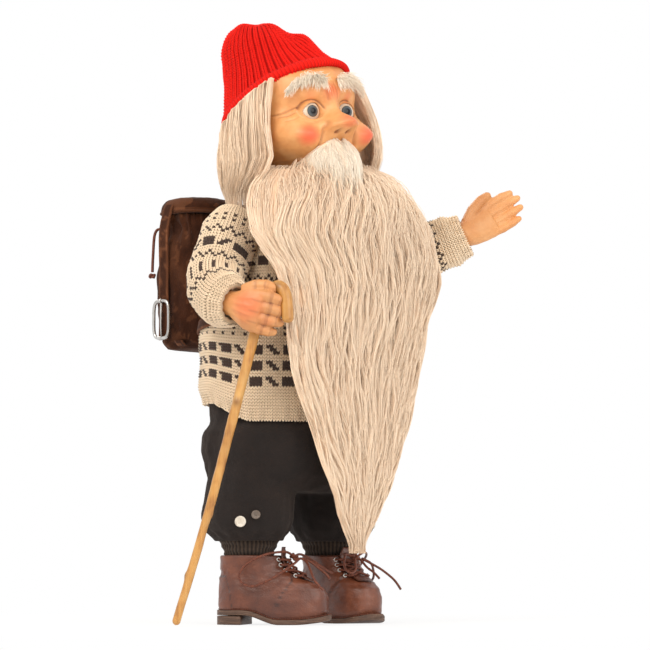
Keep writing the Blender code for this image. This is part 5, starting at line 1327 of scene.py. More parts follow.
def make_sleeve(side_name, finishes):
    """A knitted sleeve with its stitches, creased at the elbow, and a ribbed cuff."""
    columns = SLEEVE_COLUMNS
    rows_count = int(travelled(sleeve_line(side_name)[:, :3])[-1] / STITCH_HEIGHT)
    line, out = sleeve_surface(side_name, columns, rows_count)
    place = line[:, None, :3] + out * line[:, None, 3:4]
    crumple = turbulence(place * [55, 55, 75], 1.0, 11.0 + SIDES[side_name])
    share = np.linspace(0, 1, rows_count)[:, None]
    cuff = ease(share, 0.93, 0.97)
    rib = ribs(columns, 0.0004)[None] * cuff
    bulge = 0.0012 * np.exp(-((share - 0.90) / 0.03) ** 2)
    reach = line[:, None, 3] - 0.0006 + crumple * 0.0013 * (1 - cuff) + rib + bulge
    grid = line[:, None, :3] + out * reach[..., None]
    normals = unit(out)
    across, down = neighbours(grid)
    tints = sleeve_tint(*np.indices((rows_count, columns)), rows_count - 1)
    flat = [array.reshape(-1, 3) for array in (grid, across, -down, normals)]
    verts, faces, spread = stitches(*flat, np.ones(len(flat[0]), dtype=bool), tints.reshape(-1))
    body = "arm_" + side_name
    piece = make_mesh(f"sleeve_stitches_{side_name}", verts, faces, finishes["wool"], spread)
    settle(piece, body, f"sleeve_{side_name}", slot="knit")
    # The shell under the stitches is of darker wool: painted shade between the stitches.
    under = grid - normals * LINING_DEPTH
    fold = under[-1:] - normals[-1:] * CUFF_TURN
    inner = under[-4:-3] - normals[-4:-3] * CUFF_TURN
    shell = np.concatenate([under, fold, inner])
    shell_tints = np.concatenate([tints, np.zeros((2, columns))]) * 0.9
    piece = make_mesh(f"sleeve_inner_{side_name}", shell, grid_faces(len(shell), columns),
                      finishes["wool_shade"], shell_tints)
    settle(piece, body, slot="knit")


# Hands

PALM_FACES = {"right": Vector((1, 0, 0)), "left": Vector((-0.766, -0.643, 0))}
FINGERS = {"right": Vector((0.009, -0.034, -0.011)).normalized(),
           "left": Vector((0.042, -0.022, 0.028)).normalized()}
# For each digit: points along it on its back (reach, across, deep) and its radius, in millimetres
DIGITS = {
    "right": {
        "index": [(19, 12, -3, 4.4), (28, 12.5, -2.4, 4.3), (33.5, 12, 1.2, 4), (36, 11, 6.5, 3.5)],
        "middle": [(19, 4.2, -3.4, 4.5), (29, 4.4, -2.6, 4.4), (35, 4.2, 1.4, 4.1), (37, 3.5, 7, 3.5)],
        "ring": [(19, -3.8, -3.4, 4.4), (28, -4, -2.6, 4.3), (34, -4, 1.2, 3.9), (36, -4.4, 6.6, 3.4)],
        "little": [(18, -11.4, -3, 4.1), (26, -11.8, -2.2, 3.9), (31, -12, 1.4, 3.6), (33, -12, 6, 3.1)],
        "thumb": [(5, 11, 0.5, 5.2), (13, 16.6, 0.8, 4.8), (21, 19, 1.6, 4.4), (27, 18.8, 3.6, 3.7)],
    },
    "left": {
        "index": [(21, 9.2, 0, 3.9), (33, 10.2, 0.8, 3.8), (43, 10.4, 2.5, 3.5), (50, 9.6, 4.6, 2.9)],
        "middle": [(21, 3, 0, 4), (34, 3.4, 0.6, 3.9), (45, 3.5, 2.6, 3.6), (53, 3.3, 5.2, 2.9)],
        "ring": [(21, -3.4, 0, 3.9), (34, -3.8, 0.8, 3.8), (44, -4, 3, 3.4), (51, -4, 5.4, 2.8)],
        "little": [(20, -9.4, 0, 3.6), (31, -10.6, 0.8, 3.4), (39, -11, 2.6, 3.1), (45, -11, 4.6, 2.6)],
        "thumb": [(7, 7.5, 1.5, 4.8), (17, 13.2, 2.4, 4.5), (27, 16.3, 2.6, 4.1), (34, 17.2, 2, 3.4)],
    },
}


def hand_axes(side_name):
    """Directions along the fingers, towards the thumb and out of the palm."""
    along = FINGERS[side_name]
    palm = PALM_FACES[side_name]
    palm = (palm - along * palm.dot(along)).normalized()
    thumb = palm.cross(along)
    if thumb.z < 0:
        thumb = -thumb
    return along, thumb, palm


def make_hand(side_name, finishes):
    """Painted hand with knuckle creases, tendons and nails."""
    piece = copied_mesh(f"hand_{side_name}", f"painted_hand_{side_name}", finishes["skin"],
                        0.0007, 9)
    rows, normals = mesh_rows(piece)
    along, thumb, palm = (np.array(way) for way in hand_axes(side_name))
    wrist = np.array(WRIST[side_name])
    local = (rows - wrist) / MM
    reach, across = local @ along, local @ thumb
    out = normals @ -palm
    move = np.zeros(len(rows))
    tints = np.zeros(len(rows))
    for digit, points in DIGITS[side_name].items():
        path = np.array(smooth_rows(points, 8))
        places = wrist + (path[:, :1] * along + path[:, 1:2] * thumb + path[:, 2:3] * palm) * MM
        distance = np.linalg.norm(rows[:, None] - places[None], axis=2)
        nearest = distance.argmin(axis=1)
        close = distance.min(axis=1) < (path[nearest, 3] + 1.4) * MM
        share = nearest / (len(path) - 1)
        for joint in (0.36, 0.68):
            fold = (np.exp(-((share - joint) / 0.022) ** 2)
                    + 0.7 * np.exp(-((share - joint - 0.055) / 0.018) ** 2))
            swell = np.exp(-((share - joint) / 0.10) ** 2)
            move += close * (0.00045 * swell - 0.00040 * fold * np.clip(out + 0.4, 0, 1))
            # Painted shade in the knuckle creases.
            tints += close * 0.55 * fold * np.clip(out + 0.3, 0, 1)
        nail = close * ease(share, 0.84, 0.88) * ease(-share, -1.01, -0.97) * ease(out, 0.25, 0.55)
        if digit == "thumb" or side_name == "left":
            move += 0.0002 * nail
            tints -= 0.25 * nail
    for ray in (9.5, 3.2, -3.4, -9.5):
        tendon = np.exp(-((across - ray * (0.55 + reach / 45)) / 1.1) ** 2)
        tendon *= ease(reach, 2, 8) * ease(-reach, -21, -15) * np.clip(out, 0, 1)
        move += 0.0005 * tendon
    # Painted shade in the gaps between the fingers.
    between = np.minimum.reduce([np.abs(across - line) for line in (8.2, 0.2, -7.6)])
    tints += 0.35 * np.exp(-(between / 0.8) ** 2) * ease(reach, 15, 20) * np.clip(out + 0.2, 0, 1)
    skin = turbulence(rows, 420.0, 3.0, 2)
    set_rows(piece, rows + normals * (move + 0.00008 * skin)[:, None], np.clip(tints, 0, 1))
    settle(piece, "arm_" + side_name, f"hand_{side_name}", slot="skin")


# Walking stick

SHOULDER_HEIGHT = 0.287
STICK_PATH = [(-0.134, -0.008, 0.0010), (-0.1140, -0.0215, SHOULDER_HEIGHT * 0.2857)] + [
    (x, y, SHOULDER_HEIGHT - drop) for x, y, drop in (
        (-0.1012, -0.0320, 0.1415), (-0.0860, -0.0450, 0.0630), (-0.0846, -0.0499, 0.0518),
        (-0.0846, -0.0557, 0.0458), (-0.0850, -0.0630, 0.0448), (-0.0850, -0.0680, 0.0495),
        (-0.0850, -0.0700, 0.0590), (-0.0850, -0.0712, 0.0710))]
STICK_RADII = [0.0029, 0.00325, 0.00368, 0.0040, 0.00442, 0.0047, 0.0047, 0.0047, 0.00456, 0.00432]
STICK_ROWS, STICK_COLUMNS = 420, 28
# Length over which the ends are rounded
STICK_CAP = 0.0032
# Distance from the foot, place round the shaft and size of each knot of the wood
STICK_KNOTS = ((0.036, 0.9, 1.0), (0.083, 3.6, 0.8), (0.122, 5.2, 1.0), (0.165, 2.2, 0.9),
               (0.262, 1.2, 0.8))


def make_stick(finishes):
    """Peeled root, slightly knotted along its shaft and rounded at both ends."""
    rows = [(*point, radius) for point, radius in zip(STICK_PATH, STICK_RADII)]
    even, at = evenly_spaced(np.array(smooth_rows(rows, 40)), STICK_ROWS)
    turns = circle(STICK_COLUMNS)
    out = spokes(even[:, :3], STICK_COLUMNS)
    surface = even[:, None, :3] + out * even[:, None, 3:4]
    lumps = turbulence(surface * [70, 70, 26], 1.0, 4.0)
    grain = turbulence(surface * [500, 500, 60], 1.0, 6.0, 2)
    reach = even[:, None, 3] * (0.97 + 0.10 * lumps + 0.02 * grain)
    # The tint darkens the dips between the lumps; the knots are added below.
    tints = np.clip(-lumps * 0.35, 0, 1) * np.ones_like(reach)
    for spot, turn, size in STICK_KNOTS:
        near = np.exp(-((at[:, None] - spot) / 0.0030) ** 2
                      - ((np.sin((turns[None] - turn) / 2)) / 0.34) ** 2)
        reach = reach + near * 0.0010 * size
        tints = tints + near * 0.75
    end = np.minimum(at, at[-1] - at)
    cap = np.sqrt(np.clip(1 - (1 - np.clip(end / STICK_CAP, 0, 1)) ** 2, 0.002, 1))
    reach = reach * cap[:, None]
    grid = even[:, None, :3] + out * reach[..., None]
    piece = make_mesh("root_stick", grid, grid_faces(len(grid), STICK_COLUMNS), finishes["root"],
                      np.clip(tints, 0, 1))
    settle(piece, "stick", "walking_stick", slot="root")


# Head. Heights are above the chin, in the face's own frame: ahead of the neck, turned and leant.

CHIN_HEIGHT, HEAD_HEIGHT = 0.340, 0.101
HEAD_SETBACK, HEAD_TURNED, HEAD_LEAN = -0.010, math.radians(-15), math.radians(-4)
HEAD_HALF_WIDTH, HEAD_FRONT, HEAD_BACK = 0.042, 0.045, 0.042
EYE_SPREAD, EYE_DEPTH, EYE_HEIGHT, EYE_RADIUS = 0.0156, -0.0364, 0.039, 0.0084
EYE_HALF_OPENING, LID_THICKNESS = 0.0076, 0.0010
HEAD_SLICES = [
    (0.00, 0.62, 0.74, 0.84), (0.05, 0.78, 0.86, 0.90), (0.12, 0.92, 0.94, 0.94),
    (0.22, 1.00, 0.98, 0.97), (0.35, 1.01, 0.99, 1.00), (0.50, 1.00, 1.00, 1.00),
    (0.645, 0.965, 0.93, 0.99), (0.77, 0.84, 0.74, 0.95), (0.87, 0.66, 0.50, 0.80),
    (0.95, 0.40, 0.26, 0.55), (1.00, 0.10, 0.08, 0.10),
]
# Centre across and up, spread across and up, and height of each swelling of the face
FACE_FORMS = [
    (0.0, 0.0285, 0.0064, 0.0058, 0.0205), (0.0, 0.0302, 0.0048, 0.0040, 0.0045),
    (0.0, 0.0410, 0.0046, 0.0080, 0.0062), (0.0, 0.0030, 0.0095, 0.0080, 0.0050),
    (0.0, 0.0120, 0.0100, 0.0060, 0.0045), (0.0, 0.0088, 0.0064, 0.0014, 0.0034),
    (0.0, 0.0032, 0.0060, 0.0022, 0.0050), (0.0, 0.0062, 0.0075, 0.0007, -0.0034),
]
for way in (-1, 1):
    FACE_FORMS += [
        (way * 0.0245, 0.0205, 0.0094, 0.0086, 0.0180), (way * 0.0180, 0.0560, 0.0110, 0.0062, 0.0048),
        (way * 0.0084, 0.0266, 0.0032, 0.0034, 0.0080), (way * 0.0156, 0.0395, 0.0088, 0.0080, -0.0040),
        (way * 0.0160, 0.0300, 0.0075, 0.0020, 0.0014), (way * 0.0330, 0.0300, 0.0070, 0.0060, 0.0014),
    ]
# Wrinkles as lines of places on the face, then width, depth and how dark they are
WRINKLES = []
for way in (-1, 1):
    WRINKLES += [
        ([(way * 0.0250, 0.0425), (way * 0.0290, 0.0408), (way * 0.0335, 0.0382),
          (way * 0.0375, 0.0376)], 0.0006, 0.0007, 0.42),
        ([(way * 0.0262, 0.0385), (way * 0.0305, 0.0362), (way * 0.0350, 0.0356)], 0.0006, 0.0006, 0.28),
        ([(way * 0.0245, 0.0352), (way * 0.0280, 0.0330), (way * 0.0320, 0.0322)], 0.0006, 0.0005, 0.20),
        ([(way * 0.0118, 0.0318), (way * 0.0170, 0.0292), (way * 0.0225, 0.0305)], 0.0008, 0.0006, 0.16),
        ([(way * 0.0100, 0.0300), (way * 0.0128, 0.0240), (way * 0.0132, 0.0170),
          (way * 0.0150, 0.0090)], 0.0010, 0.0018, 0.34),
        ([(way * 0.0036, 0.0470), (way * 0.0046, 0.0530), (way * 0.0036, 0.0600)], 0.0010, 0.0011, 0.22),
        ([(way * 0.0014, 0.0500), (way * 0.0012, 0.0560), (way * 0.0018, 0.0610)], 0.0007, 0.0006, 0.14),
    ]


def pose(place, turns):
    """A frame as an array, from its origin and its turns about X, Y and Z."""
    return np.array(Matrix.Translation(place) @ Euler(turns).to_matrix().to_4x4())


def placed(own, rows):
    return np.asarray(rows) @ own[:3, :3].T + own[:3, 3]


HEAD_FRAME = pose((0.0, HEAD_SETBACK, CHIN_HEIGHT), (0.0, HEAD_LEAN, HEAD_TURNED))

# Hat, in its own frame: the origin is in the middle of its edge, +Z its axis. The crown is taller
# behind, and its middle moves forward a little towards the top.
HAT_TILT, HAT_LEAN = math.radians(24), math.radians(-8)
HAT_SETBACK, HAT_BRIM_HEIGHT = 0.0125, 0.0525
HAT_HEIGHT, HAT_HALF_WIDTH, HAT_HALF_DEPTH = 0.069, 0.0480, 0.0550
CROWN_SLANT, CROWN_SHIFT = 0.36, -0.008
HAT_PROFILE = [(0.00, 1.0), (0.09, 0.975), (0.22, 0.89), (0.40, 0.78), (0.58, 0.70),
               (0.74, 0.63), (0.86, 0.54), (0.95, 0.40), (1.00, 0.12)]
HAT_ON_HEAD = pose((0.0, HAT_SETBACK, HAT_BRIM_HEIGHT), (-HAT_TILT, HAT_LEAN, 0.0))
HEAD_TO_HAT = np.linalg.inv(HAT_ON_HEAD)


def in_head(rows):
    """Rows of the face's own frame, measured from the doll's axis."""
    return placed(HEAD_FRAME, rows)


def in_hat(rows):
    """Rows of the hat's own frame, measured from the doll's axis."""
    return in_head(placed(HAT_ON_HEAD, rows))


def inside_crown(rows):
    """Rows of the face's frame, drawn in where they would come through the hat."""
    own = placed(HEAD_TO_HAT, rows)
    tall = HAT_HEIGHT * (1 + CROWN_SLANT * np.clip(own[..., 1] / HAT_HALF_DEPTH, -1, 1))
    own[..., 2] = np.minimum(own[..., 2], 0.88 * tall)
    share = np.clip(own[..., 2] / tall, 0, 1)
    room = np.interp(share, *zip(*HAT_PROFILE)) - 0.14
    reach = np.hypot(own[..., 0] / HAT_HALF_WIDTH, own[..., 1] / HAT_HALF_DEPTH)
    drawn = np.minimum(1.0, room / np.maximum(reach, 1e-6))
    drawn = 1 + (drawn - 1) * ease(own[..., 2], 0.0, 0.004)
    own[..., :2] *= drawn[..., None]
    return placed(HAT_ON_HEAD, own)


def line_distance(x, z, points):
    """Distance on the face from each place to a broken line."""
    best = np.full(np.shape(x), 1.0)
    for (ax, az), (bx, bz) in zip(points, points[1:]):
        length = (bx - ax) ** 2 + (bz - az) ** 2
        t = np.clip(((x - ax) * (bx - ax) + (z - az) * (bz - az)) / length, 0, 1)
        best = np.minimum(best, np.hypot(x - ax - t * (bx - ax), z - az - t * (bz - az)))
    return best


def head_points(z, angle, outward=0.0):
    """Points on the head at heights above the chin, and their wrinkle shade."""
    z, angle = np.broadcast_arrays(np.asarray(z, dtype=float), np.asarray(angle, dtype=float))
    levels, index = np.unique(z, return_inverse=True)
    table = read_columns(HEAD_SLICES, np.clip(levels / HEAD_HEIGHT, 0, 1))
    width, front, back = (column[index].reshape(z.shape) for column in table)
    cosine, sine = np.cos(angle), np.sin(angle)
    x = width * HEAD_HALF_WIDTH * cosine
    y = np.where(sine > 0, back * HEAD_BACK, front * HEAD_FRONT) * sine
    swell = np.zeros_like(x)
    for across, high, wide, tall, height in FACE_FORMS:
        swell += height * np.exp(-((x - across) / wide) ** 2 / 2 - ((z - high) / tall) ** 2 / 2)
    shade = np.zeros_like(x)
    for points, wide, depth, dark in WRINKLES:
        fold = np.exp(-(line_distance(x, z, points) / wide) ** 2)
        swell -= depth * fold
        shade += dark * fold
    for way in (-1, 1):
        nostril = np.exp(-((x - way * 0.0040) / 0.0017) ** 2 - ((z - 0.0226) / 0.0013) ** 2)
        swell -= 0.0045 * nostril
        shade += 0.9 * nostril
    mouth = np.exp(-(x / 0.0080) ** 2 - ((z - 0.0061) / 0.0006) ** 2)
    shade += 0.9 * mouth
    in_front = sine < 0
    swell, shade = swell * in_front, shade * in_front
    plain = unit(np.stack([x, y, np.zeros_like(x)], axis=-1) + 1e-9)
    facing = np.where(in_front[..., None], unit(plain + [0.0, -1.0, 0.0]), plain)
    points = (np.stack([x, y, z], axis=-1) + facing * swell[..., None]
              + plain * np.asarray(outward)[..., None])
    return points, shade


def on_face(x, z, outward=0.0):
    """Points on the face from places across and heights above the chin."""
    x, z = np.asarray(x, dtype=float), np.asarray(z, dtype=float)
    width = np.array([read_table(HEAD_SLICES, value / HEAD_HEIGHT)[0] for value in z.ravel()])
    angle = -np.arccos(np.clip(x / (width.reshape(z.shape) * HEAD_HALF_WIDTH), -1, 1))
    return head_points(z, angle, outward)[0]


def lid_lines(share):
    """Half heights of the eye's opening above and below its middle, at a share of its width."""
    bow = np.clip(1 - np.abs(share) ** 2.2, 0, 1)
    return 0.0062 * bow ** 0.62 * (1 - 0.10 * share), 0.0056 * bow ** 0.55


def shape_lids(x, y, z, way, in_front):
    """The face's depth round one eye, with its lids and its opening, and their shade."""
    dx, dz = x - way * EYE_SPREAD, z - EYE_HEIGHT
    flat = np.hypot(dx, dz)
    lid_radius = EYE_RADIUS + LID_THICKNESS
    lid_y = EYE_DEPTH - np.sqrt(np.clip(lid_radius ** 2 - flat ** 2, 0, None))
    share = dx * way / EYE_HALF_OPENING
    upper, lower = lid_lines(share)
    gap = np.where(dz > 0, dz / np.maximum(upper, 1e-5), -dz / np.maximum(lower, 1e-5))
    gap = np.where(np.abs(share) >= 1, 9.0, gap)
    cover = ease(-flat, -(lid_radius + 0.0004), -(lid_radius - 0.0020)) * in_front
    pushed = np.minimum(y, y + (lid_y - y) * cover)
    rim = np.exp(-((gap - 1.13) / 0.08) ** 2) * (np.abs(share) < 1.04)
    pushed = pushed - 0.0006 * rim * cover
    opening = ease(-gap, -1.05, -0.98) * (flat < EYE_RADIUS) * in_front
    sunk = EYE_DEPTH - np.sqrt(np.clip((EYE_RADIUS - 0.0016) ** 2 - flat ** 2, 0, None))
    y = np.where(opening > 0, pushed + (np.maximum(sunk, pushed) - pushed) * opening, pushed)
    lash = np.exp(-((gap - 1.03) / 0.05) ** 2) * (np.abs(share) < 1.02) * in_front
    fold = np.exp(-((np.hypot(dx, dz * 1.02) - lid_radius * 0.97) / 0.00055) ** 2)
    fold = fold * ease(dz, 0.0005, 0.003) * in_front
    return y + 0.0009 * fold, lash * np.where(dz > 0, 0.75, 0.35) + 0.80 * fold


def make_head(finishes):
    """Head with lids round the eyes, a broad nose, lips and wrinkles."""
    columns, levels = 320, 260
    turn = circle(columns)
    angle = -math.pi / 2 + turn - 0.62 * np.sin(turn)
    z = np.linspace(0.0, HEAD_HEIGHT, levels)
    points, shade = head_points(z[:, None], angle[None, :])
    x, y = points[..., 0], points[..., 1]
    in_front = y < 0
    for way in (-1, 1):
        y, painted = shape_lids(x, y, z[:, None], way, in_front)
        shade = shade + painted
    lips = (np.exp(-(x / 0.0078) ** 4 - ((z[:, None] - 0.0060) / 0.0046) ** 4)
            * (np.sin(angle) < 0)[None, :])
    grid = np.stack([x, y, np.broadcast_to(z[:, None], x.shape)], axis=-1)
    normals = grid_normals(grid)
    soft = turbulence(grid[::2, ::2], 130.0, 2.0)
    soft = np.repeat(np.repeat(soft, 2, axis=0), 2, axis=1)
    grid = grid + normals * (soft * 0.00025)[..., None]
    top = np.array([[0.0, 0.0, HEAD_HEIGHT + 0.0004]])
    foot = np.array([[0.0, 0.0, 0.0]])
    verts = inside_crown(np.concatenate([grid.reshape(-1, 3), top, foot]))
    middle_vertex = levels * columns
    tints = np.concatenate([np.clip(shade, 0, 1).ravel(), [0, 0]])
    piece = make_mesh("painted_head", in_head(verts),
                      capped_faces(levels, columns, middle_vertex + 1, middle_vertex),
                      finishes["skin"], tints)
    set_tints(piece, np.concatenate([lips.ravel(), [0, 0]]), "lips")
    settle(piece, "head", "head", slot="skin")


GAZE = np.array([-0.10, -1.0, 0.02])
EYE_ROWS, EYE_COLUMNS = 120, 96


def make_eyes(finishes):
    """Glass eyes: the tint is the share of the half turn from the middle of the gaze."""
    gaze = unit(GAZE)
    across = unit(np.cross(gaze, [0.0, 0.0, 1.0]))
    up = np.cross(across, gaze)
    turns = circle(EYE_COLUMNS)[:, None]
    share = np.concatenate([[0.002], np.linspace(0, 1, EYE_ROWS)[1:-1], [0.998]])
    fall = share * math.pi
    cornea = 1 + 0.045 * np.exp(-(fall / 0.42) ** 4)
    reach = EYE_RADIUS * cornea
    rows = (gaze * (np.cos(fall) * reach)[:, None, None]
            + (across * np.cos(turns) + up * np.sin(turns))[None]
            * (np.sin(fall) * reach)[:, None, None])
    tints = np.broadcast_to(share[:, None], rows.shape[:2])
    for side_name, side in SIDES.items():
        verts = rows + np.array([side * EYE_SPREAD, EYE_DEPTH, EYE_HEIGHT])
        piece = make_mesh(f"glass_eye_{side_name}", in_head(verts),
                          grid_faces(EYE_ROWS, EYE_COLUMNS), finishes["eye"], tints)
        settle(piece, "head", f"eye_{side_name}", slot="eye")


# Hair. Every strand is a thin tube with its own tint; the strands lie in locks.

def hair_piece(name, paths, radii, tints, finish, sides=3):
    """Strands from paths (strands, points, 3); radii and tints are one a strand."""
    points = paths.shape[1]
    taper = np.interp(np.linspace(0, 1, points), [0, 0.08, 0.75, 1.0], [0.6, 1.0, 0.85, 0.10])
    verts, faces = tube_data(paths, np.asarray(radii)[:, None] * taper[None], sides)
    along = np.linspace(0.0, 1.0, points)
    spread = np.asarray(tints)[:, None] + 0.10 * np.sin(along * 3.0)[None]
    spread = np.repeat(np.clip(spread, 0, 1)[:, :, None], sides, axis=2)
    return make_mesh(name, verts, faces, finish, spread)


# Beard. Rows give height above the chin, left and right edge, the inner face's depth at the middle,
# the left and the right edge, and the thickness, in the neck's frame.
BEARD_SLICES = np.array([
    (-0.001, -0.047, 0.048, -0.045, -0.028, -0.046, 0.022),
    (-0.006, -0.056, 0.058, -0.043, -0.022, -0.046, 0.032),
    (-0.018, -0.064, 0.070, -0.042, -0.016, -0.046, 0.038),
    (-0.030, -0.073, 0.082, -0.045, -0.024, -0.050, 0.037),
    (-0.042, -0.081, 0.091, -0.049, -0.030, -0.054, 0.033),
    (-0.055, -0.086, 0.097, -0.052, -0.034, -0.056, 0.029),
    (-0.067, -0.082, 0.100, -0.056, -0.040, -0.059, 0.025),
    (-0.082, -0.074, 0.098, -0.059, -0.048, -0.061, 0.022),
    (-0.097, -0.068, 0.093, -0.0615, -0.052, -0.060, 0.020),
    (-0.115, -0.070, 0.088, -0.063, -0.056, -0.058, 0.018),
    (-0.135, -0.072, 0.084, -0.0635, -0.058, -0.058, 0.016),
    (-0.155, -0.068, 0.078, -0.0635, -0.059, -0.058, 0.015),
    (-0.172, -0.062, 0.070, -0.0635, -0.060, -0.060, 0.014),
    (-0.192, -0.054, 0.060, -0.0640, -0.062, -0.062, 0.013),
    (-0.210, -0.046, 0.050, -0.0650, -0.064, -0.063, 0.012),
    (-0.228, -0.038, 0.040, -0.0655, -0.065, -0.064, 0.011),
    (-0.245, -0.031, 0.030, -0.0660, -0.066, -0.065, 0.009),
    (-0.260, -0.026, 0.020, -0.0665, -0.066, -0.066, 0.007),
    (-0.272, -0.018, 0.010, -0.0670, -0.067, -0.067, 0.005),
    (-0.281, -0.010, 0.002, -0.0675, -0.067, -0.067, 0.003),
])[::-1]
# Deeper layers are given darker tones: painted shade inside the hair.
# Name, strands, least and most depth in the beard, radius and tone of each layer of strands
BEARD_LAYERS = [
    ("beard_under", 1900, 0.55, 0.86, 0.00036, 0.36), ("beard_locks", 2500, 0.74, 1.02, 0.00028, 0.60),
    ("beard_waves", 2500, 0.84, 1.08, 0.00023, 0.72), ("beard_wisps", 2200, 0.92, 1.16, 0.00015, 0.88),
]


def beard_points(z, share, depth):
    """Points in the beard: share runs from edge to edge, depth from its inner to its outer face."""
    columns = [np.interp(z, BEARD_SLICES[:, 0], BEARD_SLICES[:, index]) for index in range(1, 7)]
    left, right, middle_in, left_in, right_in, thickness = columns
    x = (left + right) / 2 + (right - left) / 2 * share
    edge_in = np.where(share < 0, left_in, right_in)
    inside = np.clip(np.abs(share), 0, 1)
    inner = middle_in + (edge_in - middle_in) * inside ** 2.2
    thick = 0.0022 + (thickness - 0.0022) * np.clip(1 - share ** 2, 0, 1) ** 0.6
    return np.stack([x, inner - thick * depth, z + CHIN_HEIGHT], axis=-1)


def make_beard(finishes, random):
    """The beard: a furrowed inner mass and layers of wavy strands drawn into locks."""
    levels, columns = 150, 64
    z = np.linspace(-0.006, -0.268, levels)
    share = np.cos(np.linspace(0, math.pi, columns)) * -0.93
    zz, ss = np.meshgrid(z, share, indexing="ij")
    furrow = turbulence(np.stack([ss * 9 + np.sin(zz * 70) * 0.3, zz * 0, zz * 9], axis=-1), 1.0, 3.0)
    sink = 0.30 * ease(zz, -0.022, -0.006)
    outer = beard_points(zz, ss, 0.64 + 0.12 * furrow - sink)
    inner = beard_points(zz, ss, 0.06)[:, ::-1]
    rows = np.concatenate([outer, inner], axis=1)
    # Furrows and the inner face are tinted darker: painted shade in the hair's hollows.
    tints = np.concatenate([0.34 + 0.25 * furrow, np.full_like(inner[..., 0], 0.2)], axis=1)
    faces = grid_faces(levels, rows.shape[1])[:, ::-1]
    piece = make_mesh("beard_mass", rows, faces, finishes["fur"], np.clip(tints, 0, 1))
    blend_beard(piece)
    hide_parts("beard")
    locks = 120
    lock_rows = np.stack([random.uniform(-1.03, 1.03, locks), random.uniform(0, 2 * math.pi, locks),
                          random.uniform(60.0, 120.0, locks), random.uniform(-0.5, 0.5, locks),
                          random.uniform(-0.10, 0.10, locks)], axis=-1)
    for name, count, shallow, deep, radius, tone in BEARD_LAYERS:
        beard_layer(name, count, (shallow, deep), radius, tone, lock_rows, finishes, random)


def beard_layer(name, count, depths, radius, tone, lock_rows, finishes, random):
    """One layer of strands; each is drawn towards the middle of the lock nearest to its root."""
    steps = 26
    middle_share, phase, pitch, shade, lift = lock_rows.T
    own = random.uniform(-1.02, 1.02, count)
    lock = np.abs(own[:, None] - middle_share[None]).argmin(axis=1)
    start = 0.003 - 0.225 * random.uniform(0, 1, count) ** 1.5
    start = np.where(np.abs(own) > 0.8, start - 0.006, start)
    end = np.maximum(start - random.uniform(0.06, 0.16, count), -0.288)
    t = np.linspace(0, 1, steps)[None]
    z = start[:, None] + (end - start)[:, None] * t
    gather = random.uniform(0.25, 0.75, count)[:, None] * ease(t, 0.1, 1.0)
    share = own[:, None] * (1 - gather) + middle_share[lock][:, None] * gather
    wave = np.sin(z * pitch[lock][:, None] + phase[lock][:, None])
    turned = np.cos(z * pitch[lock][:, None] * 0.8 + phase[lock][:, None] * 1.7)
    frizz = np.sin(z * random.uniform(120, 260, count)[:, None] + random.uniform(0, 7, count)[:, None])
    depth = random.uniform(*depths, count) + lift[lock]
    rooted = start > -0.012
    first = np.where(rooted, random.uniform(0.05, 0.75, count), 0.85)
    depth = depth[:, None] * (first[:, None] + (1 - first[:, None]) * ease(t, 0.0, 0.16)) + 0.05 * wave
    paths = beard_points(z, share, depth)
    swing = ease(t, 0.0, 0.25)
    paths[..., 0] += swing * (0.0024 * wave + 0.0007 * frizz)
    paths[..., 1] += swing * (0.0014 * turned + 0.0005 * frizz)
    tones = tone + 0.30 * shade[lock] + random.uniform(-0.16, 0.16, count)
    piece = hair_piece(name, paths, random.uniform(0.8, 1.25, count) * radius, tones, finishes["fur"])
    blend_beard(piece)


def blend_beard(piece):
    """Bakes the beard piece's placement into its mesh."""
    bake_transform(piece)


# Half of the moustache's line on the face: place across and up, and radius
MOUSTACHE = [(0.0210, -0.0050, 0.0038), (0.0195, 0.0020, 0.0056), (0.0155, 0.0090, 0.0061),
             (0.0085, 0.0140, 0.0054), (0.0, 0.0158, 0.0044)]
# The lower layer is given a darker tone: painted shade inside the hair.
# Name, strands, lift off the face, radius and tone of each layer of strands
MOUSTACHE_LAYERS = [("moustache_under", 800, 0.0, 0.00028, 0.62),
                    ("moustache_locks", 1000, 0.0014, 0.00020, 0.98)]
MOUSTACHE_LOCKS = 9
# How far the beard lies ahead of the face, and how far below the chin the hair reaches it
BEARD_LEAD, BEARD_SHOULDER = 0.023, 0.007


def moustache_line():
    """Centre line and radii of the moustache, from the doll's right end to its left."""
    half = smooth_rows(MOUSTACHE, 8)
    rows = np.array([(-x, z, radius) for x, z, radius in half] + half[-2::-1])
    return on_face(rows[:, 0], rows[:, 1], rows[:, 2] * 0.25), rows[:, 0], rows[:, 2]


def falling_hair(x, z, outward):
    """Points that leave the lip at once and fall in a curtain out over the beard."""
    root = on_face(x[:, :1], z[:, :1], outward[:, :1])
    beard = on_face(x, np.zeros_like(z), outward)
    fallen = np.clip((z[:, :1] - z) / (z[:, :1] + BEARD_SHOULDER), 0, 1)
    share = np.sin(fallen * math.pi / 2)
    y = root[..., 1] + (beard[..., 1] - BEARD_LEAD - root[..., 1]) * share
    return np.stack([x, y, z], axis=-1)


def make_moustache(finishes, random):
    """Two sheaves that part under the nose and fall past the mouth into the beard."""
    line, across, radii = moustache_line()
    slim = radii * np.interp(np.abs(across), [0.0, 0.006, 0.014, 0.022], [0.10, 0.18, 0.28, 0.2])
    core = tube_data(line[None], slim[None], 16, guide=np.array([[[0.0, 0.0, 1.0]]]))
    piece = make_mesh("moustache_core", in_head(core[0]), core[1], finishes["fur"],
                      np.full(len(core[0]), 0.5))
    settle(piece, "head", "moustache", slot="fur")
    for name, count, lift, radius, tone in MOUSTACHE_LAYERS:
        moustache_layer(name, count, lift, radius, tone, finishes, random)


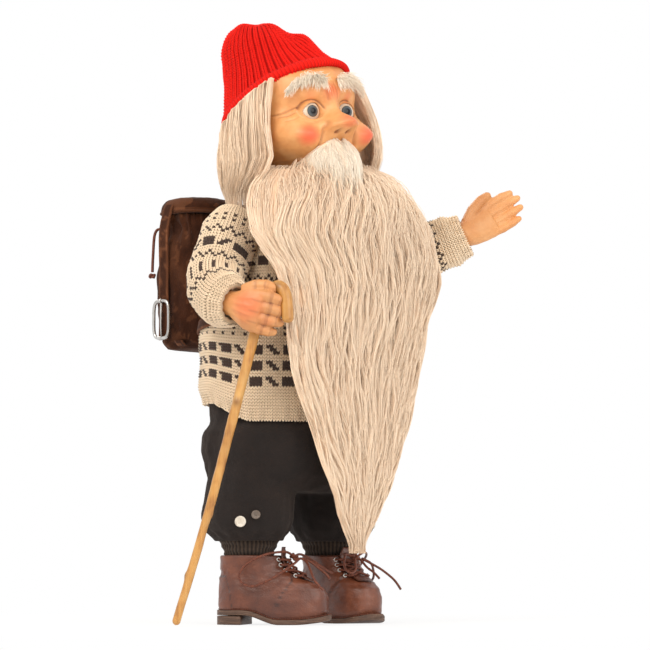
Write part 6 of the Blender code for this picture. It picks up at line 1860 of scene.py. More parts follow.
def moustache_layer(name, count, lift, radius, tone, finishes, random):
    """One layer of strands, half of them to each side, drawn together in locks."""
    steps, locks = 22, MOUSTACHE_LOCKS
    odd = np.arange(count) % 2
    way = np.where(odd, 1.0, -1.0)
    lock = random.integers(0, locks, count)
    side = np.clip((lock + random.normal(0.5, 0.28, count)) / locks, 0, 1)
    x0 = way * (0.0030 + 0.0130 * side)
    z0 = 0.0170 - 0.0075 * side ** 1.6 + random.uniform(-0.0040, 0.0012, count)
    reach_out = random.uniform(-0.0025, 0.0025, (2, locks))[odd, lock]
    x1 = way * (0.0005 + 0.0255 * side) + reach_out + random.uniform(-0.0020, 0.0020, count)
    fall = random.uniform(0.020, 0.070, (2, locks))[odd, lock]
    z1 = z0 - fall * (1 - 0.45 * side) * random.uniform(0.6, 1.1, count)
    t = np.linspace(0, 1, steps)[None]
    x = x0[:, None] + (x1 - x0)[:, None] * (1 - (1 - t) ** 1.8)
    z = z0[:, None] + (z1 - z0)[:, None] * t ** 1.25
    out = np.sin(np.clip(t * 1.25, 0, 1) * math.pi / 2)
    reach = 0.0008 + (random.uniform(0.0010, 0.0060, count) + lift)[:, None] * out
    pace = random.uniform(3, 8, count)[:, None]
    wave = 0.0011 * np.sin(t * pace + random.uniform(0, 7, count)[:, None])
    paths = in_head(falling_hair(x + wave, z, reach))
    piece = hair_piece(name, paths, random.uniform(0.8, 1.25, count) * radius,
                       tone + random.uniform(-0.25, 0.15, count), finishes["pale_fur"])
    settle(piece, "head", slot="fur")


# A brow's line on the face, from its inner end: place across and up, and radius
BROW = [(0.0060, 0.0630, 0.0040), (0.0120, 0.0650, 0.0054), (0.0190, 0.0645, 0.0056),
        (0.0250, 0.0610, 0.0042), (0.0295, 0.0560, 0.0024)]


def make_brows(finishes, random):
    """Bushy brows whose hairs fan outwards and droop."""
    for side_name, side in SIDES.items():
        rows = np.array(smooth_rows(BROW, 10))
        line = on_face(side * rows[:, 0], rows[:, 1], rows[:, 2] * 0.45)
        core = tube_data(line[None], rows[None, :, 2] * 0.20, 12, guide=np.array([[[0.0, 0.0, 1.0]]]))
        piece = make_mesh(f"brow_core_{side_name}", in_head(core[0]), core[1], finishes["fur"],
                          np.full(len(core[0]), 0.65))
        settle(piece, "head", f"brow_{side_name}", slot="fur")
        count, steps = 620, 9
        spot = random.uniform(0, len(line) - 1, count)
        base = np.stack([np.interp(spot, np.arange(len(line)), line[:, axis])
                         for axis in range(3)], axis=-1)
        size = np.interp(spot, np.arange(len(line)), rows[:, 2])
        turn = random.uniform(0, 2 * math.pi, count)
        out = np.stack([np.zeros(count), -np.abs(np.cos(turn)), np.sin(turn) * 1.5], axis=-1)
        base = base + out * (size * random.uniform(0.0, 0.50, count))[:, None]
        share = spot / (len(line) - 1)
        lean = np.stack([side * (-0.15 + 1.0 * share + random.uniform(-0.35, 0.35, count)),
                         -0.50 - 0.4 * random.uniform(0, 1, count),
                         -0.15 - 0.6 * share + random.uniform(-0.75, 0.55, count)], axis=-1)
        t = np.linspace(0, 1, steps)[None, :, None]
        length = (random.uniform(0.0050, 0.0120, count) * (1 - 0.40 * share))[:, None, None]
        paths = (base[:, None] + unit(lean)[:, None] * length * t
                 + np.array([side * 0.0014, 0.0008, -0.0024]) * t * t)
        piece = hair_piece(f"brow_hair_{side_name}", in_head(paths),
                           random.uniform(0.00015, 0.00030, count),
                           random.uniform(0.75, 1.30, count), finishes["pale_fur"])
        settle(piece, "head", slot="fur")


# Wig. Rows give height above the chin, outer half width, outer depth behind, and where the arc of
# hair starts, in degrees from the side towards the back.

WIG_SLICES = np.array([
    (0.0680, 0.0460, 0.0570, -20), (0.0580, 0.0490, 0.0590, -20), (0.0450, 0.0520, 0.0620, -20),
    (0.0300, 0.0550, 0.0645, -22), (0.0170, 0.0570, 0.0655, -25), (0.0060, 0.0570, 0.0660, -26),
    (-0.0040, 0.0560, 0.0660, -20), (-0.0110, 0.0545, 0.0655, -12), (-0.0170, 0.0525, 0.0640, -4),
])[::-1]
WIG_THICKNESS = 0.018
# The deeper layer is given a darker tone: painted shade inside the hair.
# Name, strands, depths in the wig, radius and tone of each layer of strands
WIG_LAYERS = [("wig_under", 2400, (0.72, 0.92), 0.00032, 0.42),
              ("wig_locks", 2800, (0.84, 1.06), 0.00024, 0.78)]


def wig_points(z, share, depth):
    """Points in the wig: share 0 to 1 runs from the doll's left round the back to its right."""
    half_width, back, start = (np.interp(z, WIG_SLICES[:, 0], WIG_SLICES[:, index])
                               for index in range(1, 4))
    angle = np.radians(start + (180 - 2 * start) * share)
    reach_x = half_width - WIG_THICKNESS * (1 - depth)
    reach_y = back - WIG_THICKNESS * (1 - depth)
    return np.stack([reach_x * np.cos(angle), reach_y * np.sin(angle), z], axis=-1)


def under_hat(rows, margin):
    """Rows of the face's frame, moved down along the hat's axis to stay below its edge."""
    own = placed(HEAD_TO_HAT, rows)
    own[..., 2] = np.minimum(own[..., 2], margin)
    return placed(HAT_ON_HEAD, own)


def make_wig(finishes, random):
    """Long hair round the sides and back: an inner mass and fine strands in locks."""
    levels, columns = 70, 120
    z = np.linspace(0.066, -0.013, levels)
    share = np.linspace(0.03, 0.97, columns)
    zz, ss = np.meshgrid(z, share, indexing="ij")
    edge = turbulence(np.stack([zz * 55, (ss > 0.5) * 9.0, zz * 0], axis=-1), 1.0, 3.0)
    ss = 0.5 + (ss - 0.5) * (0.965 + 0.035 * edge)
    furrow = turbulence(np.stack([ss * 22, zz * 0, zz * 7], axis=-1), 1.0, 5.0)
    outer = wig_points(zz, ss, 0.70 + 0.12 * furrow)
    inner = wig_points(zz, ss, 0.1)[:, ::-1]
    rows = under_hat(np.concatenate([outer, inner], axis=1), -0.0010)
    # Furrows and the inner face are tinted darker: painted shade in the hair's hollows.
    tints = np.concatenate([0.30 + 0.3 * furrow, np.full_like(inner[..., 0], 0.1)], axis=1)
    piece = make_mesh("wig_mass", in_head(rows), grid_faces(levels, rows.shape[1]),
                      finishes["fur"], np.clip(tints, 0, 1))
    settle(piece, "head", "wig", slot="fur")
    locks = 90
    lock_rows = np.stack([random.uniform(-0.03, 1.03, locks), random.uniform(0, 7, locks),
                          random.uniform(-0.5, 0.5, locks), random.uniform(40, 95, locks)], axis=-1)
    for name, count, depths, radius, tone in WIG_LAYERS:
        wig_layer(name, count, depths, radius, tone, lock_rows, finishes, random)


def wig_layer(name, count, depths, radius, tone, lock_rows, finishes, random):
    """One layer of strands; each is drawn towards the middle of the lock nearest to its root."""
    steps = 22
    middle_share, phase, shade, pitch = lock_rows.T
    own = random.uniform(-0.03, 1.03, count)
    lock = np.abs(own[:, None] - middle_share[None]).argmin(axis=1)
    start = np.where(random.uniform(0, 1, count) < 0.75, 0.066, random.uniform(0.0, 0.06, count))
    behind = np.exp(-((own - 0.5) / 0.24) ** 2)
    lowest = -random.uniform(0.010, 0.038, count) * (1 - 0.65 * behind)
    end = np.maximum(start - random.uniform(0.05, 0.13, count), lowest)
    t = np.linspace(0, 1, steps)[None]
    z = start[:, None] + (end - start)[:, None] * t
    gather = random.uniform(0.3, 0.85, count)[:, None] * ease(t, 0.15, 0.95)
    share = own[:, None] * (1 - gather) + middle_share[lock][:, None] * gather
    wave = np.sin(z * pitch[lock][:, None] + phase[lock][:, None])
    depth = random.uniform(*depths, count)[:, None] + 0.07 * wave
    paths = wig_points(z, share, depth)
    edge = ease(np.abs(own - 0.5), 0.42, 0.50)[:, None]
    stray = random.uniform(-1, 1, count)[:, None] * ease(t, 0.1, 1.0) * (1 + 2.0 * edge)
    paths[..., 0] += 0.0012 * wave + 0.0022 * stray
    paths[..., 1] += 0.0026 * np.cos(z * 60 + phase[lock][:, None]) + 0.0040 * stray
    paths = under_hat(paths, 0.0004)
    tones = tone + 0.35 * shade[lock] + random.uniform(-0.2, 0.15, count)
    piece = hair_piece(name, in_head(paths), random.uniform(0.8, 1.25, count) * radius, tones,
                       finishes["fur"])
    settle(piece, "head", slot="fur")


# Hat

HAT_RIBS, HAT_STITCH_HEIGHT = 46, 0.0021
# Folds that run across the slack crown: place across them, spread and height
CROWN_FOLDS = [(-0.0120, 0.0045, 0.0014), (-0.0015, 0.0040, -0.0030), (0.0065, 0.0040, -0.0005),
               (0.0200, 0.0075, -0.0115), (0.0350, 0.0055, -0.0010)]
FOLD_DIRECTION = math.radians(-35)


def crown_height(x, y, height):
    """Height of the slack, folded crown over a place of the hat."""
    z = HAT_HEIGHT * (1 + CROWN_SLANT * y / HAT_HALF_DEPTH) * height
    high = ease(height, 0.30, 0.85)
    over = x * math.cos(FOLD_DIRECTION) + y * math.sin(FOLD_DIRECTION)
    for place, wide, lift in CROWN_FOLDS:
        z = z + high * lift * np.exp(-((over - place) / wide) ** 2 / 2)
    return z


def hat_grid(rows_count, columns):
    """The hat's outer face, rows evenly spaced up to the crown, each row's height and the length."""
    fine = np.array(smooth_rows(HAT_PROFILE, 20))
    steps = travelled(fine * [HAT_HEIGHT, HAT_HALF_WIDTH])
    at = np.linspace(0.0, steps[-1], rows_count)
    height = np.interp(at, steps, fine[:, 0])[:, None]
    reach = np.interp(at, steps, fine[:, 1])[:, None]
    angle = circle(columns)
    x = HAT_HALF_WIDTH * reach * np.cos(angle)[None]
    y = HAT_HALF_DEPTH * reach * np.sin(angle)[None]
    z = crown_height(x, y, height)
    return np.stack([x, y + CROWN_SHIFT * height ** 2, z], axis=-1), height, steps[-1]


def make_hat(finishes):
    """Ribbed knitted hat with a rolled brim, an inner shell and its stitches."""
    per_rib = 3
    columns = HAT_RIBS * per_rib
    _, _, length = hat_grid(8, 8)
    rows_count = int(length / HAT_STITCH_HEIGHT)
    grid, height, _ = hat_grid(rows_count, columns)
    normals = grid_normals(grid)
    column = np.arange(columns)
    groove = (column % per_rib == 2)
    narrow = np.hypot(grid[..., 0], grid[..., 1]) / HAT_HALF_WIDTH
    depth = np.where(groove[None], -0.0014, 0.0004) * np.clip(narrow * 1.4, 0.2, 1)
    slump = turbulence(grid * [32, 32, 40], 1.0, 8.0)
    sag = 0.0016 * slump * ease(height, 0.2, 0.7)
    grid = grid + normals * (depth - 0.0010 + sag)[..., None]
    normals = grid_normals(grid)
    across, up = neighbours(grid)
    flat = [array.reshape(-1, 3) for array in (grid, across, up, normals)]
    keep = (np.broadcast_to(~groove[None], grid.shape[:2])
            & (np.linalg.norm(across, axis=-1) > 0.0006)).reshape(-1)
    # The grooves between the ribs are tinted dark: painted shade.
    tints = np.broadcast_to(np.where(groove, 0.9, 0.0)[None], grid.shape[:2])
    verts, faces, spread = stitches(*flat, keep, tints.reshape(-1), 1.15)
    piece = make_mesh("hat_stitches", in_hat(verts), faces, finishes["red_wool"], spread)
    settle(piece, "hat", "knit_hat", slot="hat_knit")
    shell = grid - normals * 0.0006
    lining = (grid - normals * 0.0030)[::-1]
    rows = np.concatenate([lining[1:], shell])
    # The inside face is tinted dark as painted shade inside the hat, and the grooves as painted shade
    # between the ribs.
    shade = np.concatenate([np.full(lining[1:].shape[:2], 0.8), tints * 0.9 + 0.05])
    piece = make_mesh("hat_shell", in_hat(rows.reshape(-1, 3)),
                      grid_faces(len(rows), columns), finishes["red_wool"], shade)
    settle(piece, "hat", slot="hat_knit")
    make_brim(finishes)
    make_crown(finishes)


def make_brim(finishes):
    """The rolled edge, wound with slanting ridges."""
    around, section, ridges = 900, 18, 112
    angle = circle(around)
    turns = circle(section)
    roll = 0.0030 + 0.0003 * np.sin(angle * 3 + 1.0) + 0.0002 * np.sin(angle * 7)
    phase = angle[:, None] * ridges + turns[None]
    ridge = 0.00045 * np.cos(phase)
    reach = roll[:, None] * 0.92 + ridge
    centre = HAT_HALF_WIDTH - 0.0004
    ratio = HAT_HALF_DEPTH / HAT_HALF_WIDTH
    x = (centre + reach * np.cos(turns)[None]) * np.cos(angle)[:, None]
    y = (centre * ratio + reach * np.cos(turns)[None]) * np.sin(angle)[:, None]
    sag = 0.0009 * np.sin(angle * 2 + 0.6)[:, None]
    z = 0.0030 + reach * np.sin(turns)[None] * 1.15 + sag
    rows = np.stack([x, y, z], axis=-1)
    closed = np.concatenate([rows, rows[:1]])
    # The tint darkens the brim in step with its slanting ridges.
    tints = (0.5 - 0.5 * np.cos(phase + math.pi)) * 0.6
    tints = np.concatenate([tints, tints[:1]])
    piece = make_mesh("hat_brim", in_hat(closed.reshape(-1, 3)),
                      grid_faces(len(closed), section)[:, ::-1], finishes["red_wool"], tints)
    settle(piece, "hat", slot="hat_knit")


def make_crown(finishes):
    """Small gathered knot where the ribs meet."""
    columns, levels = 48, 10
    angle = circle(columns)
    share = np.linspace(0, 1, levels)
    reach = 0.0070 * np.sqrt(1 - share ** 2 * 0.995)
    rib = 1 + 0.10 * np.cos(angle * 12)
    x = reach[:, None] * np.cos(angle) * rib
    y = reach[:, None] * np.sin(angle) * rib
    z = crown_height(x, y, 1.0) - 0.0018 + 0.0016 * share[:, None]
    rows = np.stack([x, y + CROWN_SHIFT, z], axis=-1)
    # The tint darkens the gather in step with its ribs.
    tints = np.broadcast_to(0.2 - 0.2 * np.cos(angle * 12 + math.pi), (levels, columns))
    piece = make_mesh("hat_gather", in_hat(rows.reshape(-1, 3)), grid_faces(levels, columns),
                      finishes["red_wool"], tints)
    settle(piece, "hat", slot="hat_knit")


# Rucksack

BAG_STRAP_Y = BAG_Y + 0.004
LID_HEIGHT, LID_OVERHANG, STRAP_WIDTH, STRAP_THICKNESS = 0.014, 0.003, 0.009, 0.0016
LID_HALF_DEPTH = BAG_HALF_DEPTH * 0.80 + LID_OVERHANG
LID_HALF_WIDTH = BAG_HALF_WIDTH * 0.80 + LID_OVERHANG
LID_Y = BAG_Y + LID_OVERHANG * 0.5
LID_BASE = BAG_BOTTOM + BAG_HEIGHT + GAP
BUCKLE_WIDTH, BUCKLE_HEIGHT, BUCKLE_WIRE = 0.018, 0.031, 0.0013


def make_bag(finishes):
    """Slumped suede bag, gathered at the neck, with seams and a pocket."""
    columns, levels = 168, 84
    shares = np.linspace(0.0, 1.0, levels)
    outer = np.array([bag_ring(share, 0.0, columns) for share in shares])
    normals = grid_normals(outer)
    angle = circle(columns)
    dents = turbulence(outer * [36, 36, 26], 1.0, 12.0)
    fine = turbulence(outer * [130, 130, 90], 1.0, 14.0)
    share = shares[:, None]
    neck = np.exp(-((share - 0.90) / 0.07) ** 2)
    pleats = np.cos(angle * 23 + 2.0 * np.sin(share * 14)) * (0.0011 * ease(share, 0.70, 0.92))
    seam = np.exp(-(((angle[None] + 0.2) % math.pi - 0.2 - 0.16) / 0.012) ** 2)
    push = 0.0030 * dents + 0.0007 * fine + pleats - 0.0024 * neck - 0.0006 * seam - 0.0008
    touching = ease(-outer[..., 1], -(BAG_Y - 0.016), -(BAG_Y - 0.022))
    outer = outer + normals * (push * (1 - 0.8 * touching))[..., None]
    inner = np.array([bag_ring(share_of, -BAG_WALL, columns) for share_of in shares[::-1]])
    rows = np.concatenate([outer, inner])
    bottom = np.array([[0.0, BAG_Y, BAG_BOTTOM + 0.0002], [0.0, BAG_Y, BAG_BOTTOM + BAG_WALL]])
    verts = np.concatenate([rows.reshape(-1, 3), bottom])
    tints = np.concatenate([np.clip(0.25 * (fine > 0.35) + 0.5 * np.clip(dents, 0, 1) ** 2, 0, 1),
                            np.zeros((levels, columns))]).ravel()
    faces = capped_faces(len(rows), columns, len(verts) - 2, len(verts) - 1)
    piece = make_mesh("rucksack", verts, faces, finishes["suede"], np.concatenate([tints, [0, 0]]))
    settle(piece, "figure", "bag_body", slot="suede")
    make_pocket(finishes)
    make_drawstring(finishes)


POCKET_HALF_WIDTH, POCKET_POWER = 0.0205, 4.5
# How far the row of stitches is inside the pocket's outline, across and up
POCKET_SEAM = (0.0017, 0.0020)
POCKET_STITCHES = 88


def make_pocket(finishes):
    """Back pocket with a puffed front, a flap edge and stitches."""
    columns, levels = 96, 18
    low, high = BAG_BOTTOM + BAG_HEIGHT * 0.10, BAG_BOTTOM + BAG_HEIGHT * 0.48
    middle = (low + high) / 2
    face = BAG_Y + BAG_HALF_DEPTH + GAP * 4 - 0.0012
    half_height = (high - low) / 2
    outline = ellipse_ring(POCKET_HALF_WIDTH, half_height, columns, POCKET_POWER)
    rows, tints = [], []
    for share in np.linspace(0, 1, levels):
        scale = math.cos(share * math.pi / 2) ** 0.45 if share < 1 else 0.02
        rise = 0.0012 + 0.0062 * math.sin(share * math.pi / 2) ** 0.8
        rows.append(np.stack([outline[:, 0] * scale, np.full(columns, face + rise),
                              middle + outline[:, 1] * scale], axis=-1))
        tints.append(np.full(columns, 0.35 if 0.02 < share < 0.2 else 0.0))
    grid = np.array(rows)
    puff = turbulence(grid * [90, 90, 90], 1.0, 15.0)
    grid = grid + [0.0, 1.0, 0.0] * (puff * 0.0006)[..., None]
    piece = make_mesh("rucksack_pocket", grid, grid_faces(levels, columns)[:, ::-1],
                      finishes["suede"], np.array(tints))
    settle(piece, "figure", "bag_pocket", slot="suede")
    edge = ellipse_ring(POCKET_HALF_WIDTH - POCKET_SEAM[0], half_height - POCKET_SEAM[1],
                        POCKET_STITCHES, POCKET_POWER)
    centre = np.stack([edge[:, 0], np.full(len(edge), face + 0.0042), middle + edge[:, 1]], axis=-1)
    ahead = unit(np.roll(centre, -1, axis=0) - np.roll(centre, 1, axis=0))
    paths = np.stack([centre - ahead * 0.0007 - [0, 0.0002, 0], centre + [0, 0.0003, 0],
                      centre + ahead * 0.0007 - [0, 0.0002, 0]], axis=1)
    verts, faces = tube_data(paths, np.full((len(edge), 3), 0.00022), 4)
    piece = make_mesh("pocket_stitches", verts, faces, finishes["lace"])
    settle(piece, "figure", slot="lace")


DRAWSTRING_LAY, DRAWSTRING_STRANDS = 0.0042, 2


def twisted_cord(centre, radius, pitch):
    """A laid cord round a closed ring of points (count, 3).

    Known fault: a path that ends where it starts gives tube_data no direction to measure from, so
    the strands come out as lines without thickness. ring_tube names that direction itself.
    """
    count = len(centre)
    along = unit(np.roll(centre, -1, axis=0) - np.roll(centre, 1, axis=0))
    up = np.tile([0.0, 0.0, 1.0], (count, 1))
    out = unit(np.cross(along, up))
    steps = travelled(centre)
    parts = []
    for start in circle(DRAWSTRING_STRANDS):
        turn = steps / pitch * 2 * math.pi + start
        path = centre + (out * np.cos(turn)[:, None] + up * np.sin(turn)[:, None]) * radius * 0.45
        closed = np.concatenate([path, path[:1]])
        parts.append(tube_data(closed[None], np.full((1, count + 1), radius * 0.62), 8))
    return join_data(parts)


def make_drawstring(finishes):
    """The drawstring round the rucksack's neck, its lay fitted to its length."""
    ring = bag_ring(DRAWSTRING_SHARE, DRAWSTRING_RADIUS - 0.0003, 420)
    length = route_length(np.concatenate([ring, ring[:1]]))
    verts, faces = twisted_cord(ring, DRAWSTRING_RADIUS, length / round(length / DRAWSTRING_LAY))
    piece = make_mesh("drawstring", verts, faces, finishes["lace"])
    settle(piece, "figure", "bag_drawstring", slot="lace")


LID_POWER = 2.7
# Share of the lid's height, and size there
LID_PROFILE = ((-0.04, 0.90), (0.0, 0.97), (0.10, 1.01), (0.30, 1.01), (0.55, 0.985),
               (0.80, 0.88), (0.94, 0.66), (1.0, 0.34), (1.01, 0.05))
PIPING_RADIUS, PIPING_OUTSET, PIPING_RISE = 0.0011, 0.0004, 0.0014


def make_lid(finishes):
    """Padded lid with a piped edge."""
    columns = 168
    rows, tints = [], []
    for height, size in smooth_rows(LID_PROFILE, 7):
        ring = ellipse_ring(LID_HALF_WIDTH * size, LID_HALF_DEPTH * size, columns, LID_POWER)
        rows.append(np.concatenate([ring + [0, LID_Y],
                                    np.full((columns, 1), LID_BASE + LID_HEIGHT * height)], axis=1))
        tints.append(np.full(columns, 0.25 if 0.0 < height < 0.3 else 0.0))
    grid = np.array(rows)
    grid[:, :, 2] = np.maximum(grid[:, :, 2], LID_BASE)
    normals = grid_normals(grid)
    soft = turbulence(grid * [60, 60, 60], 1.0, 17.0)
    grid = grid + normals * (soft * 0.0009)[..., None]
    grid[:, :, 2] = np.maximum(grid[:, :, 2], LID_BASE)
    base = np.array([[0.0, LID_Y, LID_BASE], [0.0, LID_Y, LID_BASE + LID_HEIGHT * 1.01]])
    verts = np.concatenate([grid.reshape(-1, 3), base])
    tints = np.concatenate([np.clip(np.array(tints) + 0.4 * (soft > 0.45), 0, 1).ravel(), [0, 0]])
    faces = capped_faces(len(grid), columns, len(verts) - 2, len(verts) - 1)
    piece = make_mesh("rucksack_lid", verts, faces, finishes["suede"], tints)
    settle(piece, "bag_lid", "bag_lid", slot="suede")
    edge = ellipse_ring(LID_HALF_WIDTH + PIPING_OUTSET, LID_HALF_DEPTH + PIPING_OUTSET, 260,
                        LID_POWER) + [0, LID_Y]
    piping = np.concatenate([edge, np.full((len(edge), 1), LID_BASE + PIPING_RISE)], axis=1)
    verts, faces = ring_tube(piping, PIPING_RADIUS, 8, (0.0, 0.0, 1.0))
    piece = make_mesh("lid_piping", verts, faces, finishes["suede"], np.full(len(verts), 0.3))
    settle(piece, "bag_lid", slot="suede")
    make_lid_straps(finishes)


# Round a strap's section: shares of its half width and of its thickness
STRAP_SECTION = np.array([(-1, 0.15), (-0.96, 0.0), (0.96, 0.0), (1, 0.15), (1, 0.85),
                          (0.94, 1.0), (0.5, 1.06), (0.0, 1.08), (-0.5, 1.06), (-0.94, 1.0),
                          (-1, 0.85)])


def flat_strap(centre, across, outward, half_width, thickness, seed):
    """A leather strap with rounded edges, from centre points and its two directions."""
    section = STRAP_SECTION
    grid = (centre[:, None] + across[:, None] * (section[:, 0] * half_width)[None, :, None]
            + outward[:, None] * (section[:, 1] * thickness)[None, :, None])
    wear = turbulence(grid, 160.0, seed)
    grid = grid + outward[:, None] * (wear * 0.00018)[..., None]
    count = len(section)
    end = np.arange(count)[None]
    faces = [grid_faces(len(centre), count), end[:, ::-1], end + (len(centre) - 1) * count]
    edge = (np.abs(section[:, 0]) > 0.9)[None] * 0.5
    tints = np.clip(edge + 0.5 * (wear > 0.4), 0, 1)
    return grid, faces, tints


def make_lid_straps(finishes):
    """Straps that run from the lid down the rucksack's sides, with their buckles."""
    face = BAG_HALF_WIDTH + GAP * 3
    top = LID_BASE + LID_HEIGHT * 0.42
    foot = BAG_BOTTOM + 0.006
    line = [(LID_HALF_WIDTH + GAP * 1.5, top), (LID_HALF_WIDTH + 0.0030, top - 0.006),
            (face + 0.0005, top - 0.022), (face, top - 0.050), (face, foot)]
    line = np.array(smooth_rows(line, 12))
    for side_name, side in SIDES.items():
        centre = np.stack([side * line[:, 0], np.full(len(line), BAG_STRAP_Y), line[:, 1]], axis=-1)
        along = unit(np.gradient(centre, axis=0))
        across = np.tile([0.0, 1.0, 0.0], (len(line), 1))
        outward = unit(np.cross(across, along))
        outward *= np.sign(outward[:, :1]) * side
        grid, faces, tints = flat_strap(centre, across, outward, STRAP_WIDTH / 2, STRAP_THICKNESS,
                                        20.0 + side)
        piece = make_mesh(f"closing_strap_{side_name}", grid, faces, finishes["suede"], tints)
        settle(piece, "bag_lid", f"lid_strap_{side_name}", slot="suede")
        make_buckle(side_name, side, face, foot, finishes)


def make_buckle(side_name, side, face, foot, finishes):
    """Bent wire frame with its prong."""
    x = side * (face + STRAP_THICKNESS + GAP * 2 + BUCKLE_WIRE)
    middle = foot + BUCKLE_HEIGHT / 2
    loop = ellipse_ring(BUCKLE_WIDTH / 2 - BUCKLE_WIRE, BUCKLE_HEIGHT / 2 - BUCKLE_WIRE, 120, 4.0)
    centre = np.stack([np.full(len(loop), x), BAG_STRAP_Y + loop[:, 0], middle + loop[:, 1]],
                      axis=-1)
    verts, faces = ring_tube(centre, BUCKLE_WIRE, 12, (1.0, 0.0, 0.0))
    piece = make_mesh(f"buckle_{side_name}", verts, faces, finishes["steel"])
    settle(piece, "bag_lid", f"buckle_frame_{side_name}", slot="steel")
    reach = BUCKLE_HEIGHT / 2 - 2 * BUCKLE_WIRE - GAP
    t = np.linspace(0, 1, 24)
    prong = np.stack([np.full(24, x) + side * 0.0004 * np.sin(t * math.pi),
                      np.full(24, BAG_STRAP_Y), middle + reach - 2 * reach * t], axis=-1)
    taper = BUCKLE_WIRE * np.interp(t, [0, 0.05, 0.85, 1], [0.9, 0.8, 0.6, 0.3])
    curl = np.linspace(0, 2 * math.pi, 17)
    ring = np.stack([x + np.cos(curl) * BUCKLE_WIRE * 1.25, np.full(17, BAG_STRAP_Y),
                     middle + reach + BUCKLE_WIRE + np.sin(curl) * BUCKLE_WIRE * 1.35], axis=-1)
    parts = [tube_data(prong[None], taper[None], 10),
             tube_data(ring[None], np.full((1, 17), BUCKLE_WIRE * 0.5), 8,
                       guide=np.array([[[0.0, 1.0, 0.0]]]))]
    piece = make_mesh(f"prong_{side_name}", *join_data(parts), finishes["steel"])
    settle(piece, "bag_lid", f"buckle_prong_{side_name}", slot="steel")


def torso_spot(z, angle):
    """A point of the sweater's face and its normal."""
    def point(level, turn):
        half_width, back, front = read_table(TORSO_SLICES,
                                             (level - HEM_HEIGHT) / (NECK_BASE - HEM_HEIGHT))
        cosine, sine = math.cos(turn), math.sin(turn)
        share = 2 / TORSO_POWER
        depth = back if sine > 0 else front
        return np.array([half_width * math.copysign(abs(cosine) ** share, cosine),
                         depth * math.copysign(abs(sine) ** share, sine), level])
    across = point(z, angle + 0.01) - point(z, angle - 0.01)
    up = point(z + 0.0005, angle) - point(z - 0.0005, angle)
    return point(z, angle), unit(np.cross(across, up))


SHOULDER_STRAP = [(0.0180, 62), (0.0130, 38), (0.0125, 8), (0.0180, -20), (0.0290, -42),
                  (0.0440, -55), (0.0620, -52), (0.0780, -36), (0.0920, -14), (0.0990, 12),
                  (0.1020, 38), (0.1035, 62)]
STRAP_TOP_END = [((0.0215, BAG_Y - 0.0276, BAG_BOTTOM + 0.0805), (0, 1, 0)),
                 ((0.0215, BAG_Y - 0.0264, BAG_BOTTOM + 0.0875), (0, 1, 0)),
                 ((0.0215, BAG_Y - 0.0300, BAG_BOTTOM + 0.0935), (0, 0.7, 0.7)),
                 ((0.0215, BAG_Y - 0.0380, BAG_BOTTOM + 0.0965), (0, 0.2, 0.98))]
STRAP_FOOT_END = [((0.0300, BAG_Y - 0.0290, BAG_BOTTOM + 0.0102), (0.2, 0.98, 0)),
                  ((0.0240, BAG_Y - 0.0272, BAG_BOTTOM + 0.0102), (0, 1, 0))]


def make_shoulder_straps(finishes):
    """Straps from the rucksack's top over the shoulders and under the arms to its foot."""
    places = [(np.array(place), np.array(normal, dtype=float)) for place, normal in STRAP_TOP_END]
    for drop, degrees in smooth_rows(SHOULDER_STRAP, 2):
        places.append(torso_spot(NECK_BASE - drop, math.radians(degrees)))
    places += [(np.array(place), np.array(normal, dtype=float)) for place, normal in STRAP_FOOT_END]
    rows = np.array(smooth_rows([(*place, *normal) for place, normal in places], 5))
    centre, outward = rows[:, :3], unit(rows[:, 3:])
    along = unit(np.gradient(centre, axis=0))
    across = unit(np.cross(along, outward))
    low = centre + outward * 0.0016
    for side_name, side in SIDES.items():
        grid, faces, tints = flat_strap(low, across, outward, STRAP_WIDTH / 2, STRAP_THICKNESS,
                                        30.0 + side)
        grid = grid * [side, 1.0, 1.0]
        if side < 0:
            faces = [group[:, ::-1] for group in faces]
        piece = make_mesh(f"carrying_strap_{side_name}", grid, faces, finishes["suede"], tints)
        settle(piece, "figure", f"shoulder_strap_{side_name}", slot="suede")


def make_keepers(finishes):
    """Tabs at the rucksack's foot that hold the closing straps."""
    for side_name, side in SIDES.items():
        rows = []
        for share in np.linspace(0.012, 0.052, 6):
            width, _ = read_table(BAG_SLICES, share)
            x = BAG_HALF_WIDTH * width + GAP + 0.0004
            rows.append((side * x, BAG_STRAP_Y - 0.012, BAG_BOTTOM + BAG_HEIGHT * share))
        centre = np.array(rows)
        across = np.tile([0.0, 1.0, 0.0], (6, 1))
        outward = np.tile([float(side), 0.0, 0.0], (6, 1))
        grid, faces, tints = flat_strap(centre, across, outward, 0.004, 0.0014, 40.0 + side)
        piece = make_mesh(f"keeper_{side_name}", grid, faces, finishes["suede"], tints)
        settle(piece, "figure", f"strap_keeper_{side_name}", slot="suede")


# Stage and lights

# Distances from the doll between which the floor turns white
FLOOR_WHITENS = (0.10, 0.50)


def seen_rays(tree):
    """1 for rays that show the surroundings: seen, mirrored or through glass."""
    path = tree.nodes.new("ShaderNodeLightPath")
    seen = path.outputs["Is Camera Ray"]
    for kind in ("Is Glossy Ray", "Is Transmission Ray"):
        either = tree.nodes.new("ShaderNodeMath")
        either.operation = "MAXIMUM"
        tree.links.new(seen, either.inputs[0])
        tree.links.new(path.outputs[kind], either.inputs[1])
        seen = either.outputs["Value"]
    return seen


def blend_shaders(tree, share, first, second, output):
    """Joins two shaders, mixed by a share, to a tree's output."""
    blend = tree.nodes.new("ShaderNodeMixShader")
    for number, value in enumerate((share, first, second)):
        tree.links.new(value, blend.inputs[number])
    tree.links.new(blend.outputs["Shader"], output.inputs["Surface"])


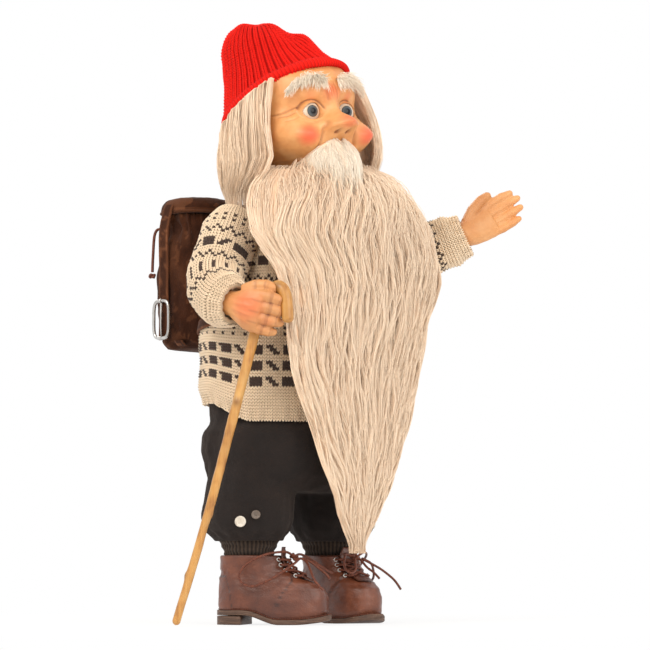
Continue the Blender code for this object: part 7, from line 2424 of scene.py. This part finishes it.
def make_stage():
    """Pale floor that keeps the doll's shadow and turns white towards its edge."""
    columns, rows_count = 96, 40
    reach = np.geomspace(0.02, 14.0, rows_count)
    angle = circle(columns)
    grid = np.stack([reach[:, None] * np.cos(angle)[None], reach[:, None] * np.sin(angle)[None],
                     np.zeros((rows_count, columns))], axis=-1)
    verts = np.concatenate([grid.reshape(-1, 3), [[0.0, 0.0, 0.0]]])
    shader = Shader("pale_floor", 0.9)
    tree = shader.tree
    shader.finish(shader.mix(shader.noise(3.0), (0.90, 0.90, 0.90), (0.93, 0.93, 0.93)))
    glow = shader.add("Emission", Color=(1.0, 1.0, 1.0), Strength=1.0)
    away = shader.add("VectorMath", {"operation": "LENGTH"})
    shader.put(away, "0", shader.place())
    white = shader.fade(away.outputs["Value"], *FLOOR_WHITENS, 0.80, 1.0)
    share = shader.math("MULTIPLY", seen_rays(tree), white)
    blend_shaders(tree, share, shader.surface.outputs["BSDF"], glow.outputs["Emission"],
                  tree.nodes["Material Output"])
    faces = [grid_faces(rows_count, columns), fan(columns, 0, len(verts) - 1)]
    make_mesh("floor", verts, faces, shader.material)


def make_world():
    """Warm light from all round, and plain white wherever the surroundings are seen."""
    world = bpy.data.worlds.new("studio")
    bpy.context.scene.world = world
    world.use_nodes = True
    tree = world.node_tree
    base = tree.nodes["Background"]
    white = tree.nodes.new("ShaderNodeBackground")
    for node, colour, strength in ((base, (1.0, 0.97, 0.93, 1.0), 0.80),
                                   (white, (1.0, 1.0, 1.0, 1.0), 1.0)):
        node.inputs["Color"].default_value = colour
        node.inputs["Strength"].default_value = strength
    blend_shaders(tree, seen_rays(tree), base.outputs["Background"], white.outputs["Background"],
                  tree.nodes["World Output"])


# Name, azimuth from the front towards the doll's left, height, distance, size, watts and colour
LAMPS = [
    ("key", -80, 1.15, 1.15, 0.8, 10.5, (1.0, 0.94, 0.86)),
    ("fill", -10, 0.75, 1.4, 1.1, 8.0, (1.0, 0.96, 0.90)),
    ("rim", 150, 1.2, 1.2, 0.7, 6.0, (1.0, 0.95, 0.88)),
]


def make_lamps():
    """Round lamps, aimed at the doll's middle."""
    for name, degrees, height, distance, size, power, colour in LAMPS:
        data = bpy.data.lights.new(name, "AREA")
        data.shape = "DISK"
        data.size = size
        data.energy = power
        data.color = colour
        lamp = bpy.data.objects.new(name, data)
        turn = math.radians(degrees)
        place = AXIS + Vector((math.sin(turn) * distance, -math.cos(turn) * distance, height))
        lamp.location = place
        target = AXIS + Vector((0.0, 0.0, 0.22))
        lamp.rotation_euler = (target - place).to_track_quat("-Z", "Y").to_euler()
        bpy.context.scene.collection.objects.link(lamp)


def dress_kept_nodes(finishes):
    """Materials of the CAD pieces that stay as they are, inside the clothes."""
    kept = {"torso_core": "stuffing", "arm_core_right": "stuffing", "arm_core_left": "stuffing",
            "leg_core_right": "wood", "leg_core_left": "wood", "neck_post": "wood"}
    for node, finish in kept.items():
        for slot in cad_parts[node].material_slots:
            slot.material = finishes[finish]


def main():
    random = np.random.default_rng(24)
    set_camera()
    finishes = make_finishes()
    make_cords(finishes)
    make_stage()
    make_world()
    make_lamps()
    dress_kept_nodes(finishes)
    for side_name in SIDES:
        make_upper(side_name, finishes)
        make_sole(side_name, finishes)
        make_lacing(side_name, finishes)
        make_sock(side_name, finishes)
        make_sleeve(side_name, finishes)
        make_hand(side_name, finishes)
    make_trousers(finishes)
    make_buttons(finishes)
    make_sweater(finishes)
    make_stick(finishes)
    make_head(finishes)
    make_eyes(finishes)
    make_beard(finishes, random)
    make_moustache(finishes, random)
    make_brows(finishes, random)
    make_wig(finishes, random)
    make_hat(finishes)
    make_bag(finishes)
    make_lid(finishes)
    make_keepers(finishes)
    make_shoulder_straps(finishes)


main()
